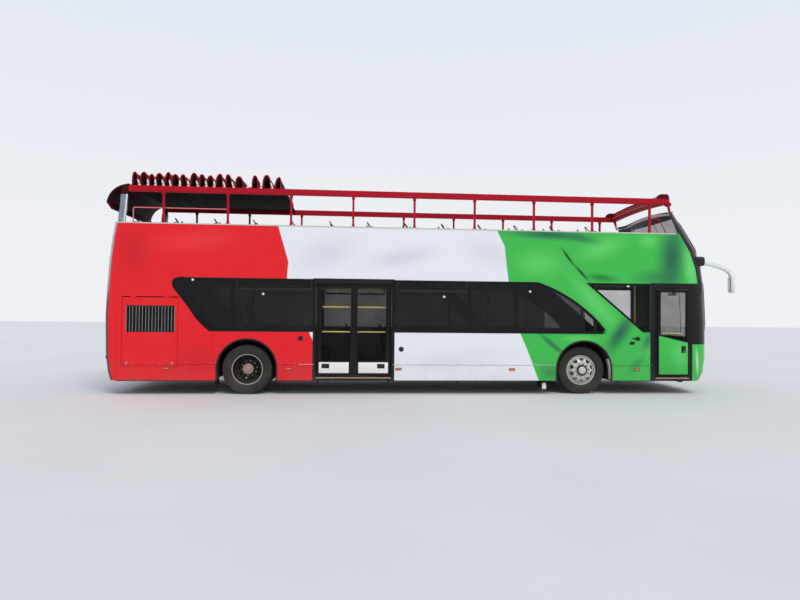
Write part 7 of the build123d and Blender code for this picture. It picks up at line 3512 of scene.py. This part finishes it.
@dataclass
class UpperDeck:
    """Grab loops, rims, inserts and bolts of the deck seats, the runner and the front ledge."""

    seat_top: float = SEAT_TOP_Z

    def build(self, shop: Workshop) -> None:
        """Dress the open deck.

        Args:
            shop: finishes and patterns.
        """
        self._loops(shop)
        self._shell_rims(shop)
        self._bolts(shop)
        self._floor(shop)
        self._ledge(shop)

    def _loops(self, shop: Workshop) -> None:
        """Black grab loop on the corner of every seat back.

        Args:
            shop: finishes and patterns.
        """
        loop = Workpiece("loop", "black_plastic")
        path = []
        for k in range(11):
            turn = math.pi * k / 10
            path.append(
                (
                    -0.012 - 0.075 * math.sin(turn), 0.055 * math.cos(turn),
                    0.014 + 0.115 * math.sin(turn)
                )
            )
        loop.tube([(0.0, 0.055, -0.03)] + path + [(0.0, -0.055, -0.03)], 0.0095, 8)
        places = [
            (x - 0.078, y + math.copysign(0.14, -y), self.seat_top - 0.004)
            for x, y in deck_seat_rows()
        ]
        shop.repeat("seat_loops", loop, places, "bus_body", "black_plastic")

    def _shell_rims(self, shop: Workshop) -> None:
        """Rolled rim round the back of every moulded seat, and its shallow pad.

        Args:
            shop: finishes and patterns.
        """
        rise = self.seat_top - DECK_Z - PAN_Z
        rim = Workpiece("rim", "seat_shell")
        for end in (-SHELL_HALF, SHELL_HALF):
            rim.tube(
                [
                    (0.425, end, 0.425), (0.10, end, 0.418), (0.045, end, 0.45),
                    (-0.078, end, PAN_Z + rise - 0.02)
                ],
                0.011, 8
            )
        rim.tube(
            [
                (-0.078, -SHELL_HALF, PAN_Z + rise - 0.012), (-0.08, -0.10, PAN_Z + rise),
                (-0.08, 0.10, PAN_Z + rise), (-0.078, SHELL_HALF, PAN_Z + rise - 0.012)
            ],
            0.013, 8
        )
        rim.tube(
            [
                (0.425, -SHELL_HALF, 0.425), (0.432, -0.10, 0.418), (0.432, 0.10, 0.418),
                (0.425, SHELL_HALF, 0.425)
            ],
            0.012, 8
        )
        places = [(x, y, DECK_Z) for x, y in deck_seat_rows()]
        shop.repeat("seat_rims", rim, places, "bus_body", "seat_plastic")
        pad = Workpiece("pad", "seat_pad")
        rings = []
        for k in range(7):
            part = k / 6
            half = 0.185 * (1 - 0.06 * abs(2 * part - 1) ** 3)
            x = 0.09 + 0.31 * part
            z = 0.4315
            rings.append(
                [
                    (x, -half, z), (x, half, z), (x, half * 0.94, z + 0.008),
                    (x, -half * 0.94, z + 0.008)
                ]
            )
        pad.loft(rings)
        shop.repeat("seat_inserts", pad, places, "bus_body", "seat_fabric")

    def _bolts(self, shop: Workshop) -> None:
        """Bolts that hold every pedestal to the deck.

        Args:
            shop: finishes and patterns.
        """
        bolt = Workpiece("bolt", "bright_steel")
        bolt.lathe(
            [
                (0.0, 0.0), (0.0, 0.013), (0.0015, 0.013), (0.002, 0.0085), (0.008, 0.0085),
                (0.0085, 0.0)
            ],
            (0, 0, 0), "Z", 6, closed=False
        )
        foot = Workpiece("foot", "chassis_black")
        foot.block((-0.13, -0.055, 0.0), (0.13, 0.055, 0.006), 0.002)
        pairs = sorted({(x, math.copysign(SEAT_Y, y)) for x, y in deck_seat_rows()})
        feet = [(x + 0.215, y, DECK_Z) for x, y in pairs]
        shop.repeat("seat_feet", foot, feet, "bus_body", "iron")
        bolts = [
            (x + dx, y + dy, z + 0.006) for x, y, z in feet for dx in (-0.118, 0.118)
            for dy in (-0.042, 0.042)
        ]
        shop.repeat("seat_bolts", bolt, bolts, "bus_body", "steel")

    def _floor(self, shop: Workshop) -> None:
        """Ribbed rubber runner down the gangway.

        Args:
            shop: finishes and patterns.
        """
        rib = Workpiece("rib", "rubber")
        rib.block((-0.003, -0.21, 0.0), (0.003, 0.21, 0.003), 0.0012, 1)
        places = [(-5.75 + 0.03 * n, 0.0, DECK_Z + 0.004) for n in range(343)]
        shop.repeat("gangway_ribs", rib, places, "bus_body", "floor_grey")
        mat = Workpiece("gangway_mat", "rubber")
        mat.block((-5.80, -0.24, DECK_Z), (4.60, 0.24, DECK_Z + 0.004), 0.0015)
        dress(mat.make(shop.box), "bus_body")

    def _ledge(self, shop: Workshop) -> None:
        """Padded ledge and rail behind the upper screen, with its corner guards.

        Args:
            shop: finishes and patterns.
        """
        ledge = Workpiece("front_ledge", "black_plastic")
        rings = []
        for k in range(15):
            y = -1.13 + 2.26 * k / 14
            held = min(abs(y), 1.0)
            x = nose_front(held * 0.95, 3.0)[0] - 0.075 - (abs(y) - held) * 0.9
            rings.append(
                [
                    (x, y, 2.96), (x - 0.22, y, 2.97), (x - 0.25, y, 2.94), (x - 0.24, y, 2.91),
                    (x + 0.01, y, 2.90)
                ]
            )
        ledge.loft(rings)
        dress(ledge.make(shop.box, 45), "bus_body")
        y = 1.17
        lines = [[(4.98, -y, 3.05), (4.98, -y, 3.18), (4.98, y, 3.18), (4.98, y, 3.05)]]
        shop.pipe("front_rail", lines, 0.017, "rail_crimson", "bus_body", "rail_red", bend=0.08)
        corners = [
            [
                (4.46, side.value * 1.235, 3.575), (4.68, side.value * 1.20, 3.575),
                (4.86, side.value * 1.17, 3.29)
            ]
            for side in Side
        ]
        shop.pipe(
            "corner_guards", corners, 0.010, "rail_crimson", "bus_body", "rail_red", bend=0.03
        )


@dataclass
class Saloon:
    """Lower deck's inside: seat handles and inserts, ceiling rails, lights and pole sockets."""

    def build(self, shop: Workshop) -> None:
        """Dress the lower saloon.

        Args:
            shop: finishes and patterns.
        """
        handle = Workpiece("handle", "handrail_yellow")
        handle.tube(
            [
                (0.0, -0.10, -0.05), (-0.016, -0.085, 0.02), (-0.03, -0.05, 0.035),
                (-0.03, 0.05, 0.035), (-0.016, 0.085, 0.02), (0.0, 0.10, -0.05)
            ],
            0.011, 8
        )
        places = [(x - 0.080, y, top + 0.55) for x, y, top in saloon_seat_rows()]
        shop.repeat("saloon_handles", handle, places, "bus_body", "yellow")
        pad = Workpiece("saloon_pad", "seat_cloth_deep")
        rings = []
        for k in range(9):
            part = k / 8
            half = 0.188 * (1 - 0.05 * abs(2 * part - 1) ** 3)
            x = 0.085 + 0.33 * part
            crown = 0.014 * math.sin(math.pi * (0.08 + 0.84 * part))
            rings.append(
                [
                    (x, -half, 0.002), (x, half, 0.002), (x, half * 0.96, 0.006 + crown * 0.6),
                    (x, 0.0, 0.008 + crown), (x, -half * 0.96, 0.006 + crown * 0.6)
                ]
            )
        pad.loft(rings)
        seats = [(x, y, top) for x, y, top in saloon_seat_rows()]
        shop.repeat("saloon_inserts", pad, seats, "bus_body", "seat_fabric")
        lines = [
            [(-4.7, y, CEILING_Z), (-4.7, y, 2.13), (end, y, 2.13), (end, y, CEILING_Z)]
            for y, end in ((-0.48, 2.0), (0.50, 0.2))
        ]
        shop.pipe(
            "ceiling_rails", lines, 0.0155, "handrail_yellow", "bus_body", "yellow", bend=0.05
        )
        strip = Workpiece("ceiling_lights", "lens_clear")
        for side in (-1, 1):
            for k in range(5):
                x = -4.6 + 1.25 * k
                if side == 1 and x > 0.0:
                    continue
                strip.block(
                    (x, side * 0.30 - 0.05, 2.250), (x + 0.95, side * 0.30 + 0.05, 2.269), 0.008, 3
                )
        dress(strip.make(shop.box), "bus_body")
        socket = Workpiece("socket", "black_plastic")
        socket.lathe(
            [
                (0.0, 0.018), (0.0, 0.036), (0.006, 0.036), (0.022, 0.024), (0.030, 0.022),
                (0.030, 0.018)
            ],
            (0, 0, 0), "Z", 20
        )
        poles = [
            (-0.69, -0.70), (-0.69, -1.10), (-1.54, -0.271), (4.415, -0.70), (2.16, -0.42),
            (2.16, 0.42)
        ]
        shop.repeat(
            "pole_sockets", socket, [(x, y, FLOOR_Z) for x, y in poles], "bus_body", "black_plastic"
        )
        shop.repeat(
            "pole_heads", self._head(), [(x, y, 2.268) for x, y in poles], "bus_body",
            "black_plastic"
        )
        button = Workpiece("bell", "black_plastic")
        button.block((-0.022, -0.030, -0.045), (0.022, -0.014, 0.045), 0.006)
        button.lathe(
            [(-0.034, 0.0), (-0.034, 0.011), (-0.029, 0.012), (-0.029, 0.0)], (0, 0, 0.01), "Y", 16,
            closed=False
        )
        shop.repeat(
            "stop_buttons", button, [(x, y, 1.35) for x, y in poles[:4]], "bus_body",
            "black_plastic"
        )

    @staticmethod
    def _head() -> Workpiece:
        """Socket that caps the top of a pole.

        Returns:
            The cap, to be repeated.
        """
        socket = Workpiece("head", "black_plastic")
        socket.lathe(
            [
                (0.0, 0.018), (0.0, 0.034), (-0.005, 0.034), (-0.020, 0.023), (-0.026, 0.021),
                (-0.026, 0.018)
            ],
            (0, 0, 0), "Z", 20
        )
        return socket


@dataclass
class Cab:
    """Driver's seat, instruments, pedals, hand brake, wheel grip and the screen behind the seat."""

    seat_x: float = 4.21
    seat_y: float = 0.64
    seat_z: float = 0.79

    def build(self, shop: Workshop) -> None:
        """Make everything at the driver's place.

        Args:
            shop: finishes and patterns.
        """
        self._seat(shop)
        self._instruments(shop)
        self._wheel(shop)
        self._partition(shop)

    def _pad(
        self, name: str, rings: Sequence[Sequence[Point]], shop: Workshop, cap: float
    ) -> bpy.types.Object:
        """Swell a lofted form into an upholstered pad.

        Args:
            name: name of the pad.
            rings: the slightly smaller form it starts from.
            shop: finishes.
            cap: most that a point may move.

        Returns:
            The pad.
        """
        start = Workpiece(name, "seat_cloth")
        start.loft(rings)
        obj = start.make(shop.box)
        remesh = obj.modifiers.new("remesh", "REMESH")
        remesh.mode = "VOXEL"
        remesh.voxel_size = 0.012
        graph = bpy.context.evaluated_depsgraph_get()
        mesh = bpy.data.meshes.new_from_object(obj.evaluated_get(graph), depsgraph=graph)
        obj.modifiers.clear()
        obj.data = mesh
        self._swell(obj, cap)
        smooth = obj.modifiers.new("smooth", "SMOOTH")
        smooth.factor = 0.5
        smooth.iterations = 6
        graph = bpy.context.evaluated_depsgraph_get()
        final = bpy.data.meshes.new_from_object(obj.evaluated_get(graph), depsgraph=graph)
        obj.modifiers.clear()
        obj.data = final
        final.name = name
        lay = final.uv_layers.new(name="cloth")
        for polygon in final.polygons:
            flat = abs(polygon.normal.z) > abs(polygon.normal.x)
            for index in polygon.loop_indices:
                place = final.vertices[final.loops[index].vertex_index].co
                lay.data[index].uv = (place.y, place.x if flat else place.z)
        final.materials.clear()
        final.materials.append(shop.box.get("seat_cloth"))
        final.shade_smooth()
        return obj

    @staticmethod
    def _swell(obj: bpy.types.Object, cap: float) -> None:
        """Run a short cloth simulation with air inside, and keep its result.

        Args:
            obj: the closed form.
            cap: most that a point may move.
        """
        scene = bpy.context.scene
        cloth = obj.modifiers.new("cloth", "CLOTH")
        settings = cloth.settings
        settings.quality = 5
        settings.mass = 0.3
        settings.tension_stiffness = 15
        settings.compression_stiffness = 15
        settings.use_pressure = True
        settings.uniform_pressure_force = 4.0
        settings.effector_weights.gravity = 0.0
        cloth.point_cache.frame_start = 1
        cloth.point_cache.frame_end = 20
        before = [vertex.co.copy() for vertex in obj.data.vertices]
        for number in range(1, 21):
            scene.frame_set(number)
        graph = bpy.context.evaluated_depsgraph_get()
        result = bpy.data.meshes.new_from_object(obj.evaluated_get(graph), depsgraph=graph)
        obj.modifiers.remove(cloth)
        scene.frame_set(1)
        for vertex, start, end in zip(obj.data.vertices, before, result.vertices):
            shift = end.co - start
            if shift.length > cap:
                shift = shift.normalized() * cap
            vertex.co = start + shift
        bpy.data.meshes.remove(result)

    def _seat(self, shop: Workshop) -> None:
        """Sprung driver's seat: cushion and back as separate pads on a bellows base, with a belt.

        Args:
            shop: finishes and patterns.
        """
        x, y, z = self.seat_x, self.seat_y, self.seat_z
        base = []
        for k in range(9):
            part = k / 8
            half = 0.215 - 0.02 * abs(2 * part - 1) ** 4
            base.append([(x + 0.03 + 0.43 * part, y - half, z + 0.02),
                         (x + 0.03 + 0.43 * part, y + half, z + 0.02),
                         (x + 0.03 + 0.43 * part, y + half, z + 0.085),
                         (x + 0.03 + 0.43 * part, y + 0.55 * half, z + 0.095),
                         (x + 0.03 + 0.43 * part, y - 0.55 * half, z + 0.095),
                         (x + 0.03 + 0.43 * part, y - half, z + 0.085)])
        cushion = self._pad("driver_cushion", base, shop, 0.014)
        dress(cushion, "bus_body")
        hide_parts("driver_seat")
        back = []
        for k in range(11):
            part = k / 10
            half = 0.20 - 0.035 * part ** 3
            bx = x + 0.085 - 0.105 * part
            bz = z + 0.15 + 0.60 * part
            back.append([(bx - 0.055, y - half, bz), (bx - 0.055, y + half, bz),
                         (bx + 0.015, y + half, bz + 0.008),
                         (bx + 0.030, y + 0.55 * half, bz + 0.010),
                         (bx + 0.030, y - 0.55 * half, bz + 0.010),
                         (bx + 0.015, y - half, bz + 0.008)])
        rest = self._pad("driver_back", back, shop, 0.014)
        dress(rest, "bus_body")
        piping = []
        for side in (-1, 1):
            piping.append(
                [
                    (x + 0.07 + 0.05 * k, y + side * 0.118, z + 0.1085 + 0.003 * math.sin(k))
                    for k in range(8)
                ]
            )
        shop.pipe("driver_seams", piping, 0.003, "rubber", "bus_body", "seat_fabric", bend=0.0)
        frame = Workpiece("driver_seat_base", "black_plastic")
        rings = []
        for k in range(7):
            half_x = 0.165 + 0.012 * (k % 2)
            half_y = 0.145 + 0.012 * (k % 2)
            level = z - 0.235 + 0.036 * k
            rings.append(
                [
                    (x + 0.19 - half_x, y - half_y, level), (x + 0.19 + half_x, y - half_y, level),
                    (x + 0.19 + half_x, y + half_y, level), (x + 0.19 - half_x, y + half_y, level)
                ]
            )
        frame.loft(rings)
        frame.block((x, y - 0.17, z - 0.25), (x + 0.38, y + 0.17, z - 0.235), 0.004)
        frame.block((x + 0.01, y - 0.19, z - 0.022), (x + 0.42, y + 0.19, z + 0.018), 0.006)
        frame.block((x - 0.03, y - 0.16, z), (x + 0.03, y + 0.16, z + 0.16), 0.012)
        dress(frame.make(shop.box), "bus_body")
        belt = Workpiece("driver_belt", "rubber")
        belt.plate(
            [
                (x - 0.01, y + 0.225, z + 0.74), (x + 0.035, y + 0.225, z + 0.70),
                (x + 0.075, y + 0.232, z + 0.20), (x + 0.03, y + 0.232, z + 0.20)
            ],
            (0, 0.002, 0)
        )
        dress(belt.make(shop.box), "bus_body")

    def _instruments(self, shop: Workshop) -> None:
        """Binnacle with dials, switches, pedals and the hand brake.

        Args:
            shop: finishes and patterns.
        """
        y = self.seat_y
        hood = Workpiece("binnacle", "black_plastic")
        rings = []
        for k in range(11):
            across = -0.24 + 0.48 * k / 10
            crown = 0.030 * (1 - (across / 0.24) ** 2)
            rings.append(
                [
                    (5.262, y + across, 1.118), (5.300, y + across, 1.176 + crown),
                    (5.42, y + across, 1.215 + crown), (5.50, y + across, 1.176),
                    (5.48, y + across, 1.150)
                ]
            )
        hood.loft(rings)
        dress(hood.make(shop.box, 45), "bus_body")
        ring = Workpiece("dial", "bright_steel")
        ring.lathe([(0.0, 0.034), (0.0, 0.041), (0.006, 0.041), (0.006, 0.037)], (0, 0, 0), "Z", 32)
        tilt = (0.0, -1.12, 0.0)
        places = [
            (5.277, y + dy, 1.152 + 0.012 * (1 - abs(dy) / 0.2))
            for dy in (-0.168, -0.075, 0.075, 0.168)
        ]
        shop.repeat("dial_rings", ring, places, "bus_body", "steel", [tilt] * 4)
        face = Workpiece("face", "display_black")
        face.lathe(
            [(0.0, 0.0), (0.0, 0.037), (0.003, 0.037), (0.003, 0.0)], (0, 0, 0), "Z", 32,
            closed=False
        )
        shop.repeat("dial_faces", face, places, "bus_body", "glass_dark", [tilt] * 4)
        key = Workpiece("key", "black_plastic")
        key.block((-0.012, -0.009, 0.0), (0.012, 0.009, 0.009), 0.003)
        keys = [
            (5.235 + 0.032 * row, 0.285 + 0.026 * n, 1.1235 + 0.0042 * row) for row in range(3)
            for n in range(4)
        ]
        shop.repeat(
            "switch_keys", key, keys, "bus_body", "black_plastic", [(0.0, -0.13, 0.0)] * len(keys)
        )
        pedal = Workpiece("pedal", "rubber")
        pedal.block((-0.004, -0.04, 0.0), (0.010, 0.04, 0.17), 0.004)
        for n in range(7):
            pedal.block(
                (-0.009, -0.034, 0.018 + 0.021 * n), (-0.003, 0.034, 0.026 + 0.021 * n), 0.0015, 1
            )
        shop.repeat(
            "pedals", pedal, [(5.015, y - 0.06, 0.555), (5.015, y - 0.20, 0.555)], "bus_body",
            "black_plastic", [(0.0, 0.45, 0.0)] * 2
        )
        lever = Workpiece("brake_lever", "black_plastic")
        lever.tube([(4.70, 0.98, 0.60), (4.70, 0.98, 0.98), (4.72, 0.97, 1.03)], 0.012, 10)
        lever.lathe(
            [(-0.02, 0.0), (-0.024, 0.014), (0.0, 0.024), (0.024, 0.018), (0.03, 0.0)],
            (4.722, 0.969, 1.045), "Z", 16, closed=False
        )
        lever.block((4.60, 0.93, 0.54), (4.80, 1.03, 0.62), 0.012)
        dress(lever.make(shop.box), "bus_body")

    def _wheel(self, shop: Workshop) -> None:
        """Thick grip round the steering wheel's rim.

        Args:
            shop: finishes and patterns.
        """
        low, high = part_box("steering_wheel")
        centre = (low + high) / 2
        tilt = math.radians(35)
        axis = Vector((-math.sin(tilt), 0, math.cos(tilt)))
        across = Vector((0, 1, 0))
        ahead = axis.cross(across)
        grip = Workpiece("wheel_grip", "black_plastic")
        path = []
        middle = centre - axis * 0.003
        for k in range(48):
            turn = 2 * math.pi * k / 48
            path.append(tuple(middle + 0.225 * (math.cos(turn) * across + math.sin(turn) * ahead)))
        grip.tube(path, 0.0172, 12, closed=True)
        dress(grip.make(shop.box), "steering_wheel")

    def _partition(self, shop: Workshop) -> None:
        """Clear screen in the partition's window, its rubber and the pole at its edge.

        Args:
            shop: finishes and patterns.
        """
        screen = Workpiece("cab_screen", "clear_glass")
        screen.block((3.994, 0.442, 1.202), (4.000, 1.168, 1.988), 0.002, 1)
        dress(screen.make(shop.box), "bus_body")
        rubber = [
            [(x, y, z) for y, z in ((0.446, 1.206), (1.164, 1.206), (1.164, 1.984), (0.446, 1.984))]
            for x in (3.990, 4.004)
        ]
        shop.pipe(
            "cab_screen_rubber", rubber, 0.006, "rubber", "bus_body", "frame_dark", bend=0.0,
            closed=True
        )
        rail = [[(3.997, 0.355, 0.475), (3.997, 0.355, 2.268)]]
        shop.pipe("cab_pole", rail, 0.016, "handrail_yellow", "bus_body", "yellow", bend=0.0)


@dataclass
class Underside:
    """What is under the floor: springs, dampers, tanks, shaft, exhaust, brakes and engine parts."""

    def build(self, shop: Workshop) -> None:
        """Make the running gear's fittings.

        Args:
            shop: finishes and patterns.
        """
        self._springs(shop)
        self._shaft(shop)
        self._tanks(shop)
        self._exhaust(shop)
        self._brakes(shop)
        self._engine(shop)

    def _springs(self, shop: Workshop) -> None:
        """Rubber bellows over the rear axle's pads, with dampers and radius rods beside them.

        Args:
            shop: finishes and patterns.
        """
        bellows = Workpiece("air_springs", "rubber")
        profile = [
            (0.0, 0.055), (0.004, 0.075), (0.022, 0.092), (0.040, 0.076), (0.046, 0.070),
            (0.052, 0.076), (0.070, 0.092), (0.088, 0.075), (0.092, 0.055)
        ]
        for side in (-1, 1):
            bellows.lathe(
                [(0.0, 0.0)] + profile + [(0.092, 0.0)], (REAR_X, side * 0.42, 0.503), "Z", 32,
                closed=False
            )
        dress(bellows.make(shop.box), "bus_body")
        damper = Workpiece("dampers", "chassis_black")
        for side in (-1, 1):
            damper.tube(
                [(REAR_X + 0.20, side * 0.33, 0.40), (REAR_X + 0.26, side * 0.33, 0.56)], 0.026, 16
            )
            damper.tube(
                [(REAR_X + 0.24, side * 0.33, 0.52), (REAR_X + 0.275, side * 0.33, 0.62)], 0.034, 16
            )
        dress(damper.make(shop.box), "bus_body")
        arms = Workpiece("radius_rods", "cast_iron")
        for side in (-1, 1):
            arms.tube(
                [(REAR_X + 0.05, side * 0.50, 0.40), (REAR_X + 0.62, side * 0.44, 0.31)], 0.022, 12
            )
            for place in ((REAR_X + 0.05, side * 0.50, 0.40), (REAR_X + 0.62, side * 0.44, 0.31)):
                arms.lathe(
                    [(-0.035, 0.0), (-0.035, 0.034), (0.035, 0.034), (0.035, 0.0)], place, "Y", 20,
                    closed=False
                )
        dress(arms.make(shop.box), "bus_body")

    def _shaft(self, shop: Workshop) -> None:
        """Drive shaft from the gearbox to the axle's gear case, and the gearbox's cooling ribs.

        Args:
            shop: finishes and patterns.
        """
        shaft = Workpiece("drive_shaft", "cast_iron")
        shaft.tube([(-4.385, 0.0, 0.49), (REAR_X - 0.24, 0.0, 0.485)], 0.038, 20)
        for x in (-4.370, REAR_X - 0.215):
            shaft.lathe(
                [
                    (-0.02, 0.0), (-0.02, 0.07), (-0.008, 0.072), (0.008, 0.072), (0.02, 0.045),
                    (0.02, 0.0)
                ],
                (x, 0.0, 0.487), "X", 24, closed=False
            )
        dress(shaft.make(shop.box), "bus_body")
        rib = Workpiece("gearbox_rib", "aluminium")
        for side in (-1, 1):
            rib.block(
                (-0.004, side * 0.190 - 0.008, 0.43), (0.004, side * 0.190 + 0.008, 0.70), 0.002, 1
            )
        shop.repeat(
            "gearbox_ribs", rib, [(-4.86 + 0.055 * k, 0.0, 0.0) for k in range(9)], "bus_body",
            "aluminium"
        )

    def _tanks(self, shop: Workshop) -> None:
        """Three air tanks in a row under the left of the floor.

        Args:
            shop: finishes and patterns.
        """
        tank = Workpiece("air_tanks", "chassis_black")
        for x, y in ((-1.9, 0.62), (-1.2, 0.62), (-0.5, 0.62)):
            tank.lathe(
                [
                    (-0.29, 0.0), (-0.285, 0.03), (-0.26, 0.036), (0.26, 0.036), (0.285, 0.03),
                    (0.29, 0.0)
                ],
                (x, y, 0.262), "X", 24, closed=False
            )
        dress(tank.make(shop.box), "bus_body")

    def _exhaust(self, shop: Workshop) -> None:
        """Silencer beside the engine and its tail pipe.

        Args:
            shop: finishes and patterns.
        """
        can = Workpiece("silencer", "bright_steel")
        can.lathe(
            [
                (-0.30, 0.0), (-0.30, 0.11), (-0.285, 0.125), (0.285, 0.125), (0.30, 0.11),
                (0.30, 0.0)
            ],
            (-5.55, 0.70, 0.62), "X", 32, closed=False
        )
        dress(can.make(shop.box), "bus_body")
        lines = [
            [(-5.26, 0.70, 0.62), (-5.10, 0.70, 0.62), (-5.10, 0.42, 0.80)],
            [(-5.84, 0.70, 0.62), (-5.98, 0.70, 0.55), (-6.03, 0.70, 0.36)]
        ]
        shop.pipe("exhaust_pipes", lines, 0.042, "cast_iron", "bus_body", "iron", bend=0.09)

    def _brakes(self, shop: Workshop) -> None:
        """Brake disc on each front wheel, and the brake chambers at the rear axle.

        Args:
            shop: finishes and patterns.
        """
        for side in Side:
            name = side.name.lower()
            sign = side.value
            disc = Workpiece(f"front_{name}_brake_disc", "bright_steel")
            disc.lathe(
                [
                    (sign * -0.005, 0.095), (sign * -0.005, 0.215), (sign * 0.004, 0.217),
                    (sign * 0.022, 0.217), (sign * 0.031, 0.215), (sign * 0.031, 0.095)
                ],
                (FRONT_X, sign * 1.040, WHEEL_Z), "Y", 64
            )
            dress(disc.make(shop.box), f"front_{name}_wheel")
        chamber = Workpiece("brake_chambers", "chassis_black")
        for sign in (-1, 1):
            chamber.lathe(
                [
                    (-0.13, 0.0), (-0.13, 0.062), (-0.10, 0.072), (-0.01, 0.072), (-0.004, 0.082),
                    (0.004, 0.082), (0.01, 0.070), (0.06, 0.06), (0.07, 0.0)
                ],
                (REAR_X + 0.17, sign * 0.47, 0.36), "X", 24, closed=False
            )
        dress(chamber.make(shop.box), "bus_body")

    def _engine(self, shop: Workshop) -> None:
        """Rocker covers, ribs, belt wheels and hoses on the engine block.

        Args:
            shop: finishes and patterns.
        """
        cover = Workpiece("rocker_covers", "aluminium")
        for k in range(6):
            x = -5.93 + 0.165 * k
            cover.block((x, -0.13, 1.252), (x + 0.15, 0.13, 1.30), 0.018, 3)
        dress(cover.make(shop.box), "bus_body")
        rib = Workpiece("rib", "cast_iron")
        half = [(0.345, 0.612), (0.382, 0.684), (0.382, 1.008), (0.308, 1.050), (0.284, 1.150)]
        rib.plate(
            [(-0.006, y, z) for y, z in half] + [(-0.006, -y, z) for y, z in reversed(half)],
            (0.012, 0, 0), 0.002
        )
        shop.repeat(
            "block_ribs", rib, [(-5.90 + 0.097 * k, 0.0, 0.0) for k in range(11)], "bus_body",
            "iron"
        )
        fan = Workpiece("belt_wheels", "bright_steel")
        for y, z, r in (
            (0.0, 0.72, 0.09), (0.18, 0.98, 0.06), (-0.2, 0.95, 0.07), (0.0, 1.12, 0.05)
        ):
            fan.lathe(
                [
                    (-0.045, 0.0), (-0.045, r), (-0.038, r), (-0.030, r - 0.012), (-0.022, r),
                    (-0.012, r), (-0.012, 0.02), (0.0, 0.02), (0.0, 0.0)
                ],
                (-5.962, y, z), "X", 32, closed=False
            )
        dress(fan.make(shop.box), "bus_body")
        shop.pipe(
            "engine_hoses",
            [
                [
                    (-5.3, -0.27, 1.18), (-5.3, -0.48, 1.18), (-5.3, -0.62, 1.30),
                    (-5.3, -1.08, 1.30)
                ],
                [(-5.7, 0.24, 1.24), (-5.7, 0.50, 1.36), (-5.7, 0.90, 1.36), (-5.7, 0.98, 1.05)]
            ],
            0.038, "rubber", "bus_body", "black_plastic", bend=0.08
        )


# Everything in order


def main() -> None:
    """Build the studio, paint the frame and add every sub-assembly."""
    logging.basicConfig(level=logging.INFO, format="%(name)s: %(message)s")
    Studio().build()
    shop = Workshop(Paintbox(), Patterns())
    paint_nodes(frame["nodes"], shop.box)
    for assembly in [
        CanvasRoof(), TopRailing(), *all_wheels(), Coachwork(), WindowBand(), *all_doors(),
        Thresholds(), NoseFront(), TailEnd(),
        UpperDeck(), Saloon(), Cab(), Underside(),
    ]:
        assembly.build(shop)


if __name__ == "__main__":
    main()
